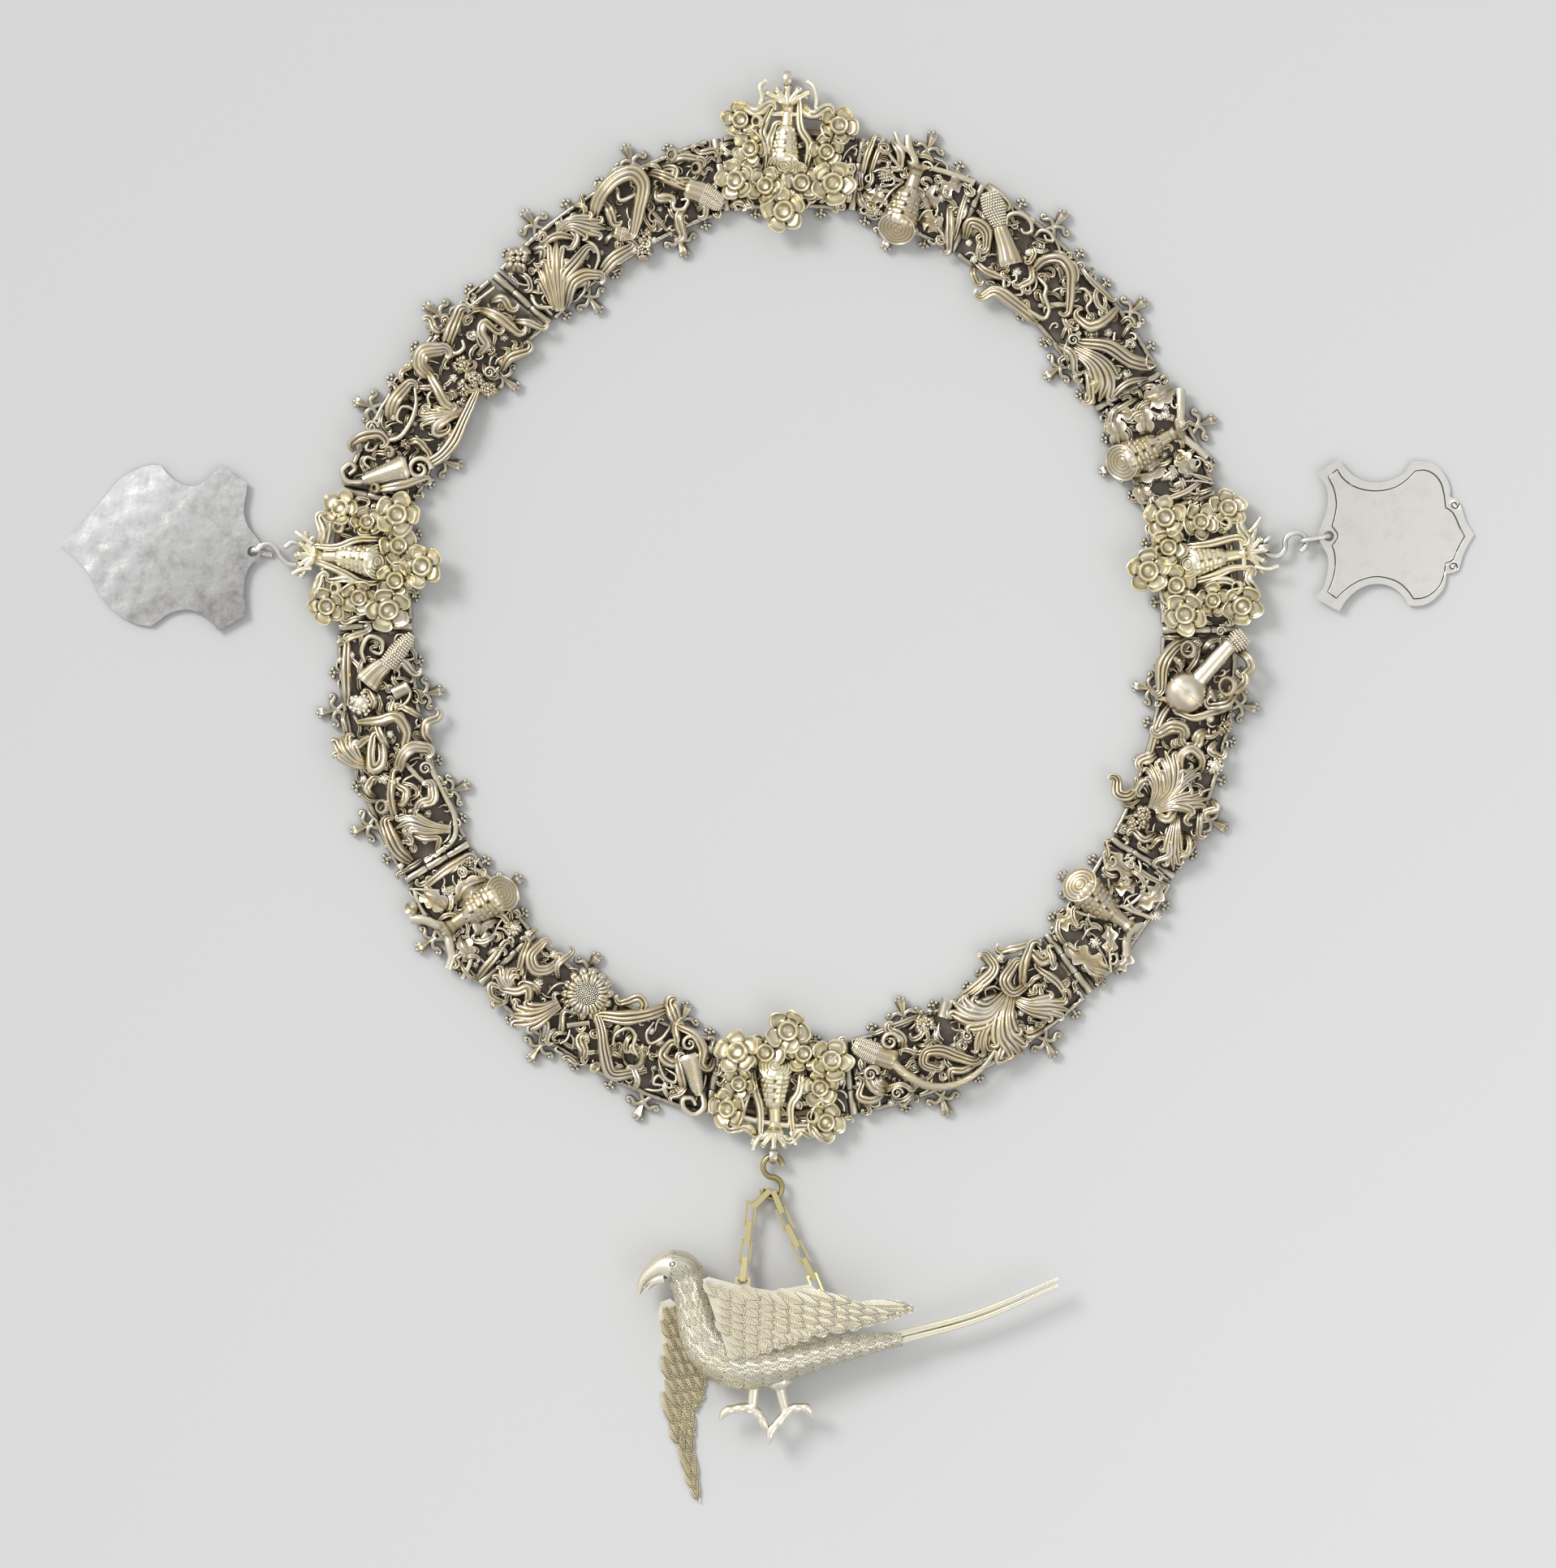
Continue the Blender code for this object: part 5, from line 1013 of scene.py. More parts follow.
@dataclass(frozen=True)
class StudioPaper:
    """Matt pale paper sweep under the object."""

    name: str = "seamless studio paper, matt"
    far: str = "#bcbcbb"
    near: str = "#cccccb"

    def build(self) -> bpy.types.Material:
        """Make the material, a plain one with painted light that makes it a little paler towards the lower right.

        Returns:
            The material.
        """
        material = bpy.data.materials.new(self.name)
        material.use_nodes = True
        graph = Graph(material.node_tree)
        shader = graph.tree.nodes["Principled BSDF"]
        place = graph.add("ShaderNodeTexCoord").outputs["Object"]
        # Painted light: the paper is coloured paler towards the lower right, as if lit more there
        sweep = graph.remap(graph.lean(place, (1.0, -1.0, 0.0)), -0.6, 0.6)
        graph.tree.links.new(graph.mix(sweep, self.far, self.near), shader.inputs["Base Color"])
        shader.inputs["Roughness"].default_value = 0.9
        shader.inputs["Specular IOR Level"].default_value = 0.2
        return material


BIRD_LOOK = ("#f0e7cc", "#ebe4d2", "#fefbf0", "#4c4029", 0.25, -4.0 * MM, -2.0 * MM, 22.0 * MM)
# Cast finishes take low and high as the band of painted shade that darkens towards the bottom, and reach for painted
# shade from occlusion; the bands of the bird, copper and wire lie below the ground and paint none
FINISHES: dict[str, Finish] = {
    "gilt": CastMetal("cast silver-gilt, chased and rubbed", "#c2b18b", "#beb4a2", "#efe8d6", "#33281a", 0.27),
    "rose": CastMetal("cast silver-gilt roses, rubbed bright", "#e3d7b1", "#dcd3ba", "#fbf6e6", "#43371f", 0.27,
                      high=5.5 * MM, reach=2.6 * MM, shade=(0.52, 0.12)),
    "silver": CastMetal("cast silver, worn gilding", "#b3a78e", "#a59d8e", "#e2dac8", "#31281d", 0.29, high=5.0 * MM),
    # Tarnished silver for the plates; its height band paints them darker still, as painted shade under the castings
    "backing": CastMetal("beaten silver backing, tarnished", "#857d74", "#6e665e", "#a39b90", "#4d453d",
                         roughness=0.48, low=0.2 * MM, high=2.2 * MM),
    "bird": Plumage("chased silver-gilt body plumage", *BIRD_LOOK, reach=1.6 * MM),
    "smooth": CastMetal("burnished silver-gilt", *BIRD_LOOK, reach=2.0 * MM),
    "wing_near": Plumage("chased silver-gilt quills, near wing", "#e6dcbf", "#dfd7bc", *BIRD_LOOK[2:],
                         reach=1.5 * MM),
    # The far wing's darker colours are painted shade on the same gilt, as it lies low under the body
    "wing_far": Plumage("chased silver-gilt quills, far wing, duller", "#cdbf98", "#bcb194", "#e9dfc2", "#3c321f",
                        0.30, *BIRD_LOOK[5:], reach=1.0 * MM),
    "link": CastMetal("gilt silver strip, bent and soldered", "#a18f5a", "#8c7e5b", "#d3c592", "#261f11",
                      low=0.0, high=1.0 * MM, reach=2.0 * MM),
    "copper": CastMetal("copper bar and wire, oxidised", "#7c6351", "#675449", "#a18672", "#33271f",
                        roughness=0.45, low=-2.0 * MM, high=-1.0 * MM),
    "wire": CastMetal("drawn silver wire, polished", "#cfccc5", "#bdb9b1", "#f0eee8", "#4b4741",
                      roughness=0.24, low=-2.0 * MM, high=-1.0 * MM),
    "hammered": SheetSilver("hammered sheet silver", "#f0efee", "#7d7a77", 0.25, 3.4 * MM, 0.30 * MM,
                            (7.0, -9.0, -2.9, 0.85)),
    "rolled": SheetSilver("rolled sheet silver, polished", "#e6e4de", "#bdb9b1", 0.34, 16.0 * MM, 0.06 * MM,
                          (-9.0, 2.0, -2.2, 0.5)),
}


class Skin:
    """Points, faces and finishes of one piece while it is being modelled."""

    def __init__(self) -> None:
        """Start with nothing modelled."""
        self.points: list[np.ndarray] = []
        self.faces: list[tuple[int, ...]] = []
        self.finish: list[int] = []
        self.marks: list[np.ndarray] = []
        self.count = 0

    def add(self, points: np.ndarray, faces: Iterable[Sequence[int]], finish: int = 0,
            marks: np.ndarray | None = None) -> None:
        """Add one closed shape.

        Args:
            points: its points, one row each.
            faces: its faces, counted from its own first point.
            finish: number of its material on the piece.
            marks: for each point its place along and across its feather, and the feather's length.
        """
        self.marks.append(np.zeros((len(points), 3)) if marks is None else marks)
        base = self.count
        before = len(self.faces)
        self.faces.extend(tuple(base + i for i in face) for face in faces)
        self.finish.extend([finish] * (len(self.faces) - before))
        self.points.append(np.asarray(points, dtype=float))
        self.count += len(points)

    def loft(self, rings: np.ndarray, closed: bool = False, finish: int = 0,
             marks: np.ndarray | None = None) -> None:
        """Add a skin over rings of equal count, with a fan on each end unless it closes.

        Args:
            rings: array of rings, points in a ring and three coordinates.
            closed: whether the last ring joins the first.
            finish: number of its material on the piece.
            marks: feather marks for each point of the rings.
        """
        rows, columns, _ = rings.shape
        index = np.arange(rows * columns).reshape(rows, columns)
        beside = np.roll(index, -1, axis=1)
        spans = rows if closed else rows - 1
        quads = np.stack([index[:spans], beside[:spans], np.roll(beside, -1, axis=0)[:spans],
                          np.roll(index, -1, axis=0)[:spans]], axis=-1).reshape(-1, 4)
        points = rings.reshape(-1, 3)
        flat = None if marks is None else np.vstack([marks.reshape(-1, 3), marks[0, 0], marks[-1, 0]])
        faces = quads.tolist()
        if not closed:
            first = rows * columns
            points = np.vstack([points, rings[0].mean(axis=0), rings[-1].mean(axis=0)])
            faces += [(first, int(beside[0, j]), int(index[0, j])) for j in range(columns)]
            faces += [(first + 1, int(index[-1, j]), int(beside[-1, j])) for j in range(columns)]
        self.add(points, faces, finish, flat)

    def take(self, mesh: Mesh, finish: int = 0) -> None:
        """Add the points and faces of a mesh.

        Args:
            mesh: mesh to copy.
            finish: number of its material on the piece.
        """
        points = np.empty(len(mesh.vertices) * 3)
        mesh.vertices.foreach_get("co", points)
        self.add(points.reshape(-1, 3), [tuple(p.vertices) for p in mesh.polygons], finish)

    def mesh(self, name: str, crisp: float = 55.0) -> Mesh:
        """Turn the shapes into a smooth mesh that faces outwards.

        Args:
            name: name of the mesh.
            crisp: edges sharper than this many degrees stay sharp.

        Returns:
            The mesh.
        """
        mesh = bpy.data.meshes.new(name)
        mesh.from_pydata(np.vstack(self.points).tolist(), [], self.faces)
        mesh.polygons.foreach_set("material_index", self.finish)
        marks = np.vstack(self.marks)
        if marks.any():
            layer = mesh.attributes.new("feather", "FLOAT_VECTOR", "POINT")
            layer.data.foreach_set("vector", marks.ravel())
        work = bmesh.new()
        work.from_mesh(mesh)
        bmesh.ops.recalc_face_normals(work, faces=work.faces)
        work.to_mesh(mesh)
        work.free()
        mesh.shade_smooth()
        mesh.set_sharp_from_angle(angle=math.radians(crisp))
        return mesh


def place_piece(name: str, mesh: Mesh, finishes: Sequence[bpy.types.Material], nodes: Sequence[str]) -> bpy.types.Object:
    """Put a finished mesh in the scene and hide the frame's nodes that it replaces.

    Args:
        name: name of the piece.
        mesh: its mesh, already in place.
        finishes: its materials, in the order of the mesh's numbers.
        nodes: nodes of the frame that it replaces.

    Returns:
        The piece's object.
    """
    for finish in finishes:
        mesh.materials.append(finish)
    piece = bpy.data.objects.new(name, mesh)
    bpy.context.scene.collection.objects.link(piece)
    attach(piece, BODY)
    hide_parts(*nodes)
    LOG.info("%s: %d faces, replaces %s", name, len(mesh.polygons), ", ".join(nodes))
    return piece


def smooth_span(x: np.ndarray, span: np.ndarray | float, first: np.ndarray, last: np.ndarray,
                first_slope: np.ndarray, last_slope: np.ndarray) -> np.ndarray:
    """Smooth curve over one span between two knots.

    Args:
        x: places in the span, from zero to one.
        span: length of the span.
        first: value at its first knot.
        last: value at its last knot.
        first_slope: slope at its first knot.
        last_slope: slope at its last knot.

    Returns:
        Values at those places.
    """
    return ((2 * x ** 3 - 3 * x ** 2 + 1) * first + (x ** 3 - 2 * x ** 2 + x) * span * first_slope
            + (3 * x ** 2 - 2 * x ** 3) * last + (x ** 3 - x ** 2) * span * last_slope)


def run_along(places: Places, count: int) -> np.ndarray:
    """Even points on a smooth curve through places.

    Args:
        places: points to pass through, three coordinates each.
        count: how many points to return.

    Returns:
        Array of points.
    """
    knots = np.asarray(places, dtype=float)
    gaps = np.sqrt(np.maximum(np.linalg.norm(np.diff(knots, axis=0), axis=1), 1e-6))
    t = np.concatenate([[0.0], np.cumsum(gaps)])
    slopes = np.gradient(knots, t, axis=0)
    dense = []
    for i in range(len(knots) - 1):
        x = np.linspace(0.0, 1.0, 12, endpoint=False)[:, None]
        span = t[i + 1] - t[i]
        dense.append(smooth_span(x, span, knots[i], knots[i + 1], slopes[i], slopes[i + 1]))
    curve = np.vstack(dense + [knots[-1:]])
    lengths = np.concatenate([[0.0], np.cumsum(np.linalg.norm(np.diff(curve, axis=0), axis=1))])
    even = np.linspace(0.0, lengths[-1], count)
    return np.column_stack([np.interp(even, lengths, curve[:, k]) for k in range(3)])


def unit(rows: np.ndarray) -> np.ndarray:
    """Rows scaled to length one."""
    return rows / np.maximum(np.linalg.norm(rows, axis=-1, keepdims=True), 1e-12)


def path_length(path: np.ndarray) -> float:
    """Length of a run of points."""
    return float(np.linalg.norm(np.diff(path, axis=0), axis=1).sum())


def circle(count: int) -> np.ndarray:
    """Even angles once round a circle."""
    return TURN * np.arange(count) / count


def taper(count: int, stops: Sequence[float], values: Sequence[float]) -> np.ndarray:
    """Values at even stations, drawn straight between the stops of a table."""
    return np.interp(np.linspace(0.0, 1.0, count), stops, values)


def heading(angle: float) -> np.ndarray:
    """Level unit vector at an angle."""
    return np.array([math.cos(angle), math.sin(angle), 0.0])


def seed_places(count: int, radius: float) -> list[tuple[float, float]]:
    """Distance and angle of seeds laid evenly over a disc."""
    return [(radius * math.sqrt((step + 0.5) / count), step * GOLDEN_ANGLE) for step in range(count)]


def left_of(way: np.ndarray) -> np.ndarray:
    """Level vector a quarter turn to the left of another one."""
    return np.array([-way[1], way[0], 0.0])


def left_along(path: np.ndarray) -> np.ndarray:
    """Level unit vectors to the left of a path, one for each of its points."""
    tangent = unit(np.gradient(path, axis=0))
    return unit(np.column_stack([-tangent[:, 1], tangent[:, 0], np.zeros(len(path))]))


def add_tube(skin: Skin, path: np.ndarray, radii: Sequence[float] | float, sides: int = 10, flat: float = 1.0,
             closed: bool = False, finish: int = 0, wave: np.ndarray | None = None) -> None:
    """Add a round or oval tube along a path.

    Args:
        skin: piece to add to.
        path: centres, one row each.
        radii: radius at each centre, or one for all.
        sides: points round the tube.
        flat: height of the tube as a share of its width.
        closed: whether the last ring joins the first.
        finish: number of its material.
        wave: share by which each point stands out, a row for each centre.
    """
    if closed:
        tangent = unit(np.roll(path, -1, axis=0) - np.roll(path, 1, axis=0))
    else:
        tangent = unit(np.gradient(path, axis=0))
    up = np.tile([0.0, 0.0, 1.0], (len(path), 1))
    steep = np.abs(tangent[:, 2]) > 0.95
    up[steep] = (0.0, 1.0, 0.0)
    side = unit(np.cross(up, tangent))
    top = np.cross(tangent, side)
    angle = circle(sides)
    size = np.broadcast_to(np.asarray(radii, dtype=float).reshape(-1, 1), (len(path), sides)).copy()
    if wave is not None:
        size *= 1.0 + wave
    rings = (path[:, None, :] + side[:, None, :] * (size * np.cos(angle))[:, :, None]
             + top[:, None, :] * (size * np.sin(angle) * flat)[:, :, None])
    skin.loft(rings, closed, finish)


def add_ball(skin: Skin, centre: Sequence[float], radius: float, finish: int = 0, flat: float = 1.0) -> None:
    """Add a small closed ball.

    Args:
        skin: piece to add to.
        centre: its centre.
        radius: its radius.
        finish: number of its material.
        flat: its height as a share of its width.
    """
    latitudes = np.linspace(0.0, math.pi, 7)[1:-1]
    angle = circle(8)
    rings = np.stack([np.column_stack([np.cos(angle) * math.sin(a) * radius, np.sin(angle) * math.sin(a) * radius,
                                       np.full(8, math.cos(a) * radius * flat)]) for a in latitudes])
    rings = rings + np.asarray(centre, dtype=float)
    skin.loft(rings, False, finish)


def add_blade(skin: Skin, path: np.ndarray, half: np.ndarray, flutes: int, crown: float = 0.30,
              thick: float = 1.1 * MM, edge: Edge = Edge.PLAIN, roll: float = 0.0, finish: int = 0) -> None:
    """Add a fluted leaf or strap, a closed body with a ridged top.

    Args:
        skin: piece to add to.
        path: middle line of its top, one row for each station.
        half: half width at each station.
        flutes: ridges across its width.
        crown: rise of its middle over its edges as a share of its half width.
        thick: thickness of the metal.
        edge: how its long edges are cut.
        roll: how far it rolls from side to side along its length, in radians.
        finish: number of its material.
    """
    stations = len(path)
    u = np.linspace(0.0, 1.0, stations)
    width = half.copy()
    if edge is Edge.SPINES:
        width *= 0.45 + 0.55 * np.abs(np.cos(math.pi * 3.0 * u)) ** 2.5
        width[0] = width[-1] = width.max() * 0.08
    elif edge is Edge.LOBES:
        width *= 0.62 + 0.38 * np.abs(np.sin(math.pi * 3.5 * u + 0.5)) ** 0.7
        width[0] = width[-1] = width.max() * 0.15
    side = left_along(path)
    chance = math.sin(path[0, 0] * 7919.0 + path[0, 1] * 4231.0)
    if roll:
        lean = roll * np.sin(TURN * u * (0.9 + 0.5 * chance) + 6.0 * chance)
        side = side * np.cos(lean)[:, None]
        side[:, 2] = np.sin(lean)
    columns = max(5, flutes * 5 + 1)
    v = np.linspace(-1.0, 1.0, columns)
    bent = (v + 0.16 * chance * (1.0 - v ** 2) + 1.0) / 2.0
    ridge = np.abs(np.sin(math.pi * flutes * bent)) ** 0.8 if flutes else np.zeros(columns)
    pitch = width[:, None] * 2.0 / max(flutes, 1)
    if edge is Edge.PLAIN:
        rise = width[:, None] * crown * (1.0 - v ** 2) + np.minimum(pitch * 0.46, 1.10 * MM) * ridge
    else:
        rise = width[:, None] * (0.16 * np.abs(v) ** 2 + 0.30 * np.exp(-(v / 0.14) ** 2))
    low_v = np.linspace(1.0, -1.0, 5)
    low = width[:, None] * crown * 0.7 * (1.0 - low_v ** 2) - thick
    top = path[:, None, :] + side[:, None, :] * (width[:, None] * v)[:, :, None]
    top[:, :, 2] += rise
    under = path[:, None, :] + side[:, None, :] * (width[:, None] * low_v * 0.96)[:, :, None]
    under[:, :, 2] += low
    skin.loft(np.concatenate([top, under], axis=1), False, finish)


def disc_rings(centre: np.ndarray, radii: np.ndarray, heights: np.ndarray, normal: np.ndarray,
               turn: float) -> np.ndarray:
    """Rings of a turned or petalled disc round a centre.

    Args:
        centre: middle of the disc on its base.
        radii: radius for each ring and direction.
        heights: height for each ring and direction.
        normal: unit vector along its axis.
        turn: angle of its first direction.

    Returns:
        Array of rings from the underside's middle, round the rim, to the top's middle.
    """
    sides = radii.shape[1]
    angle = turn + circle(sides)
    first = unit(np.cross([0.0, 1.0, 0.0], normal))
    second = np.cross(normal, first)
    around = np.cos(angle)[:, None] * first + np.sin(angle)[:, None] * second
    return centre + radii[:, :, None] * around[None, :, :] + heights[:, :, None] * normal


def turned(centre: np.ndarray, radii: Sequence[float], heights: Sequence[float], sides: int,
           normal: np.ndarray = UP) -> np.ndarray:
    """Rings of a round disc round a centre.

    Args:
        centre: middle of the disc on its base.
        radii: radius of each ring.
        heights: height of each ring.
        sides: points in a ring.
        normal: unit vector along its axis.

    Returns:
        Array of rings.
    """
    rows = (np.tile(np.reshape(row, (-1, 1)), sides) for row in (radii, heights))
    return disc_rings(centre, *rows, normal, 0.0)


def open_tree(name: str, inputs: dict[str, str]) -> tuple[Graph, bpy.types.NodeOutputs]:
    """Start a geometry tree that takes and gives geometry.

    Args:
        name: its name.
        inputs: its other inputs, each with its kind of socket.

    Returns:
        Its graph, and the outputs of its input node.
    """
    tree = bpy.data.node_groups.new(name, "GeometryNodeTree")
    for key, kind in {"Geometry": "Geometry", **inputs}.items():
        tree.interface.new_socket(key, in_out="INPUT", socket_type=f"NodeSocket{kind}")
    tree.interface.new_socket("Geometry", in_out="OUTPUT", socket_type="NodeSocketGeometry")
    graph = Graph(tree)
    return graph, graph.add("NodeGroupInput").outputs


def close_tree(graph: Graph, shape: Socket, material: Socket) -> Tree:
    """End a geometry tree with real points in a material, and return it.

    Args:
        graph: its graph.
        shape: socket with its geometry.
        material: socket with its material.

    Returns:
        The tree.
    """
    real = graph.add("GeometryNodeRealizeInstances", {0: shape})
    dressed = graph.add("GeometryNodeSetMaterial", {"Geometry": real.outputs[0], "Material": material})
    graph.add("NodeGroupOutput", {0: dressed.outputs[0]})
    return graph.tree


def scatter_tree() -> Tree:
    """Build the tree that sets a modelled piece on points, whose size and turn it reads from them.

    Returns:
        The tree.
    """
    graph, given = open_tree("set piece on points", {"Piece": "Object", "Wobble": "Float", "Seed": "Int",
                                                     "Material": "Material"})
    piece = graph.add("GeometryNodeObjectInfo", {"Object": given["Piece"]}, {"As Instance": True})
    turn, size = (graph.add("GeometryNodeInputNamedAttribute", None, {"Name": name},
                            data_type="FLOAT_VECTOR").outputs["Attribute"] for name in ("turn", "size"))
    chance = graph.add("FunctionNodeRandomValue", {"Seed": given["Seed"]},
                       {0: (-1.0, -1.0, -1.0), 1: (1.0, 1.0, 1.0)}, data_type="FLOAT_VECTOR")
    shake = graph.add("ShaderNodeVectorMath", {0: chance.outputs[0], 3: given["Wobble"]}, operation="SCALE")
    tilt = graph.add("ShaderNodeVectorMath", {0: turn, 1: shake.outputs[0]}, operation="ADD")
    spin = graph.add("FunctionNodeEulerToRotation", {0: tilt.outputs[0]})
    placed = graph.add("GeometryNodeInstanceOnPoints",
                       {"Points": given["Geometry"], "Instance": piece.outputs["Geometry"],
                        "Rotation": spin.outputs[0], "Scale": size})
    return close_tree(graph, placed.outputs[0], given["Material"])


def cord_tree() -> Tree:
    """Build the tree that runs a knotted or barked rod along a path of edges.

    Returns:
        The tree.
    """
    graph, given = open_tree("barked rod along path", {"Radius": "Float", "Step": "Float", "Rough": "Float",
                                                       "Grain": "Float", "Seed": "Float", "Material": "Material"})
    curve = graph.add("GeometryNodeMeshToCurve", {0: given["Geometry"]})
    even = graph.add("GeometryNodeResampleCurve", {"Curve": curve.outputs[0], "Length": given["Step"]}, mode="LENGTH")
    profile = graph.add("GeometryNodeCurvePrimitiveCircle", {"Radius": given["Radius"]}, {"Resolution": 8})
    rod = graph.add("GeometryNodeCurveToMesh", {"Curve": even.outputs[0], "Profile Curve": profile.outputs[0]},
                    {"Fill Caps": True})
    place = graph.add("GeometryNodeInputPosition")
    bark = graph.add("ShaderNodeTexNoise", {"Vector": place.outputs[0], "W": given["Seed"], "Scale": given["Grain"]},
                     {"Detail": 2.0}, noise_dimensions="4D")
    amount = graph.maths("MULTIPLY", graph.maths("SUBTRACT", bark.outputs["Fac"], 0.5), given["Rough"])
    normal = graph.add("GeometryNodeInputNormal")
    push = graph.add("ShaderNodeVectorMath", {0: normal.outputs[0], 3: amount}, operation="SCALE")
    moved = graph.add("GeometryNodeSetPosition", {"Geometry": rod.outputs[0], "Offset": push.outputs[0]})
    return close_tree(graph, moved.outputs[0], given["Material"])


class Workshop:
    """The finishes, node trees and small patterns that every sub-assembly uses."""

    def __init__(self) -> None:
        """Build the finishes, the trees and the patterns for finials and granules."""
        self.finish = {key: metal.build() for key, metal in FINISHES.items()}
        self.scatter = scatter_tree()
        self.rod = cord_tree()
        self.large = self.pattern("large finial", self.large_finial())
        self.small = self.pattern("small finial", self.small_finial())
        self.granule = self.pattern("granule", self.grain())
        self.box_link = self.pattern("box link", self.link_form())

    def pattern(self, name: str, skin: Skin) -> bpy.types.Object:
        """An object that instances are taken from, out of sight.

        Args:
            name: its name.
            skin: its shape.

        Returns:
            The object.
        """
        item = bpy.data.objects.new(name, skin.mesh(name, 60.0))
        bpy.context.scene.collection.objects.link(item)
        item.hide_render = True
        return item

    def large_finial(self) -> Skin:
        """Cross-shaped finial with hooked arms and a fluted head with three balls, reach one.

        Returns:
            Its shape.
        """
        skin = Skin()
        for way in (-1.0, 1.0):
            foot = run_along([(way * .26, -.16, 0), (way * .13, .04, .01), (0, .22, .02)], 6)
            add_tube(skin, foot, np.linspace(.11, .10, 6), 8)
            arm = run_along([(0, .16, .02), (way * .14, .33, .03), (way * .32, .37, .02), (way * .44, .26, 0),
                             (way * .56, .21, 0), (way * .63, .33, .01), (way * .55, .42, .02)], 16)
            add_tube(skin, arm, taper(16, [0, .5, 1], [.10, .115, .075]), 8)
            add_ball(skin, (way * .54, .38, .03), .095)
            add_ball(skin, (way * .15, .86, .03), .095)
        stem = run_along([(0, .10, .02), (0, .45, .03), (0, .58, .03), (0, .76, .02), (0, .88, .01)], 14)
        flutes = 0.16 * np.cos(5.0 * circle(20))[None, :].repeat(14, axis=0)
        add_tube(skin, stem, taper(14, [0, .35, .5, .85, 1],
                                       [.10, .09, .12, .20, .15]), 20, wave=flutes)
        add_ball(skin, (0, .93, .03), .10)
        return skin

    def small_finial(self) -> Skin:
        """Floret of four balls on a short stem, reach one.

        Returns:
            Its shape.
        """
        skin = Skin()
        add_tube(skin, run_along([(0, -.30, 0), (0, .20, .02), (0, .5, .02)], 4), .24, 7)
        for x, y, radius in ((-.42, .52, .30), (.42, .52, .30), (0, .80, .27), (0, .36, .30)):
            add_ball(skin, (x, y, .04), radius)
        return skin

    def grain(self) -> Skin:
        """One granule of radius one.

        Returns:
            Its shape.
        """
        skin = Skin()
        ball = bmesh.new()
        bmesh.ops.create_icosphere(ball, subdivisions=1, radius=1.0)
        ball.verts.index_update()
        skin.add(np.array([v.co[:] for v in ball.verts]), [tuple(v.index for v in f.verts) for f in ball.faces])
        ball.free()
        return skin

    def link_form(self) -> Skin:
        """One box link with square corners, along x, of length, width and gauge one.

        Returns:
            Its shape.
        """
        skin = Skin()
        half, wall, deep = 0.5, 0.13, 0.5
        outer = [(-half, -half), (half, -half), (half, half), (-half, half)]
        rings = []
        for x, y in outer:
            inner = (x - math.copysign(wall, x), y - math.copysign(wall * 1.5, y))
            rings.append([(x, y, -deep * .92), (x, y, deep * .92), (x * .985, y * .97, deep),
                          (inner[0], inner[1], deep), (inner[0], inner[1], -deep), (x * .985, y * .97, -deep)])
        skin.loft(np.array(rings), True)
        return skin

    def scattered(self, pattern: bpy.types.Object, places: np.ndarray, sizes: np.ndarray, turns: np.ndarray,
                  wobble: float, seed: int, finish: str) -> Mesh:
        """Set a pattern on points through the node tree.

        Args:
            pattern: object to repeat.
            places: a point for each copy.
            sizes: scale of each copy along its own axes.
            turns: Euler angles of each copy.
            wobble: random tilt in radians.
            seed: seed of the random tilt.
            finish: key of the material.

        Returns:
            The mesh of all copies.
        """
        mesh = bpy.data.meshes.new("points")
        mesh.from_pydata(places.tolist(), [], [])
        for name, rows in (("size", sizes), ("turn", turns)):
            layer = mesh.attributes.new(name, "FLOAT_VECTOR", "POINT")
            layer.data.foreach_set("vector", np.asarray(rows, dtype=float).ravel())
        return self.evaluated(mesh, self.scatter, {"Piece": pattern, "Wobble": wobble, "Seed": seed,
                                                   "Material": self.finish[finish]})

    def barked(self, path: np.ndarray, radius: float, rough: float, grain: float, seed: int,
               finish: str) -> Mesh:
        """Run a rod with bark along a path through the node tree.

        Args:
            path: points of the path.
            radius: radius of the rod.
            rough: depth of the bark.
            grain: size of a bark scale.
            seed: seed of the bark.
            finish: key of the material.

        Returns:
            The rod's mesh.
        """
        mesh = bpy.data.meshes.new("path")
        mesh.from_pydata(path.tolist(), [(i, i + 1) for i in range(len(path) - 1)], [])
        return self.evaluated(mesh, self.rod, {"Radius": radius, "Step": radius * 0.55, "Rough": rough,
                                               "Grain": 1.0 / grain, "Seed": float(seed),
                                               "Material": self.finish[finish]})

    def evaluated(self, mesh: Mesh, tree: Tree, values: dict) -> Mesh:
        """Evaluate a node tree on a mesh and return the plain result.

        Args:
            mesh: geometry that enters the tree.
            tree: the node tree.
            values: input name to its value.

        Returns:
            The evaluated mesh.
        """
        item = bpy.data.objects.new("work", mesh)
        bpy.context.scene.collection.objects.link(item)
        step = item.modifiers.new("tree", "NODES")
        step.node_group = tree
        for socket in tree.interface.items_tree:
            if socket.in_out == "INPUT" and socket.name in values:
                step[socket.identifier] = values[socket.name]
        view = bpy.context.evaluated_depsgraph_get()
        result = bpy.data.meshes.new_from_object(item.evaluated_get(view))
        bpy.data.objects.remove(item, do_unlink=True)
        return result

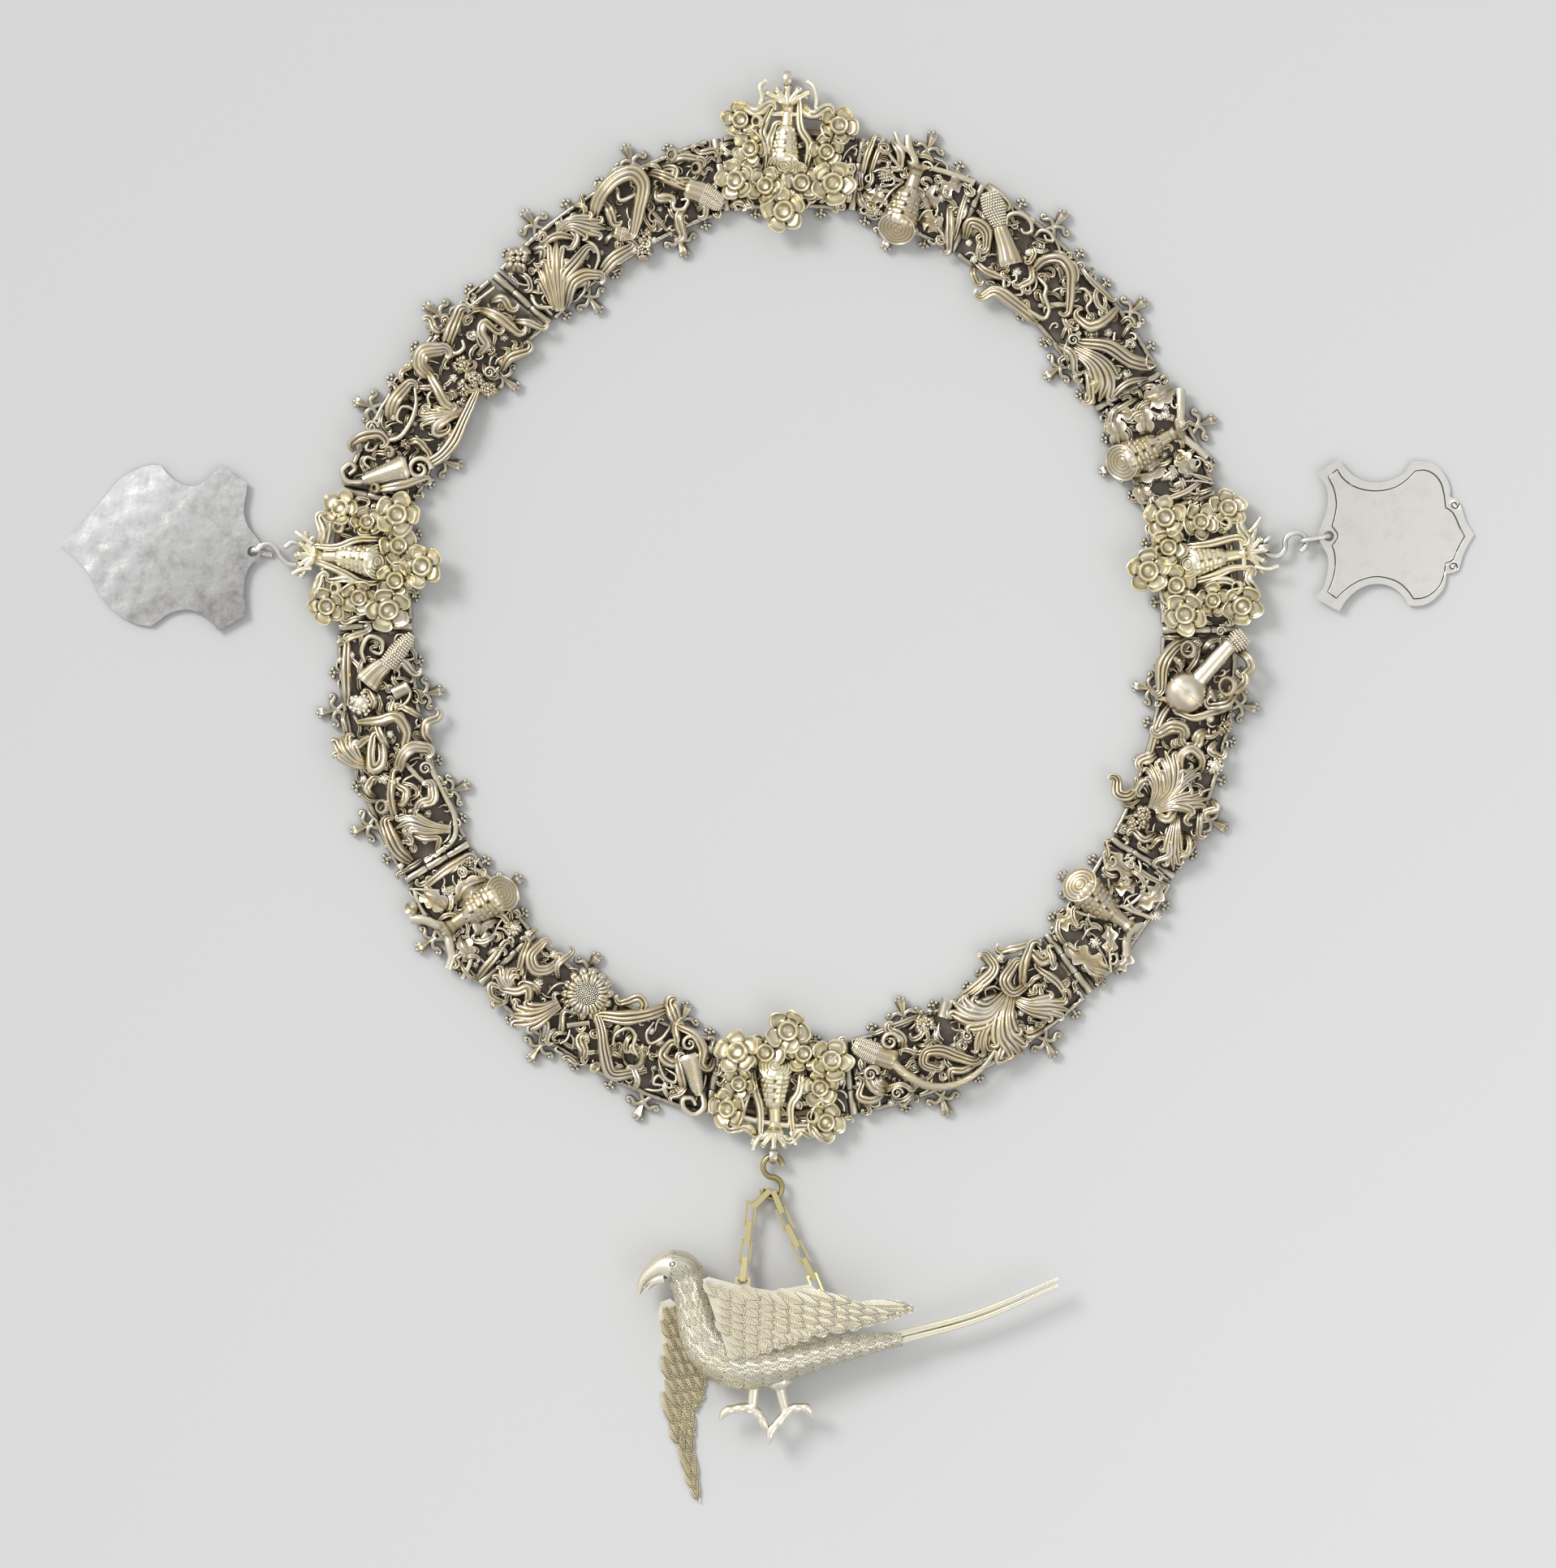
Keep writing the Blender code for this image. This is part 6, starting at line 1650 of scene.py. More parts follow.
    def stand(self, name: str, skin: Skin | Mesh, finishes: str, node: str, slot: str, crisp: float = 55.0) -> None:
        """Stand a finished piece in place of a node of the frame.

        Args:
            name: name of the piece.
            skin: its shape, as a skin or a mesh that is already made.
            finishes: keys of its finishes in the order of its numbers, with spaces between.
            node: node that it replaces.
            slot: the record's material slot; not used.
            crisp: edges of a skin sharper than this many degrees stay sharp.
        """
        mesh = skin.mesh(name, crisp) if isinstance(skin, Skin) else skin
        place_piece(name, mesh, [self.finish[key] for key in finishes.split()], [node])

    def close(self) -> None:
        """Remove the patterns once every piece is made."""
        for item in (self.large, self.small, self.granule, self.box_link):
            bpy.data.objects.remove(item, do_unlink=True)


@dataclass
class LinkPlace:
    """One link's place between its two hinges."""

    index: int
    name: str = ""
    start: np.ndarray = field(default_factory=lambda: np.zeros(2))
    end: np.ndarray = field(default_factory=lambda: np.zeros(2))
    angles: tuple[float, float] = (0.0, 0.0)

    def __post_init__(self) -> None:
        """Work out the ends from the table of hinges."""
        rows = [HINGES[(self.index + k) % len(HINGES)] for k in (0, 1)]
        ends = [np.array([RING_CENTRE[0] + r[1] * RING_HALF[0], RING_CENTRE[1] + r[2] * RING_HALF[1]])
                for r in rows]
        self.name = rows[0][0]
        self.start, self.end = ends
        first, last = math.radians(rows[0][3]), math.radians(rows[1][3])
        turn = (last - first + math.pi) % (TURN) - math.pi
        self.angles = (first, turn)
        run = self.end - self.start
        self.length = float(np.hypot(*run))
        self.bulge = self.length ** 2 / (8.0 * BAND_RADIUS)
        self.outward = np.array([-run[1], run[0]]) / self.length

    def across(self, s: float) -> np.ndarray:
        """Unit vector to the outer edge at a share along the link."""
        angle = self.angles[0] + self.angles[1] * s
        return np.array([math.cos(angle), math.sin(angle)])

    def at(self, s: float, t: float, z: float = 0.0) -> np.ndarray:
        """Point at a share along, a share across and a height.

        Args:
            s: share along the link.
            t: share across it, one at the outer edge.
            z: height over the ground.

        Returns:
            The point.
        """
        flat = self.start * (1.0 - s) + self.end * s + self.outward * (4.0 * self.bulge * s * (1.0 - s))
        flat = flat + self.across(s) * (t * BAND_HALF_WIDTH)
        return np.array([flat[0], flat[1], z])

    @property
    def title(self) -> str:
        """Plain name of the link in the frame."""
        return f"medallion_{self.name}" if self.name in ROSES else f"link_{self.name}"


@dataclass
class LinkPart:
    """One soldered part of a link, modelled in a skin of its own."""

    shop: Workshop
    link: LinkPlace
    skin: Skin = field(default_factory=Skin)

    def stand(self, kind: str, finishes: str, slot: str) -> None:
        """Stand the part in the scene in place of the frame's part of that kind."""
        self.shop.stand(f"{kind}_{self.link.name}", self.skin, finishes, f"{self.link.title}_{kind}", slot)


@dataclass
class Casting(LinkPart):
    """The cast ornament of one link: leaves, straps, stems, flowers and seed heads."""

    flute: float = 2.05 * MM
    station: float = 0.82 * MM
    spacing: float = 4.4 * MM
    thicket: float = 1.0
    curled: float = 0.45
    leaves: float = 0.52
    leaves_and_strips: float = 0.90
    granules: list[tuple[np.ndarray, float]] = field(default_factory=list)

    def build(self) -> None:
        """Model every row of the link's table, and its stump where it has one."""
        if self.link.name in STUMPS:
            self.add_stump()
        for row in chart_rows(self.link.name):
            self.add_row(row)
        self.add_undergrowth()
        self.add_granules()

    def add_undergrowth(self) -> None:
        """Model the tangle of small curls, leaves and buds between the large forms."""
        chance = np.random.default_rng(self.link.index + 40)
        along = self.spacing / self.link.length
        across = self.spacing / BAND_HALF_WIDTH
        for row, s in enumerate(np.arange(0.05, 0.96, along)):
            for t in np.arange(-0.86 + 0.5 * across * (row % 2), 0.90, across):
                s0 = s + chance.uniform(-0.35, 0.35) * along
                t0 = float(np.clip(t + chance.uniform(-0.3, 0.3) * across, -0.92, 0.92))
                angle = chance.uniform(0.0, TURN)
                way = 1.0 if chance.uniform() < 0.5 else -1.0
                reach = chance.uniform(3.6, 6.4) * MM
                bend = (0.0, 0.9, 2.2, 3.9, 5.6) if chance.uniform() < self.curled else (0.0, 0.35, 0.9, 1.5)
                places = []
                x = y = 0.0
                for turn in bend:
                    places.append((float(np.clip(s0 + x / self.link.length, 0.035, 0.965)),
                                   float(np.clip(t0 + y / BAND_HALF_WIDTH, -1.0, 1.0))))
                    step = reach * (0.55 if len(bend) == 4 else 0.42) * (1.0 - 0.1 * turn)
                    x += math.cos(angle + way * turn) * step
                    y += math.sin(angle + way * turn) * step
                height = chance.uniform(0.30, 0.68 * self.thicket) * FOLIAGE_HEIGHT
                kind = chance.uniform()
                if kind < self.leaves:
                    form, least, most = Form.LEAF, 2.0, 3.0
                elif kind < self.leaves_and_strips:
                    form, least, most = Form.STRIP, 1.1, 1.7
                else:
                    form, least, most = Form.BERRY, 2.0, 3.2
                self.add_row(Row(form, chance.uniform(least, most) * MM, height, places, row))

    def add_row(self, row: Row) -> None:
        """Model one row of ornament in the way of its form.

        Args:
            row: the row.
        """
        if row.form in (Form.LEAF, Form.FAN, Form.HOLLY, Form.OAK):
            self.add_leaf(row)
        elif row.form in (Form.STRIP, Form.CURL, Form.STEM, Form.TUBE, Form.SERPENT, Form.ROPE, Form.BAR):
            self.add_rod(row)
        elif row.form in BODY_PROFILES:
            self.add_body(row)
        elif row.form in (Form.RING, Form.HOOP):
            self.add_ring(row)
        else:
            self.add_head(row)

    def crest(self, row: Row, count: int, share: float = 1.0) -> np.ndarray:
        """Smooth middle line over the plate that rises and falls as its form does.

        Args:
            row: the row of ornament.
            count: number of stations.
            share: share of the row's height that it reaches.

        Returns:
            Points of the line.
        """
        line = run_along([self.link.at(s, t) for s, t in row.places], count)
        crest = CRESTS[row.form]
        rise = taper(count, np.linspace(0.0, 1.0, len(crest)), crest)
        rise = np.convolve(np.pad(rise, 2, mode="edge"), np.ones(5) / 5.0, mode="valid")
        line[:, 2] = GROUND + row.height * share * rise
        return line

    def stations_for(self, places: Places, step: float) -> int:
        """Number of stations that a run of places needs at a step length."""
        rough = np.array([self.link.at(s, t) for s, t in places])
        return int(np.clip(path_length(rough) / step, 8, 70))

    def add_leaf(self, row: Row) -> None:
        """Model a fluted strap, a fan leaf, or a holly or oak leaf.

        Args:
            row: its row of ornament.
        """
        half = 0.5 * row.width
        if row.form in (Form.HOLLY, Form.OAK):
            count = max(28, self.stations_for(row.places, 0.45 * MM))
            line = self.crest(row, count)
            shape = taper(count, [0, .12, .45, .8, 1], [.3, .8, 1, .85, .25])
            edge = Edge.SPINES if row.form is Form.HOLLY else Edge.LOBES
            add_blade(self.skin, line, half * 1.15 * shape, 2, 0.0, 0.9 * MM, edge)
            return
        count = self.stations_for(row.places, self.station)
        if row.form is Form.FAN:
            self.add_acanthus(self.crest(row, count), half)
            return
        flutes = max(2, round(row.width / self.flute))
        line = self.crest(row, count)
        line = self.curl_tip(line, min(half, 2.0 * MM), 1.0 if len(self.skin.faces) % 2 else -1.0)
        shape = taper(len(line), [0, .10, .5, .82, 1], [.55, .84, 1.0, .74, .24])
        add_blade(self.skin, line, half * shape, flutes, 0.30, 1.2 * MM, Edge.PLAIN, 0.32)

    def curl_tip(self, line: np.ndarray, radius: float, way: float) -> np.ndarray:
        """Middle line with a hooked end.

        Args:
            line: points of the middle line.
            radius: radius of the hook.
            way: one to hook left, minus one to hook right.

        Returns:
            The longer line.
        """
        ahead = unit(line[-1] - line[-2])
        ahead[2] = 0.0
        aside = left_of(ahead) * way
        turn = np.linspace(0.5, 2.7, 6)[:, None]
        hook = line[-1] + radius * (ahead * np.sin(turn) + aside * (1.0 - np.cos(turn)))
        hook[:, 2] += np.linspace(0.0, 0.5, 6) * MM
        return np.vstack([line, hook])

    def add_acanthus(self, line: np.ndarray, half: float) -> None:
        """Model a leaf of five pointed lobes that part along a middle rib.

        Args:
            line: the middle rib.
            half: half of its full width.
        """
        u = np.linspace(0.0, 1.0, len(line))
        side = left_along(line)
        for lobe, (reach, spread) in enumerate(LOBES):
            last = max(6, int(reach * len(line)))
            part = np.interp(np.linspace(0, last - 1, last), np.arange(len(line)), u)
            path = line[:last] + side[:last] * (spread * half * (0.22 + 0.95 * part ** 1.6))[:, None]
            path[:, 2] -= abs(spread) * 0.55 * MM * (0.4 + part)
            if spread:
                path = self.curl_tip(path, 1.25 * MM, math.copysign(1.0, spread))
            along = np.linspace(0.0, 1.0, len(path))
            shape = np.interp(along, [0, .3, .62, .85, 1], [.42, .62, 1.0, .72, .16])
            add_blade(self.skin, path, half * (.46 if lobe else .52) * shape, 2, 0.36, 1.1 * MM, Edge.PLAIN, 0.22)

    def add_rod(self, row: Row) -> None:
        """Model a strip on edge, a stem, a tube, a serpent, a rope or a bar.

        Args:
            row: its row of ornament.
        """
        radius = 0.5 * row.width
        count = self.stations_for(row.places, 0.7 * MM)
        u = np.linspace(0.0, 1.0, count)
        flat = row.form in (Form.STRIP, Form.CURL)
        line = self.crest(row, count, 0.72 if flat else 1.0)
        if flat:
            shape = np.interp(u, [0, .1, .7, 1], [.7, 1.0, .9, .6])
            sides = 12
            angle = circle(sides)
            grooves = -0.10 * np.abs(np.cos(2.0 * angle))[None, :].repeat(count, axis=0)
            add_tube(self.skin, line, radius * shape, sides, min(2.4, 0.5 * row.height / radius), wave=grooves)
        elif row.form is Form.STEM:
            line[:, 2] -= radius
            mesh = self.shop.barked(line, radius * 0.95, radius * 0.35, radius * 1.4, row.number, "gilt")
            self.skin.take(mesh)
        elif row.form is Form.ROPE:
            turns = np.arctan2(np.gradient(line[:, 1]), np.gradient(line[:, 0]))
            turn = np.column_stack([np.zeros(count), np.zeros(count), turns + 0.7])
            size = np.tile([radius * 1.25, radius * 0.6, radius], (count, 1))
            self.skin.take(self.shop.scattered(self.shop.granule, line, size, turn, 0.0, row.number, "gilt"))
        elif row.form is Form.SERPENT:
            line[:, 2] -= radius
            sides = 16
            scale = 0.10 * np.sin(u[:, None] * count * 1.1 + np.arange(sides)[None, :] * math.pi * 0.75)
            shape = np.interp(u, [0, .3, .8, 1], [.55, .8, 1.25, 1.5])
            add_tube(self.skin, line, radius * shape, sides, wave=scale)
        elif row.form is Form.BAR:
            add_tube(self.skin, line, radius, 8, 0.5, finish=1)
        else:
            line[:, 2] -= radius * 0.3
            shape = np.where(u > 0.93, 1.08, 1.0)
            add_tube(self.skin, line, radius * shape, 18, 0.8, finish=2)

    def add_body(self, row: Row) -> None:
        """Model a seed head, a fluted bud, a calyx, a horn flower, a facetted neck or an acorn.

        Args:
            row: its row of ornament.
        """
        stops, values = BODY_PROFILES[row.form]
        count = max(18, self.stations_for(row.places, 0.6 * MM))
        u = np.linspace(0.0, 1.0, count)
        radius = 0.5 * row.width
        line = run_along([self.link.at(s, t) for s, t in row.places], count)
        line[:, 2] = GROUND + row.height - radius * 0.8
        shape = radius * np.interp(u, stops, values)
        sides = 36
        angle = circle(sides)
        wave = np.zeros((count, sides))
        if row.form in (Form.SKIRT, Form.FLUTED):
            wave += 0.16 * (np.abs(np.cos(5.0 * angle)) - 0.5)[None, :]
        if row.form is Form.HEXAGON:
            sides = 6
            wave = np.zeros((count, sides))
        add_tube(self.skin, line, shape, sides, 0.8, wave=wave)
        if row.form in (Form.COB, Form.ACORN, Form.FLUTED):
            stop = 1.0 if row.form is Form.COB else 0.36
            start = 0.45 if row.form is Form.FLUTED else 0.0
            self.grain_body(line, shape, start, 1.0 if row.form is Form.FLUTED else stop,
                            0.62 * MM if row.form is Form.COB else 0.42 * MM)
        if row.form is Form.HORN:
            self.grain_body(line, shape, 0.1, 0.95, 0.20 * MM, 2.6)
            add_tube(self.skin, line[-4:-1], shape[-4:-1] * 1.06, 24, 0.8)

    def grain_body(self, line: np.ndarray, shape: np.ndarray, start: float, stop: float, size: float,
                   spread: float = 1.75) -> None:
        """Lay granules in staggered rows over the upper side of a body.

        Args:
            line: middle line of the body.
            shape: its radius at each station.
            start: share along where the rows start.
            stop: share along where they stop.
            size: radius of a granule.
            spread: distance between granules in radii.
        """
        side = left_along(line)
        length = path_length(line)
        rows = max(2, int(length * (stop - start) / (size * spread)))
        for row in range(rows):
            where = (start + (stop - start) * (row + 0.5) / rows) * (len(line) - 1)
            i = int(where)
            radius = float(np.interp(where, np.arange(len(line)), shape))
            centre = line[i] + (line[min(i + 1, len(line) - 1)] - line[i]) * (where - i)
            step = size * spread / radius
            for angle in np.arange(0.15 + 0.5 * step * (row % 2), math.pi - 0.1, step):
                point = centre + side[i] * math.cos(angle) * radius
                point[2] += math.sin(angle) * radius * 0.8
                self.granules.append((point, size))

    def add_ring(self, row: Row) -> None:
        """Model a scroll end seen from its end, or a hoop round an eye.

        Args:
            row: its row of ornament.
        """
        centre = self.link.at(*row.places[0], GROUND + row.height)
        radius = 0.5 * row.width
        angle = circle(28)
        if row.form is Form.HOOP:
            wire = 0.75 * MM if row.height > 0.6 * FOLIAGE_HEIGHT else 1.1 * MM
            around = np.column_stack([np.cos(angle) * radius, np.sin(angle) * radius * 1.15, 0.25 * radius
                                      * np.cos(angle + 0.6)])
            path = centre + around
            path[:, 2] -= wire
            grooves = 0.10 * np.cos(4.0 * circle(12))[None, :].repeat(28, axis=0)
            add_tube(self.skin, path, wire * (1.15 + 0.35 * np.cos(angle)), 12, 1.5, True, wave=grooves)
            return
        spiral = np.linspace(0.0, 2.6 * TURN / 2.0, 34)
        shrink = radius * np.linspace(1.0, 0.30, 34)
        path = centre + np.column_stack([np.cos(spiral) * shrink, np.sin(spiral) * shrink, np.zeros(34)])
        wire = np.linspace(0.30, 0.16, 34) * radius
        path[:, 2] -= wire * 1.6
        add_tube(self.skin, path, wire, 10, 1.9)
        add_ball(self.skin, centre - UP * (radius * 0.6), radius * 0.30)

    def add_head(self, row: Row) -> None:
        """Model a flower, a sunflower, a spiky blossom, a berry cluster, a knob or the great bulb.

        Args:
            row: its row of ornament.
        """
        centre = self.link.at(*row.places[0], GROUND)
        radius = 0.5 * row.width
        if row.form is Form.BERRY:
            self.add_berries(centre, radius, row.height, row.number)
        elif row.form is Form.KNOB:
            centre[2] += row.height - radius
            add_ball(self.skin, centre, radius)
        elif row.form is Form.BULB:
            self.add_bulb(centre, radius, row.height)
        elif row.form is Form.SUN:
            self.add_sunflower(centre, radius, row.height)
        else:
            petals = 6 if row.form is Form.FLOWER else 8
            self.add_blossom(centre, radius, row.height, petals, row.form is Form.SPIKY, row.number)

    def add_berries(self, centre: np.ndarray, radius: float, height: float, number: int) -> None:
        """Model a mound of small beads.

        Args:
            centre: its middle on the plate.
            radius: its radius.
            height: height of its top over the plate.
            number: its row, which varies small choices.
        """
        chance = np.random.default_rng(100 + number)
        size = max(0.45 * MM, radius * 0.24)
        for reach, angle in seed_places(26, radius):
            away = heading(angle + chance.uniform(-0.2, 0.2)) * reach
            rise = height - size - 0.45 * reach * (reach / radius)
            self.granules.append((centre + away + UP * rise, size * chance.uniform(0.85, 1.2)))
        add_ball(self.skin, centre + UP * (height - radius * 0.75), radius * 0.8)

    def add_bulb(self, centre: np.ndarray, radius: float, height: float) -> None:
        """Model the great smooth bulb with its beaded belt.

        Args:
            centre: its middle on the plate.
            radius: its radius.
            height: height of its top over the plate.
        """
        self.skin.loft(turned(centre, BULB_RADII * radius, BULB_HEIGHTS * height, 48))
        axis = unit(self.link.at(.215, -.02) - self.link.at(.055, .78))
        side = left_of(axis)
        for step in range(31):
            angle = math.pi * (0.10 + 0.80 * step / 30.0)
            reach = math.cos(angle) * radius * 0.97
            point = centre + side * reach + axis * radius * 0.02
            point[2] = GROUND + height * float(np.interp(abs(math.cos(angle)) * 0.97, BULB_RADII[:7], BULB_HEIGHTS[:7]))
            self.granules.append((point, 0.34 * MM))

    def add_sunflower(self, centre: np.ndarray, radius: float, height: float) -> None:
        """Model a sunflower with two rings of petals and a granulated dome.

        Args:
            centre: its middle on the plate.
            radius: its radius.
            height: height of its top over the plate.
        """
        for ring, (count, inner, outer, lift) in enumerate(SUN_RINGS):
            for step in range(count):
                away = heading(TURN * (step + 0.5 * ring) / count)
                path = run_along([centre + away * radius * r for r in (inner, 0.5 * (inner + outer), outer)], 9)
                path[:, 2] = GROUND + height * lift - np.linspace(0, 1, 9) ** 2 * 1.2 * MM
                shape = taper(9, [0, .3, .75, 1], [.55, .95, 1.0, .35])
                add_blade(self.skin, path, radius * 0.17 * shape, 2, 0.4, 0.8 * MM)
        dome = radius * 0.50
        for reach, angle in seed_places(150, dome):
            rise = height - 0.35 * dome * (reach / dome) ** 2
            self.granules.append((centre + heading(angle) * reach + UP * rise, 0.42 * MM))
        self.skin.loft(turned(centre, DOME_RADII * dome, DOME_HEIGHTS * height, 24))

    def add_blossom(self, centre: np.ndarray, radius: float, height: float, petals: int, pointed: bool,
                    number: int) -> None:
        """Model a blossom with curled or pointed petals round a knob.

        Args:
            centre: its middle on the plate.
            radius: its radius.
            height: height of its top over the plate.
            petals: petals in its outer ring.
            pointed: whether they end in points.
            number: its row, which varies small choices.
        """
        chance = np.random.default_rng(200 + number)
        for step in range(2 * petals - 2):
            inner = step >= petals
            angle = TURN * step / (petals - 2 if inner else petals) + chance.uniform(-0.25, 0.25) + number
            away = heading(angle)
            twist = left_of(away) * chance.uniform(-0.25, 0.25)
            reach = radius * chance.uniform(0.80, 1.15) * (0.62 if inner else 1.0)
            path = run_along([centre + away * reach * r + twist * reach * r * r for r in (.12, .6, 1.0)], 10)
            lift = (.80, 1.0, .80) if inner else (.60, .82, .50)
            path[:, 2] = GROUND + height * taper(10, [0, .5, 1], lift)
            tip = .10 if pointed else .62
            shape = taper(10, [0, .4, .8, 1], [.5, .95, .8 if pointed else 1.05, tip])
            add_blade(self.skin, path, reach * (0.34 if pointed else 0.44) * shape, 2, 0.4, 0.8 * MM,
                      Edge.PLAIN, 0.3)
        add_ball(self.skin, centre + UP * (height - radius * 0.18), radius * 0.24)

    def add_stump(self) -> None:
        """Model the lying tree stump: cut foot, barked skirt, smooth neck and branch stubs."""
        foot, waist, neck, girth = STUMPS[self.link.name]
        radius = TRUNK_RADIUS * girth
        base = PLATE_THICKNESS + 0.6 * MM
        count, sides, courses, bricks, skirt = 56, 48, 13.0, 7.0, 0.50
        u = np.linspace(0.0, 1.0, count)
        middle = (neck[0], 0.4 * waist[1] + 0.6 * neck[1])
        foot = tuple(0.88 * a + 0.12 * b for a, b in zip(foot, waist))
        line = run_along([self.link.at(*p) for p in (foot, waist, middle, neck)], count)
        size = np.interp(u, *TRUNK_GIRTH)
        line[:, 2] = base + radius * (0.35 + 0.62 * size)
        angle = circle(sides)
        bark = np.zeros((count, sides))
        rows = np.floor(u * courses)
        for i in range(count):
            if u[i] < skirt:
                brick = np.abs(np.sin(bricks * angle + (rows[i] % 2) * math.pi / 2.0))
                joint = 0.0 if (u[i] * courses) % 1.0 > 0.22 else -0.045
                bark[i] = 0.17 * np.minimum(brick, 0.40) / 0.40 - 0.13 + joint
            else:
                bark[i] = 0.02 * np.cos(3.0 * angle)
        add_tube(self.skin, line, radius * size, sides, 1.0, wave=bark)
        head = line[-1]
        out = np.append(self.link.across(neck[0]), 0.0)
        side = -left_of(out)
        if self.link.name in ROSES:
            for way in (-1.0, -0.5, 0.0, 0.5, 1.0):
                tip = head + out * (5.4 - abs(way) * 2.4) * MM + side * way * 8.4 * MM
                tip[2] += (0.8 - abs(way)) * MM
                path = run_along([head - out * 3.0 * MM, head + out * 0.4 * MM + side * way * 3.2 * MM, tip], 14)
                add_tube(self.skin, path, taper(14, [0, .5, .85, 1], [1.9, 1.35, 1.15, 1.35]) * MM, 14)
                face = unit(path[-1] - path[-3] + UP * (0.9 * MM))
                self.add_cut(tip, face, 1.55 * MM, 2)
        cut = unit((line[0] - line[3]) * np.array([1.0, 1.0, 0.0]))
        normal = unit(cut * 0.62 + UP * 0.78)
        self.add_cut(line[0] + cut * 0.50 * radius + UP * (0.32 * radius), normal, 1.16 * radius, 5)

    def add_cut(self, centre: np.ndarray, normal: np.ndarray, radius: float, rings: int) -> None:
        """Model the cut end of a trunk or branch, with growth rings.

        Args:
            centre: middle of the cut.
            normal: unit vector out of the cut.
            radius: its radius.
            rings: growth rings.
        """
        rows = [(.03, .10)]
        for ring in range(1, rings):
            share = ring / rings
            rows += [(share - .10, .02), (share, .22), (share + .05, .20)]
        rows += [(.90, .05), (.97, .30), (1.03, .20), (1.0, -.25), (.80, -.9), (.45, -1.5)]
        scale = min(1.6 * MM, radius * 0.5)
        self.skin.loft(turned(centre, [r * radius for r, _ in rows], [h * scale for _, h in rows], 36, normal))

    def add_granules(self) -> None:
        """Set all granules of the link at once through the node tree."""
        if not self.granules:
            return
        places = np.array([point for point, _ in self.granules])
        sizes = np.array([[size] * 3 for _, size in self.granules])
        turns = np.zeros_like(places)
        self.skin.take(self.shop.scattered(self.shop.granule, places, sizes, turns, 0.6, self.link.index, "gilt"))

    def dress(self) -> None:
        """Place the casting as a piece that stands for the frame's foliage."""
        self.stand("foliage", "gilt copper silver", "silver_gilt")


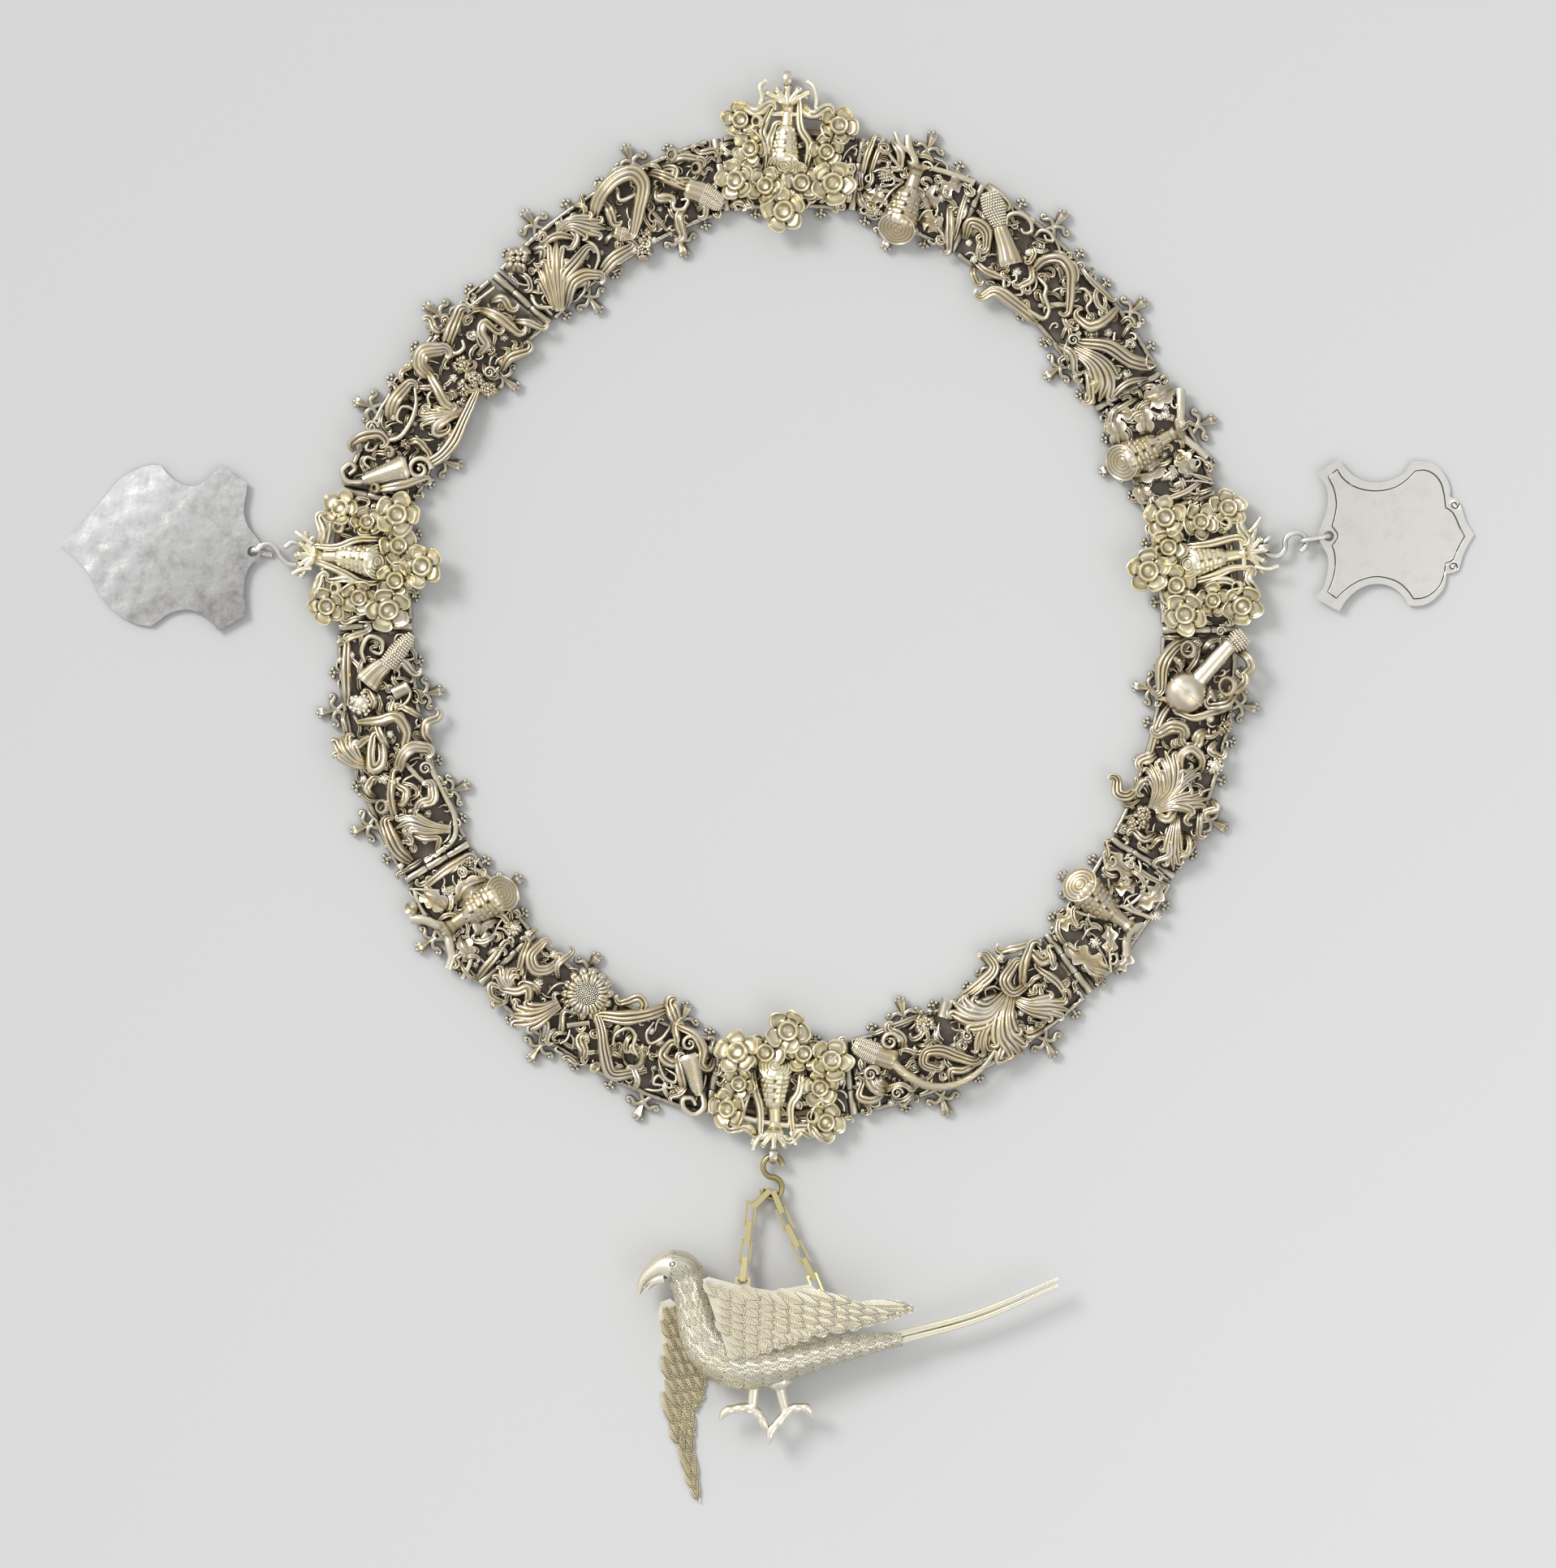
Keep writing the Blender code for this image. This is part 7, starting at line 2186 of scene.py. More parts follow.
@dataclass
class Wreath(Casting):
    """A medallion's wreath of roses with its stump, ribbons and bail."""

    petals: int = 5
    petal_sides: int = 90
    depth: float = 4.6 * MM
    tilt: float = 0.20
    ribbon_width: float = 0.24
    thicket: float = 0.7

    def build(self) -> None:
        """Model stump, ribbons, tendrils, roses and bail."""
        super().build()
        for places in RIBBONS[self.link.name]:
            self.add_leaf(Row(Form.LEAF, self.ribbon_width * BAND_HALF_WIDTH, 0.78 * FOLIAGE_HEIGHT, places))
        self.add_hoops()
        for order, (s, t, size) in enumerate(ROSES[self.link.name]):
            self.add_rose(s, t, size, order)
        self.add_bail()

    def add_hoops(self) -> None:
        """Model the stem that carries the roses."""
        spots = sorted(ROSES[self.link.name], key=lambda r: math.atan2(r[1] - 0.1, (r[0] - 0.5) * 3.3))
        path = [self.link.at(s, t, GROUND + 4.2 * MM) for s, t, _ in spots]
        add_tube(self.skin, run_along(path + [path[0]], 60)[:-1], 1.3 * MM, 8)

    def add_rose(self, s: float, t: float, size: float, order: int) -> None:
        """Model one rose with five petals, a raised double rim and a cupped heart.

        Args:
            s: share along the link.
            t: share across the link.
            size: share of the rose radius.
            order: number of the rose, which turns and lowers it.
        """
        sides = self.petal_sides
        chance = np.random.default_rng(self.link.index * 10 + order)
        radius = ROSE_RADIUS * size * (1.14 if order else 0.98)
        angle = circle(sides)
        lobe = np.abs(np.cos(2.5 * angle)) ** 0.42
        petal_of = (np.arange(sides) * self.petals // sides) % self.petals
        lift = np.roll(chance.uniform(-0.16, 0.16, self.petals)[petal_of], sides // 10) * lobe
        grow = np.roll(chance.uniform(0.92, 1.07, self.petals)[petal_of], sides // 10)
        edge = radius * (0.62 + 0.40 * lobe * grow) * (1.0 + 0.035 * np.sin(7.0 * angle + chance.uniform(0.0, 6.0)))
        wave = lift + 0.07 * np.sin(2.0 * angle + chance.uniform(0.0, 6.0)) - 0.42 * (1.0 - lobe)
        top = ROSE_TOP - 0.6 * MM - 1.1 * MM * (order % 3) * 0.8
        radii = np.array([np.full(sides, r * radius) for r, _ in ROSE_HEART] + [edge * r for r, _, _ in ROSE_PETAL])
        heights = self.depth * np.array([np.full(sides, h) for _, h in ROSE_HEART]
                                        + [h + share * wave for _, h, share in ROSE_PETAL])
        centre = self.link.at(s, t, top)
        away = centre - self.link.at(0.5, 0.15, top)
        lean = np.clip(np.linalg.norm(away) / (1.6 * BAND_HALF_WIDTH), 0.0, 1.0) * 0.30
        tip = np.array([chance.uniform(-self.tilt, self.tilt), chance.uniform(-self.tilt, self.tilt), 1.0])
        normal = unit(tip + unit(away) * (lean if order else 0.0))
        turn = self.link.angles[0] + math.pi * order / 5.0
        self.skin.loft(disc_rings(centre, radii, heights, normal, turn))

    def add_bail(self) -> None:
        """Model the upright strap ring and its post."""
        s, t = BAILS[self.link.name]
        centre = self.link.at(s, t, HOOK_HEIGHT)
        out = np.append(self.link.across(s), 0.0)
        side = -left_of(out)
        rings = []
        for angle in circle(32):
            away = out * math.cos(angle) + UP * math.sin(angle)
            section = [(-1, -.8), (1, -.8), (1, .2), (.5, .8), (-.5, .8), (-1, .2)]
            rings.append([centre + away * (BAIL_RADIUS + y * 0.5 * BAIL_STRAP) + side * x * 0.5 * BAIL_WIDTH
                          for x, y in section])
        self.skin.loft(np.array(rings), True, 2)
        neck_s, neck_t = STUMPS[self.link.name][2]
        root = self.link.at(neck_s, neck_t - 0.12, HOOK_HEIGHT + 0.4 * MM)
        add_tube(self.skin, run_along([root, centre - out * BAIL_RADIUS], 8), np.linspace(1.9, 1.3, 8) * MM, 12,
                 finish=2)

    def dress(self) -> None:
        """Place the wreath as a piece that stands for the frame's wreath."""
        self.stand("wreath", "rose copper silver", "silver_gilt")


@dataclass
class Plate(LinkPart):
    """A link's backing plate with its barked rails, finials and hinge knuckles."""

    rail_radius: float = 1.30 * MM
    rail_bark: tuple[float, float] = (0.75 * MM, 1.5 * MM)
    beaten: float = 0.08 * MM
    finial_height: float = 1.9 * MM

    def build(self) -> None:
        """Model plate, rails, finials and knuckles."""
        self.add_sheet()
        self.add_rails()
        self.add_finials()
        self.add_knuckles()

    def add_sheet(self) -> None:
        """Model the backing plate with a slightly beaten face."""
        inset = (KNUCKLE_RADIUS + KNUCKLE_GAP) / self.link.length
        count = max(12, int(self.link.length / (2.0 * MM)))
        chance = np.random.default_rng(self.link.index)
        across = np.linspace(-0.97, 0.97, 15)
        rings = []
        for s in np.linspace(inset, 1.0 - inset, count):
            top = [self.link.at(s, t, PLATE_THICKNESS + chance.uniform(-self.beaten, self.beaten)) for t in across]
            low = [self.link.at(s, t, 0.0) for t in across[::-1][::2]]
            rings.append(top + low)
        self.skin.loft(np.array(rings), False, 1)

    def add_rails(self) -> None:
        """Model the barked rod along each edge."""
        inset = (KNUCKLE_RADIUS + KNUCKLE_GAP * 2.0) / self.link.length
        for way in (-1.0, 1.0):
            middle = 1.0 - self.rail_radius / BAND_HALF_WIDTH
            path = np.array([self.link.at(s, way * middle, PLATE_THICKNESS + self.rail_radius * 0.9)
                             for s in np.linspace(inset, 1.0 - inset, 40)])
            self.skin.take(self.shop.barked(path, self.rail_radius * 0.92, *self.rail_bark,
                                            self.link.index * 2 + int(way), "silver"))

    def add_finials(self) -> None:
        """Set large and small finials along both edges through the node tree."""
        outer, inner = FINIALS[self.link.name]
        for pattern, reach, large in ((self.shop.large, LARGE_FINIAL, True), (self.shop.small, SMALL_FINIAL, False)):
            places, sizes, turns = [], [], []
            for edge, shares in ((1.0, outer), (-1.0, inner)):
                for share in shares:
                    if (share < 0.0) is not large:
                        continue
                    s = abs(share)
                    out = self.link.across(s) * edge
                    places.append(self.link.at(s, edge, self.finial_height))
                    sizes.append([reach * 0.97] * 3)
                    turns.append([0.0, 0.0, math.atan2(out[1], out[0]) - math.pi / 2.0])
            if places:
                mesh = self.shop.scattered(pattern, np.array(places), np.array(sizes), np.array(turns), 0.05,
                                           self.link.index, "silver")
                self.skin.take(mesh, 2)

    def add_knuckles(self) -> None:
        """Model this link's hinge tubes at both ends, each with a tab."""
        gap = 0.5 * KNUCKLE_GAP / BAND_HALF_WIDTH
        spans = ((0.0, -MIDDLE_KNUCKLE + gap, MIDDLE_KNUCKLE - gap), (1.0, -HINGE_REACH, -MIDDLE_KNUCKLE - gap),
                 (1.0, MIDDLE_KNUCKLE + gap, HINGE_REACH))
        height = KNUCKLE_RADIUS * math.cos(math.pi / 6.0)
        for s, low, high in spans:
            out = np.append(self.link.across(s), 0.0)
            inward = -left_of(out) * (1.0 if s < 0.5 else -1.0)
            centre = self.link.at(s, 0.0, height)
            path = np.array([centre + out * t * BAND_HALF_WIDTH for t in
                             (low, low + 0.02, 0.5 * (low + high), high - 0.02, high)])
            radius = height * 0.98
            add_tube(self.skin, path, [radius * 0.93, radius, radius, radius, radius * 0.93], 16)
            rings = []
            for t in (low + 0.015, high - 0.015):
                middle = self.link.at(s, 0.0) + out * t * BAND_HALF_WIDTH
                rings.append([middle + inward * u + UP * z for u, z in
                              ((0.3 * MM, 0.1 * MM), (3.5 * MM, 0.1 * MM), (3.5 * MM, 1.8 * MM), (0.3 * MM, 3.4 * MM))])
            self.skin.loft(np.array(rings))

    def dress(self) -> None:
        """Place the plate as a piece that stands for the frame's plate."""
        self.stand("plate", "silver backing gilt", "silver")


def bail_place(link: LinkPlace) -> tuple[np.ndarray, np.ndarray]:
    """Centre of a medallion's bail and the unit vector outwards there."""
    s, t = BAILS[link.name]
    return link.at(s, t, HOOK_HEIGHT), np.append(link.across(s), 0.0)


def s_hook(start: np.ndarray, out: np.ndarray, reach: float, stations: int) -> np.ndarray:
    """Centres of a lying S-hook.

    Args:
        start: place of the wire in the bail.
        out: unit vector away from the medallion.
        reach: distance between the wire's two ends of travel.
        stations: points on each half.

    Returns:
        Array of centres.
    """
    side = left_of(out)
    quarter = 0.25 * reach
    bends = [(1.0, HOOK_SWEEP * (index / stations - 1.0)) for index in range(stations)]
    bends += [(3.0, 180.0 - HOOK_SWEEP * index / stations) for index in range(stations + 1)]
    return np.array([start + out * quarter * (middle + math.cos(math.radians(angle)))
                     + side * math.sin(math.radians(angle)) * HOOK_HALF_WIDTH for middle, angle in bends])


@dataclass
class ShieldTag:
    """A sheet tag with its hook, lying on the ground beside the collar."""

    shop: Workshop
    link: LinkPlace
    grid: float = 1.5 * MM

    def build(self) -> None:
        """Model hook and shield, and dress both."""
        bail, out = bail_place(self.link)
        if self.link.name == "right":
            hole = bail + out * RIGHT_REACH
            self.dress_wire("hook_right_wire", s_hook(bail, out, RIGHT_HOOK_REACH, 28), "hook_right")
            self.add_ring(bail, out, hole)
            self.add_shield("tag_right", RIGHT_SHIELD, hole, 1.0 * MM, 1.0, "shield_right", "rolled")
        else:
            hole = bail + out * LEFT_REACH
            self.dress_wire("hook_left_wire", self.left_hook(bail, out, hole), "hook_left")
            self.add_shield("tag_left", LEFT_SHIELD, hole, 0.8 * MM, -1.0, "shield_left", "hammered")

    def left_hook(self, bail: np.ndarray, out: np.ndarray, hole: np.ndarray) -> np.ndarray:
        """Centres of the left hook, which dives through its shield's hole.

        Args:
            bail: centre of the bail.
            out: unit vector away from the medallion.
            hole: centre of the tag's hole.

        Returns:
            Array of centres.
        """
        side = left_of(out)
        centres = [bail + out * forward + side * aside for forward, aside in LEFT_HOOK]
        bend = HOOK_HEIGHT - 0.5 * (2.0 * SHIELD_LIFT + 0.8 * MM)
        for index in range(7):
            angle = math.radians(90.0 - 30.0 * index)
            place = hole - out * (bend * (1.0 - math.cos(angle)))
            place[2] = HOOK_HEIGHT - bend + bend * math.sin(angle)
            centres.append(place - side * (0.8 * MM * max(0.0, math.sin(angle))))
        tail = centres[-1]
        centres.append(tail - out * 3.0 * MM + side * 0.4 * MM)
        centres.append(tail - out * 6.2 * MM + side * 0.6 * MM)
        return run_along(centres, 110)

    def dress_wire(self, name: str, path: np.ndarray, node: str) -> None:
        """Model a round wire with rounded ends and place it.

        Args:
            name: name of the piece.
            path: centres of the wire.
            node: node of the frame that it replaces.
        """
        skin = Skin()
        radii = np.full(len(path), HOOK_WIRE)
        radii[0] = radii[-1] = HOOK_WIRE * 0.55
        add_tube(skin, path, radii, 14)
        self.shop.stand(name, skin, "wire", node, "pale_silver")

    def add_ring(self, bail: np.ndarray, out: np.ndarray, hole: np.ndarray) -> None:
        """Model the upright oval ring of the right shield.

        Args:
            bail: centre of the bail.
            out: unit vector away from the medallion.
            hole: centre of the tag's hole.
        """
        inner = bail + out * (RIGHT_HOOK_REACH - HOOK_WIRE - RING_WIRE - WIRE_GAP)
        low = RING_WIRE + WIRE_GAP
        high = HOOK_HEIGHT + HOOK_WIRE + 2.0 * WIRE_GAP + RING_WIRE
        centre = (hole + inner) * 0.5
        centre[2] = 0.5 * (low + high)
        half = (0.5 * np.linalg.norm(hole - inner), 0.5 * (high - low))
        path = []
        for angle in circle(48):
            x = math.copysign(abs(math.cos(angle)) ** 0.6, math.cos(angle)) * half[0]
            z = math.copysign(abs(math.sin(angle)) ** 0.6, math.sin(angle)) * half[1]
            path.append(centre + out * x + UP * z)
        skin = Skin()
        path = np.array(path)
        tangent = unit(np.roll(path, -1, axis=0) - np.roll(path, 1, axis=0))
        side = left_of(out)
        away = np.cross(tangent, side)
        turns = circle(10)
        rings = (path[:, None, :] + away[:, None, :] * (RING_WIRE * np.cos(turns))[None, :, None]
                 + side[None, None, :] * (RING_WIRE * np.sin(turns))[None, :, None])
        skin.loft(rings, True)
        self.shop.stand("ring_right_wire", skin, "wire", "ring_right", "pale_silver")

    def add_shield(self, name: str, outline: Places, hole: np.ndarray, thickness: float,
                   way: float, node: str, finish: str) -> None:
        """Model a shield as a sheet with a real face: dents on the left one, a border on the right one.

        Args:
            name: name of the piece.
            outline: outline from the hole, in shield lengths.
            hole: centre of its hole.
            thickness: thickness of the sheet.
            way: one where it points right, minus one where it points left.
            node: node of the frame that it replaces.
            finish: key of its material.
        """
        rim = arc_loop(outline) * SHIELD_LENGTH
        far = float(np.max(way * rim[:, 0])) / SHIELD_LENGTH
        lines = [] if finish == "hammered" else [(arc_loop(SHIELD_BORDER) * SHIELD_LENGTH, True)] + [
            (self.scroll(*place), False) for place in SHIELD_SCROLLS]
        mesh = sheet_mesh(name, rim, SHIELD_HOLE, self.grid, thickness,
                          lambda x, y: SHIELD_LIFT * (1.0 - way * x / (far * SHIELD_LENGTH)),
                          self.dents if finish == "hammered" else None, hole, lines=lines)
        self.shop.stand(name, mesh, f"{finish} backing", node, "pale_silver")

    def scroll(self, x: float, y: float, way: float) -> np.ndarray:
        """Engraved line of one small scroll beside the border.

        Args:
            x: place of its eye to the right of the hole, in tag lengths.
            y: place of its eye above the hole.
            way: one or minus one, for its turn.

        Returns:
            Points of the line.
        """
        turn = np.linspace(0.4, 6.6, 26)
        reach = np.linspace(0.62, 1.75, 26) * MM
        return np.array([x, y]) * SHIELD_LENGTH + np.column_stack([np.cos(turn) * reach, way * np.sin(turn) * reach])

    def dents(self, x: float, y: float) -> float:
        """Depth of the hammer marks at a place, heaviest towards the tip.

        Args:
            x: place to the right of the hole.
            y: place above the hole.

        Returns:
            The depth, below zero in a dent.
        """
        heavy = min(1.0, max(0.0, -x / SHIELD_LENGTH - 0.25) * 1.6)
        broad = 0.55 * noise.noise(Vector((x, y, 0.0)) * 30.0)
        hammer = (0.22 + 0.34 * heavy) * noise.noise(Vector((x, y, 0.0)) * 150.0)
        return (broad + hammer + 0.06 * noise.noise(Vector((x, y, 0.3)) * 420.0)) * MM


def inside(outline: np.ndarray, x: float, y: float) -> bool:
    """Whether a place lies in a closed outline.

    Args:
        outline: points of the outline.
        x: the place's first coordinate.
        y: its second coordinate.

    Returns:
        True inside the outline.
    """
    xs, ys = outline[:, 0], outline[:, 1]
    xn, yn = np.roll(xs, -1), np.roll(ys, -1)
    crossing = (ys > y) != (yn > y)
    with np.errstate(divide="ignore", invalid="ignore"):
        where = (xn - xs) * (y - ys) / (yn - ys) + xs
    return bool(np.count_nonzero(crossing & (x < where)) % 2)


def arc_loop(arcs: Sequence[Places]) -> np.ndarray:
    """Closed outline from smooth arcs that meet in corners.

    Args:
        arcs: points of each arc, where each ends at the next one's start.

    Returns:
        Points of the outline, about a millimetre and a half apart at a shield's size.
    """
    runs = []
    for arc in arcs:
        places = np.column_stack([np.array(arc), np.zeros(len(arc))])
        count = max(3, int(path_length(places) / 0.018))
        runs.append(run_along(places, count)[:-1, :2])
    return np.vstack(runs)


def sheet_mesh(name: str, rim: np.ndarray, hole: float, grid: float, thickness: float,
               base: Callable[[float, float], float], relief: Callable[[float, float], float] | None,
               origin: np.ndarray, crisp: float = 50.0, lines: Sequence[tuple[np.ndarray, bool]] = ()) -> Mesh:
    """Mesh of a sheet with an outline, an optional round hole, a sloping base and a relief on top.

    Args:
        name: name of the mesh.
        rim: outline points round the origin.
        hole: radius of the hole at the origin, or zero.
        grid: spacing of the points in the sheet.
        thickness: thickness of the sheet.
        base: height of the underside at a place.
        relief: height to add on top at a place, or None.
        origin: place of the origin in the frame.
        crisp: edges sharper than this stay sharp.
        lines: engraved lines on the face, each with whether it is closed.

    Returns:
        The closed mesh.
    """
    rings = [(rim, True)]
    for line, looped in lines:
        run = np.roll(line, -1, axis=0) - np.roll(line, 1, axis=0) if looped else np.gradient(line, axis=0)
        aside = unit(np.column_stack([-run[:, 1], run[:, 0]])) * ENGRAVED_WIDTH
        rings += [(line + aside * step, looped) for step in ((-1.9, -1.0, 0.0, 1.0, 1.9) if looped else (-1, 0, 1))]
    if hole:
        turns = circle(20)
        rings.append((np.column_stack([np.cos(turns), np.sin(turns)]) * hole, True))
    points: list[Vector] = []
    edges: list[tuple[int, int]] = []
    for ring, looped in rings:
        start = len(points)
        points += [Vector((float(x), float(y))) for x, y in ring]
        edges += [(start + i, start + (i + 1) % len(ring)) for i in range(len(ring) - (not looped))]
    low, high = rim.min(axis=0), rim.max(axis=0)
    row = 0
    y = low[1] + 0.4 * grid
    while y < high[1]:
        x = low[0] + grid * (0.5 if row % 2 else 0.0)
        while x < high[0]:
            near = min(float(np.min(np.hypot(ring[:, 0] - x, ring[:, 1] - y))) for ring, _ in rings)
            if near > 0.45 * grid and inside(rim, x, y) and math.hypot(x, y) > hole + 0.3 * grid:
                points.append(Vector((x, y)))
            x += grid
        y += grid * 0.87
        row += 1
    found, _, triangles, *_ = delaunay_2d_cdt(points, edges, [], 0, 1e-7)
    kept = []
    for tri in triangles:
        middle = sum((found[i] for i in tri), Vector((0.0, 0.0))) / 3.0
        if inside(rim, middle.x, middle.y) and middle.length > hole:
            kept.append(tuple(tri))
    count = len(found)
    tops, lows, cut_in = [], [], []
    for p in found:
        floor = base(p.x, p.y)
        rise = relief(p.x, p.y) if relief else 0.0
        near = min((float(np.min(np.hypot(line[:, 0] - p.x, line[:, 1] - p.y))) for line, _ in lines), default=1.0)
        rise -= ENGRAVED_DEPTH * max(0.0, 1.0 - near / (0.8 * ENGRAVED_WIDTH))
        cut_in.append(near / ENGRAVED_WIDTH)
        tops.append((origin[0] + p.x, origin[1] + p.y, floor + thickness + rise))
        lows.append((origin[0] + p.x, origin[1] + p.y, floor))
    uses: dict[tuple[int, int], int] = {}
    for tri in kept:
        for a, b in zip(tri, tri[1:] + tri[:1]):
            uses[(a, b)] = 1
    walls = [(a, b, b + count, a + count) for (a, b) in uses if (b, a) not in uses]
    faces = kept + [tuple(reversed([i + count for i in tri])) for tri in kept]
    faces += [tuple(reversed(wall)) for wall in walls]
    skin = Skin()
    skin.add(np.array(tops + lows), faces)
    # Faces inside an engraved groove take the second, darker finish: the dark line is partly tarnish in the engraving
    # and partly painted shade
    for number, tri in enumerate(kept):
        depths = [cut_in[i] for i in tri]
        skin.finish[number] = int(min(depths) < 0.5 and max(depths) < 1.3)
    return skin.mesh(name, crisp)


@dataclass(frozen=True)
class WingPlan:
    """How a wing's feathers lie: tables over the wing's length, from shoulder to tip."""

    name: str
    node: str
    finish: str
    outline: Places
    shoulder: tuple[float, float]
    tip: tuple[float, float]
    angles: tuple[float, ...]
    lengths: tuple[float, ...] = (7.0, 10.0, 15.0, 19.0, 22.0)
    widths: tuple[float, ...] = (4.4, 5.0, 5.0, 4.4, 3.6)
    pitch: tuple[float, float] = (4.7, 3.3)
    columns: int = 12
    shortest: float = 3.0
    spread: float = 4.0


def add_feather(skin: Skin, root: np.ndarray, angle: float, length: float, width: float, low: float,
                step: float) -> None:
    """Add one feather blade, low at its root and proud at its tip, with its own marks for the chasing.

    Args:
        skin: wing to add to.
        root: place of its root.
        angle: its direction over the ground.
        length: its length.
        width: its width.
        low: height of its root's face.
        step: rise of its tip over its root.
    """
    u = np.linspace(0.0, 1.0, 11)
    v = np.linspace(-1.0, 1.0, 9)
    half = 0.5 * width * np.interp(u, [0, .2, .6, .82, .93, 1], [.55, .9, 1.0, .86, .55, .06])
    along = heading(angle)
    beside = left_of(along)
    spine = root + along * (u * length)[:, None] + beside * (0.05 * length * u ** 2)[:, None]
    top = spine[:, None, :] + beside * (half[:, None] * v)[:, :, None]
    top[:, :, 2] = low + step * u[:, None] * (1.0 - 0.45 * v ** 2) + 0.16 * MM * np.exp(-(v / 0.12) ** 2)
    back = top[:, ::-1, :].copy()
    back[:, :, 2] = low - 0.35 * MM + 0.5 * step * u[:, None]
    marks = np.zeros((11, 18, 3))
    marks[:, :9, 0] = 0.98 * u[:, None]
    marks[:, :9, 1] = 0.5 + 0.49 * v
    marks[:, :, 2] = length / MM
    skin.loft(np.concatenate([top, back], axis=1), marks=marks)


NEAR_PLAN = WingPlan("wing_near", "bird_near_wing", "wing_near", NEAR_WING, (.150, -.030), (.655, -.036),
                     (-62.0, -34.0, -16.0, -6.0, -3.0))
FAR_PLAN = WingPlan("wing_far", "bird_far_wing", "wing_far", FAR_WING, (.080, -.030), (.146, -.508),
                    (-70.0, -74.0, -78.0, -80.0, -79.0), widths=(4.0, 4.2, 4.0, 3.6, 3.2))


@dataclass
class Bird:
    """The bird: body, head, tail, legs and its two chased wings."""

    shop: Workshop
    skin: Skin = field(default_factory=Skin)

    def place(self, right: float, up: float, height: float | None = None) -> np.ndarray:
        """Place on the bird from shares of its length, at its middle height unless given."""
        level = self.centre if height is None else height
        return np.array([BIRD_BEAK[0] + right * BIRD_LENGTH, BIRD_BEAK[1] + up * BIRD_LENGTH, level])

    def place_deep(self, right: float, up: float, depth: float) -> np.ndarray:
        """Place on the bird at a share of its thickness over its middle."""
        return self.place(right, up, self.centre + depth * BIRD_THICKNESS)

    @property
    def centre(self) -> float:
        """Height of the bird's middle over the ground."""
        return WING_THICKNESS + WING_GAP + 0.5 * BIRD_THICKNESS

    def body(self, rows: Places, stations: int, sides: int, plumage: float) -> None:
        """Model a rounded body with feather scales.

        Args:
            rows: place, half depth and half thickness along the body.
            stations: number of rings.
            sides: points in a ring.
            plumage: depth of the feather scales.
        """
        table = np.array(rows)
        line = run_along([self.place(x, y) for x, y, _, _ in rows], stations)
        chord = np.concatenate([[0.0], np.cumsum(np.linalg.norm(np.diff(table[:, :2], axis=0), axis=1))])
        knots = chord / chord[-1]
        u = np.linspace(0.0, 1.0, stations)
        depth = smooth_table(knots, table[:, 2], u) * BIRD_LENGTH
        thick = smooth_table(knots, table[:, 3], u) * BIRD_THICKNESS
        side = left_along(line)
        angle = circle(sides)
        length = path_length(line)
        bare = np.interp(u, [0.0, 0.13, 0.20], [0.0, 0.0, 1.0])
        rings = np.empty((stations, sides, 3))
        marks = np.zeros((stations, sides, 3))
        for i in range(stations):
            for j in range(sides):
                out = side[i] * math.cos(angle[j]) * depth[i] + np.array([0, 0, math.sin(angle[j]) * thick[i]])
                girth = math.hypot(depth[i], thick[i])
                row, column = u[i] * length / SCALE_LENGTH, angle[j] * girth / SCALE_WIDTH
                rise = scale_height(row, column) * plumage * bare[i]
                rings[i, j] = line[i] + out * (1.0 + rise / max(np.linalg.norm(out), 1e-4))
                marks[i, j] = (row, column, 1e3 * SCALE_LENGTH * bare[i])
        self.skin.loft(rings, marks=marks)

    def build(self) -> None:
        """Model the body, head, eye, tail, legs and lugs, then the wings."""
        self.body(BIRD_LINE, 260, 84, 0.36 * MM)
        self.add_face()
        self.add_tail()
        self.add_legs()
        for place, links in zip(BIRD_LUGS, STRAND_LINKS):
            self.add_lug(place, links)
        self.shop.stand("bird_with_tail", self.skin, "bird smooth", "bird_body", "silver_gilt", 70.0)
        self.add_wing(NEAR_PLAN, self.centre + 0.5 * BIRD_THICKNESS + WING_GAP)
        self.add_wing(FAR_PLAN, 0.0)

    def add_face(self) -> None:
        """Model the eye and the beak's line."""
        eye = self.place_deep(.081, .070, 0.412)
        turns = circle(22)
        ring = eye + np.column_stack([np.cos(turns) * 1.5 * MM, np.sin(turns) * 1.3 * MM, np.zeros(22)])
        add_tube(self.skin, ring, 0.34 * MM, 8, closed=True, finish=1)
        add_ball(self.skin, eye, 0.80 * MM, 1)
        lower = run_along([self.place_deep(.060, .034, 0.10),
                           self.place_deep(.036, .026, 0.09),
                           self.place_deep(.020, .009, 0.06)], 14)
        add_tube(self.skin, lower, np.linspace(2.3, 0.9, 14) * MM, 12, finish=1)
        for way in (-1.0, 1.0):
            gape = run_along([self.place_deep(.052, .040, way * 0.30),
                              self.place_deep(.030, .030, way * 0.235),
                              self.place_deep(.012, .012, way * 0.12)], 12)
            add_tube(self.skin, gape, np.linspace(0.40, 0.25, 12) * MM, 8, finish=1)

    def add_tail(self) -> None:
        """Model the two long tail feathers."""
        for way in (-1.0, 1.0):
            path = run_along([self.place(x, y + way * 0.0082) for x, y, _ in BIRD_TAIL], 50)
            radii = taper(50, [0, .5, 1], [0.72 * size * BIRD_LENGTH for _, _, size in BIRD_TAIL])
            sides = 20
            groove = -0.18 * np.exp(-((np.arange(sides) - 5.0) / 0.9) ** 2)[None, :].repeat(50, axis=0)
            add_tube(self.skin, path, radii, sides, wave=groove, finish=1)

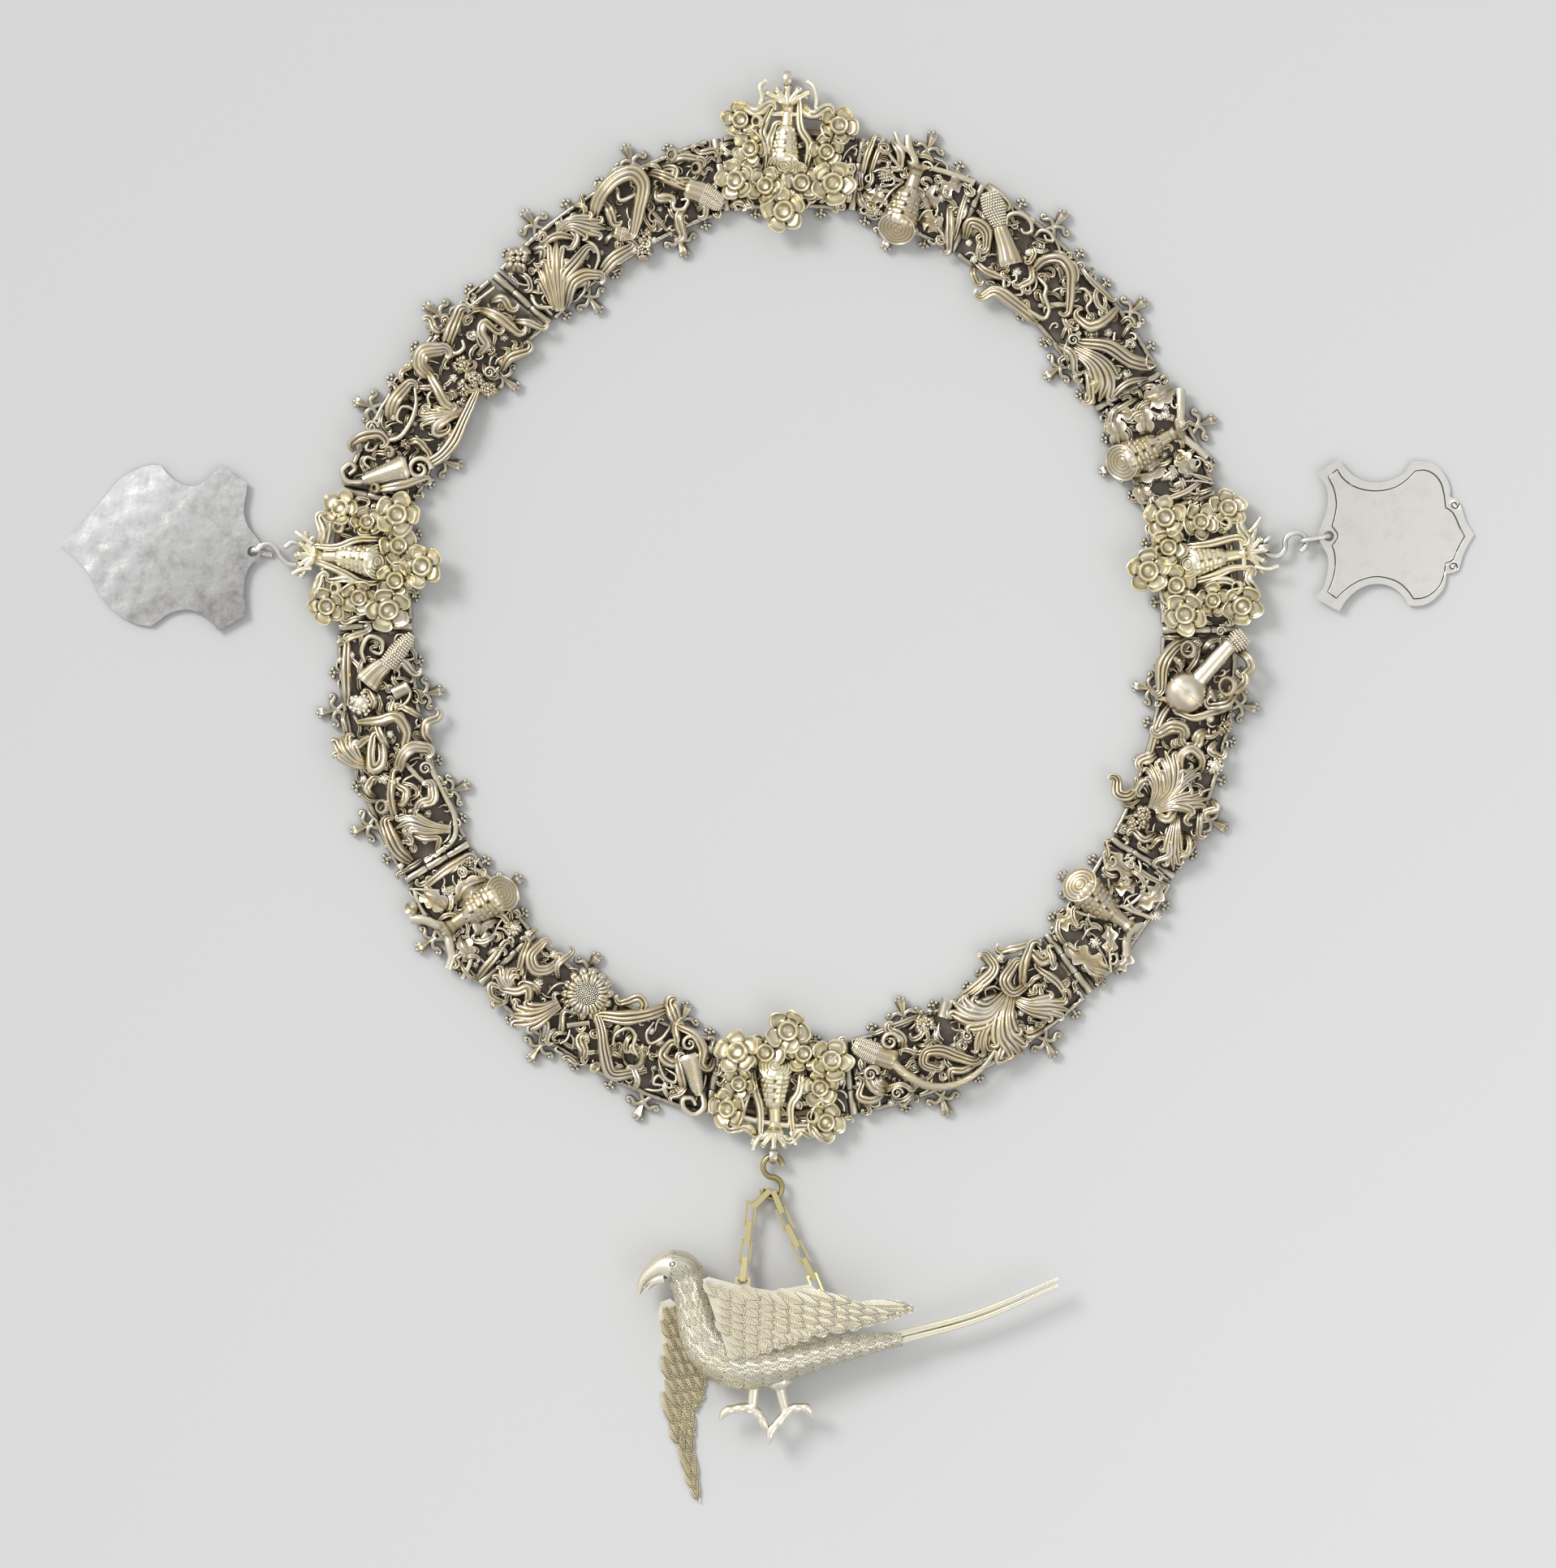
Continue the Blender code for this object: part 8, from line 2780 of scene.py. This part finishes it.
    def add_legs(self) -> None:
        """Model legs with ruffed thighs, knuckled toes and claws."""
        for number, places in enumerate(BIRD_LEGS):
            count = 26
            path = run_along([self.place(x, y) for x, y in places], count)
            u = np.linspace(0.0, 1.0, count)
            if number % 3 == 0:
                ruff = np.where(u[:, None] < 0.46, 0.12 * np.abs(np.cos(6.0 * math.pi * np.arange(24) / 24)), 0.0)
                add_tube(self.skin, path, np.interp(u, *LEG_GIRTH) * MM, 24, 0.85, wave=ruff, finish=1)
            else:
                add_tube(self.skin, path, np.interp(u, *TOE_GIRTH) * MM, 14, finish=1)

    def add_lug(self, place: Sequence[float], links: int) -> None:
        """Model one wire lug on the bird's back.

        Args:
            place: its place in shares of the bird's length.
            links: links of the strand that hangs in it, which sets how it stands.
        """
        first = np.array([1.0, 0.0, 0.0]) if links % 2 else UP
        second = np.array([0.0, 1.0, 0.0])
        normal = np.cross(first, second)
        turns = circle(24)
        centre = self.place(*place)
        rings = []
        for turn in turns:
            away = first * math.cos(turn) + second * math.sin(turn)
            rings.append([centre + away * (2.2 * MM + 0.8 * MM * math.cos(a)) + normal * 0.8 * MM * math.sin(a)
                          for a in circle(8)])
        self.skin.loft(np.array(rings), True, 1)

    def add_wing(self, plan: WingPlan, low: float) -> None:
        """Model one wing: a thin sheet under rows of separate feathers that step down to its edge.

        Args:
            plan: how its feathers lie.
            low: height of its underside.
        """
        rim = np.array([self.place(x, y)[:2] for x, y in plan.outline])
        rim = np.vstack([np.linspace(rim[i], rim[(i + 1) % len(rim)], 7)[:-1] for i in range(len(rim))])
        mesh = sheet_mesh(plan.name, rim, 0.0, 1.6 * MM, 0.45 * WING_THICKNESS, lambda x, y: low, None, np.zeros(3))
        skin = Skin()
        skin.take(mesh, 1)
        start, end = self.place(*plan.shoulder)[:2], self.place(*plan.tip)[:2]
        span = end - start
        reach = float(np.linalg.norm(span))
        along = span / reach
        beside = np.array([-along[1], along[0]])
        knots = np.linspace(0.0, 1.0, len(plan.angles))
        chance = np.random.default_rng(len(plan.name))
        rows = int(reach / (plan.pitch[0] * MM))
        for row in range(rows, -3, -1):
            for number in range(-plan.columns, plan.columns + 1):
                aside = (number + (0.5 if row % 2 else 0.0)) * plan.pitch[1] * MM
                root = start + along * (row + 0.3) * plan.pitch[0] * MM + beside * aside
                share = min(1.0, max(0.0, float(np.dot(root - start, along)) / reach))
                angle, length, width = (float(np.interp(share, knots, table)) for table in
                                        (plan.angles, plan.lengths, plan.widths))
                way = np.array([math.cos(math.radians(angle)), math.sin(math.radians(angle))])
                ahead = next((k for k in range(10, 0, -1) if inside(rim, *(root + way * length * MM * k / 10))), 0)
                long = length * min(1.0, ahead / 10 + 0.12)
                if not inside(rim, *root) or long < plan.shortest:
                    continue
                skew = math.radians(angle + chance.uniform(-plan.spread, plan.spread))
                add_feather(skin, np.append(root, 0.0), skew, long * MM, width * MM,
                            low + (0.48 + 0.02 * (row % 3)) * WING_THICKNESS, 0.62 * WING_THICKNESS)
        self.shop.stand(plan.name, skin, f"{plan.finish} smooth", plan.node, "silver_gilt", 60.0)


def smooth_table(knots: np.ndarray, values: np.ndarray, where: np.ndarray) -> np.ndarray:
    """Smoothly interpolated values of a table.

    Args:
        knots: places of the table's rows.
        values: its values.
        where: places to read.

    Returns:
        Values at those places.
    """
    slopes = np.gradient(values, knots)
    index = np.clip(np.searchsorted(knots, where) - 1, 0, len(knots) - 2)
    span = knots[index + 1] - knots[index]
    x = (where - knots[index]) / span
    return smooth_span(x, span, values[index], values[index + 1], slopes[index], slopes[index + 1])


def scale_height(a: float, b: float) -> float:
    """Height of overlapping scales at a place counted in scales along and across.

    Args:
        a: place along the body, in scales.
        b: place round the body, in scales.

    Returns:
        Share of a scale's full height.
    """
    for row in range(math.floor(a) - 1, math.floor(a) + 2):
        shift = 0.5 if row % 2 else 0.0
        side = ((b + shift) - math.floor(b + shift) - 0.5) * 2.0
        reach = row + 1.0 + 0.5 * (1.0 - abs(side) ** 1.6)
        if row <= a <= reach:
            return (a - row) / (reach - row) - 0.4 * abs(side) + 0.25 * math.exp(-(side / 0.18) ** 2)
    return 0.0


@dataclass
class BirdChains:
    """The hook under the bottom medallion and the two strands of box links."""

    shop: Workshop
    link: LinkPlace
    bird: Bird
    end_width: float = 6.2 * MM
    width: float = 4.5 * MM
    height: float = 2.3 * MM
    overlap: float = 1.3 * MM

    def build(self) -> None:
        """Model the hook and both strands."""
        bail, out = bail_place(self.link)
        skin = Skin()
        add_tube(skin, s_hook(bail, out, BOTTOM_HOOK_REACH, 28), HOOK_WIRE * 1.02, 14)
        self.shop.stand("hook_bottom_wire", skin, "link", "hook_bottom", "silver_gilt")
        side = left_of(out)
        quarter = 0.25 * BOTTOM_HOOK_REACH
        clear = HOOK_WIRE + CHAIN_WIRE + WIRE_GAP
        for number, node in enumerate(("strand_left", "strand_right")):
            angle = math.radians(STRAND_STARTS[number])
            wire = out * (3.0 * quarter + math.cos(angle) * quarter) + side * (math.sin(angle) * HOOK_HALF_WIDTH)
            away = unit(out * (math.cos(angle) / quarter) + side * (math.sin(angle) / HOOK_HALF_WIDTH))
            self.add_strand(node, bail + wire - away * clear, self.bird.place(*BIRD_LUGS[number]), number)

    def add_strand(self, node: str, start: np.ndarray, end: np.ndarray, number: int) -> None:
        """Set the box links of one strand through the node tree.

        Args:
            node: node of the frame that the strand stands for.
            start: where it starts.
            end: where it ends.
            number: which strand it is.
        """
        straight = end - start
        aside = unit(-left_of(straight))
        route = [start]
        for share, offset, height in STRAND_ROUTES[number]:
            place = start + straight * share + aside * offset
            route.append(np.array([place[0], place[1], height]))
        route.append(end)
        spans = [float(np.linalg.norm(b - a)) for a, b in zip(route, route[1:])]
        links = STRAND_LINKS[number]
        step = 2.0 * CHAIN_WIRE * math.cos(math.pi / 4.0) - CHAIN_BITE
        length = (sum(spans) + (links - 1) * step) / links
        places, sizes, turns = [], [], []
        for index in range(links):
            distance = 0.5 * length + index * (length - step)
            leg = 0
            while leg < len(spans) - 1 and distance > spans[leg]:
                distance -= spans[leg]
                leg += 1
            forward = (route[leg + 1] - route[leg]) / spans[leg]
            places.append(route[leg] + forward * distance)
            wide = self.end_width if index in (0, links - 1) else self.width
            sizes.append([length + self.overlap, wide, self.height])
            yaw = math.atan2(forward[1], forward[0])
            pitch = -math.asin(max(-1.0, min(1.0, float(forward[2]))))
            turns.append([0.0 if index % 2 else math.pi / 2.0, pitch, yaw])
        mesh = self.shop.scattered(self.shop.box_link, np.array(places), np.array(sizes), np.array(turns), 0.02,
                                   number, "link")
        mesh.shade_flat()
        self.shop.stand(f"{node}_links", mesh, "link", node, "silver_gilt")


@dataclass(frozen=True)
class Studio:
    """Pale floor, soft light and the camera over the object."""

    floor: float = 6.0
    tall: float = 0.61824
    middle: tuple[float, float] = (0.00429, 0.00173)
    distance: float = 2.6
    mid_height: float = 0.006
    sensor: float = 36.0

    def build(self) -> None:
        """Make floor, lights, world and camera."""
        bpy.ops.mesh.primitive_plane_add(size=self.floor, location=(0.0, 0.0, -0.0001))
        floor = bpy.context.object
        floor.name = "studio_floor"
        floor.data.materials.append(StudioPaper().build())
        self.add_light("key from upper left", (-2.5, 2.15, 3.1), 1.5, 112.0)
        self.add_light("fill from lower right", (0.95, -0.85, 1.5), 1.2, 6.0)
        self.add_world()
        self.add_camera()

    def add_light(self, name: str, place: Sequence[float], size: float, power: float) -> None:
        """Add a square soft light that faces the object.

        Args:
            name: name of the light.
            place: its place.
            size: its side.
            power: its power in watts.
        """
        lamp = bpy.data.lights.new(name, "AREA")
        lamp.size = size
        lamp.energy = power
        item = bpy.data.objects.new(name, lamp)
        item.location = place
        item.rotation_euler = (Vector((0.0, 0.0, 0.0)) - Vector(place)).to_track_quat("-Z", "Y").to_euler()
        bpy.context.scene.collection.objects.link(item)

    def add_world(self) -> None:
        """Light the scene from a soft grey tent, brighter to the upper left and dim overhead."""
        world = bpy.data.worlds.new("soft tent")
        world.use_nodes = True
        bpy.context.scene.world = world
        graph = Graph(world.node_tree)
        graph.tree.nodes.clear()
        way = graph.add("ShaderNodeTexCoord").outputs["Generated"]
        height = graph.add("ShaderNodeSeparateXYZ", {0: way}).outputs["Z"]
        glow = graph.remap(graph.lean(way, (-0.62, 0.55, 0.35)), -0.5, 0.85, 0.62, 1.16)
        zenith = graph.remap(height, 0.82, 1.0, 1.0, 0.90)
        shade = graph.add("ShaderNodeBackground", {"Strength": graph.maths("MULTIPLY", glow, zenith)},
                          {"Color": linear("#f4f5f6")})
        graph.add("ShaderNodeOutputWorld", {0: shade.outputs[0]})

    def add_camera(self) -> None:
        """Put the camera straight overhead, so that the frame's size fits at mid height."""
        lens = bpy.data.cameras.new("camera")
        lens.sensor_fit = "VERTICAL"
        lens.sensor_height = self.sensor
        lens.lens = self.sensor * (self.distance - self.mid_height) / self.tall
        item = bpy.data.objects.new("camera", lens)
        item.location = (self.middle[0], self.middle[1], self.distance)
        bpy.context.scene.collection.objects.link(item)
        bpy.context.scene.camera = item
        bpy.context.scene.view_settings.view_transform = "Standard"
        bpy.context.scene.view_settings.look = "None"


def main() -> None:
    """Build every sub-assembly of the collar in order."""
    logging.basicConfig(level=logging.INFO, format="%(name)s: %(message)s")
    Studio().build()
    shop = Workshop()
    bird = Bird(shop)
    for index in range(len(HINGES)):
        link = LinkPlace(index)
        for part in (Plate(shop, link), Wreath(shop, link) if link.name in ROSES else Casting(shop, link)):
            part.build()
            part.dress()
        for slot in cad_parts[f"hinge_pin_{index + 1:02d}"].material_slots:
            slot.material = shop.finish["wire"]
        if link.name in ("left", "right"):
            ShieldTag(shop, link).build()
        elif link.name == "bottom":
            BirdChains(shop, link, bird).build()
    bird.build()
    shop.close()


if __name__ == "__main__":
    main()
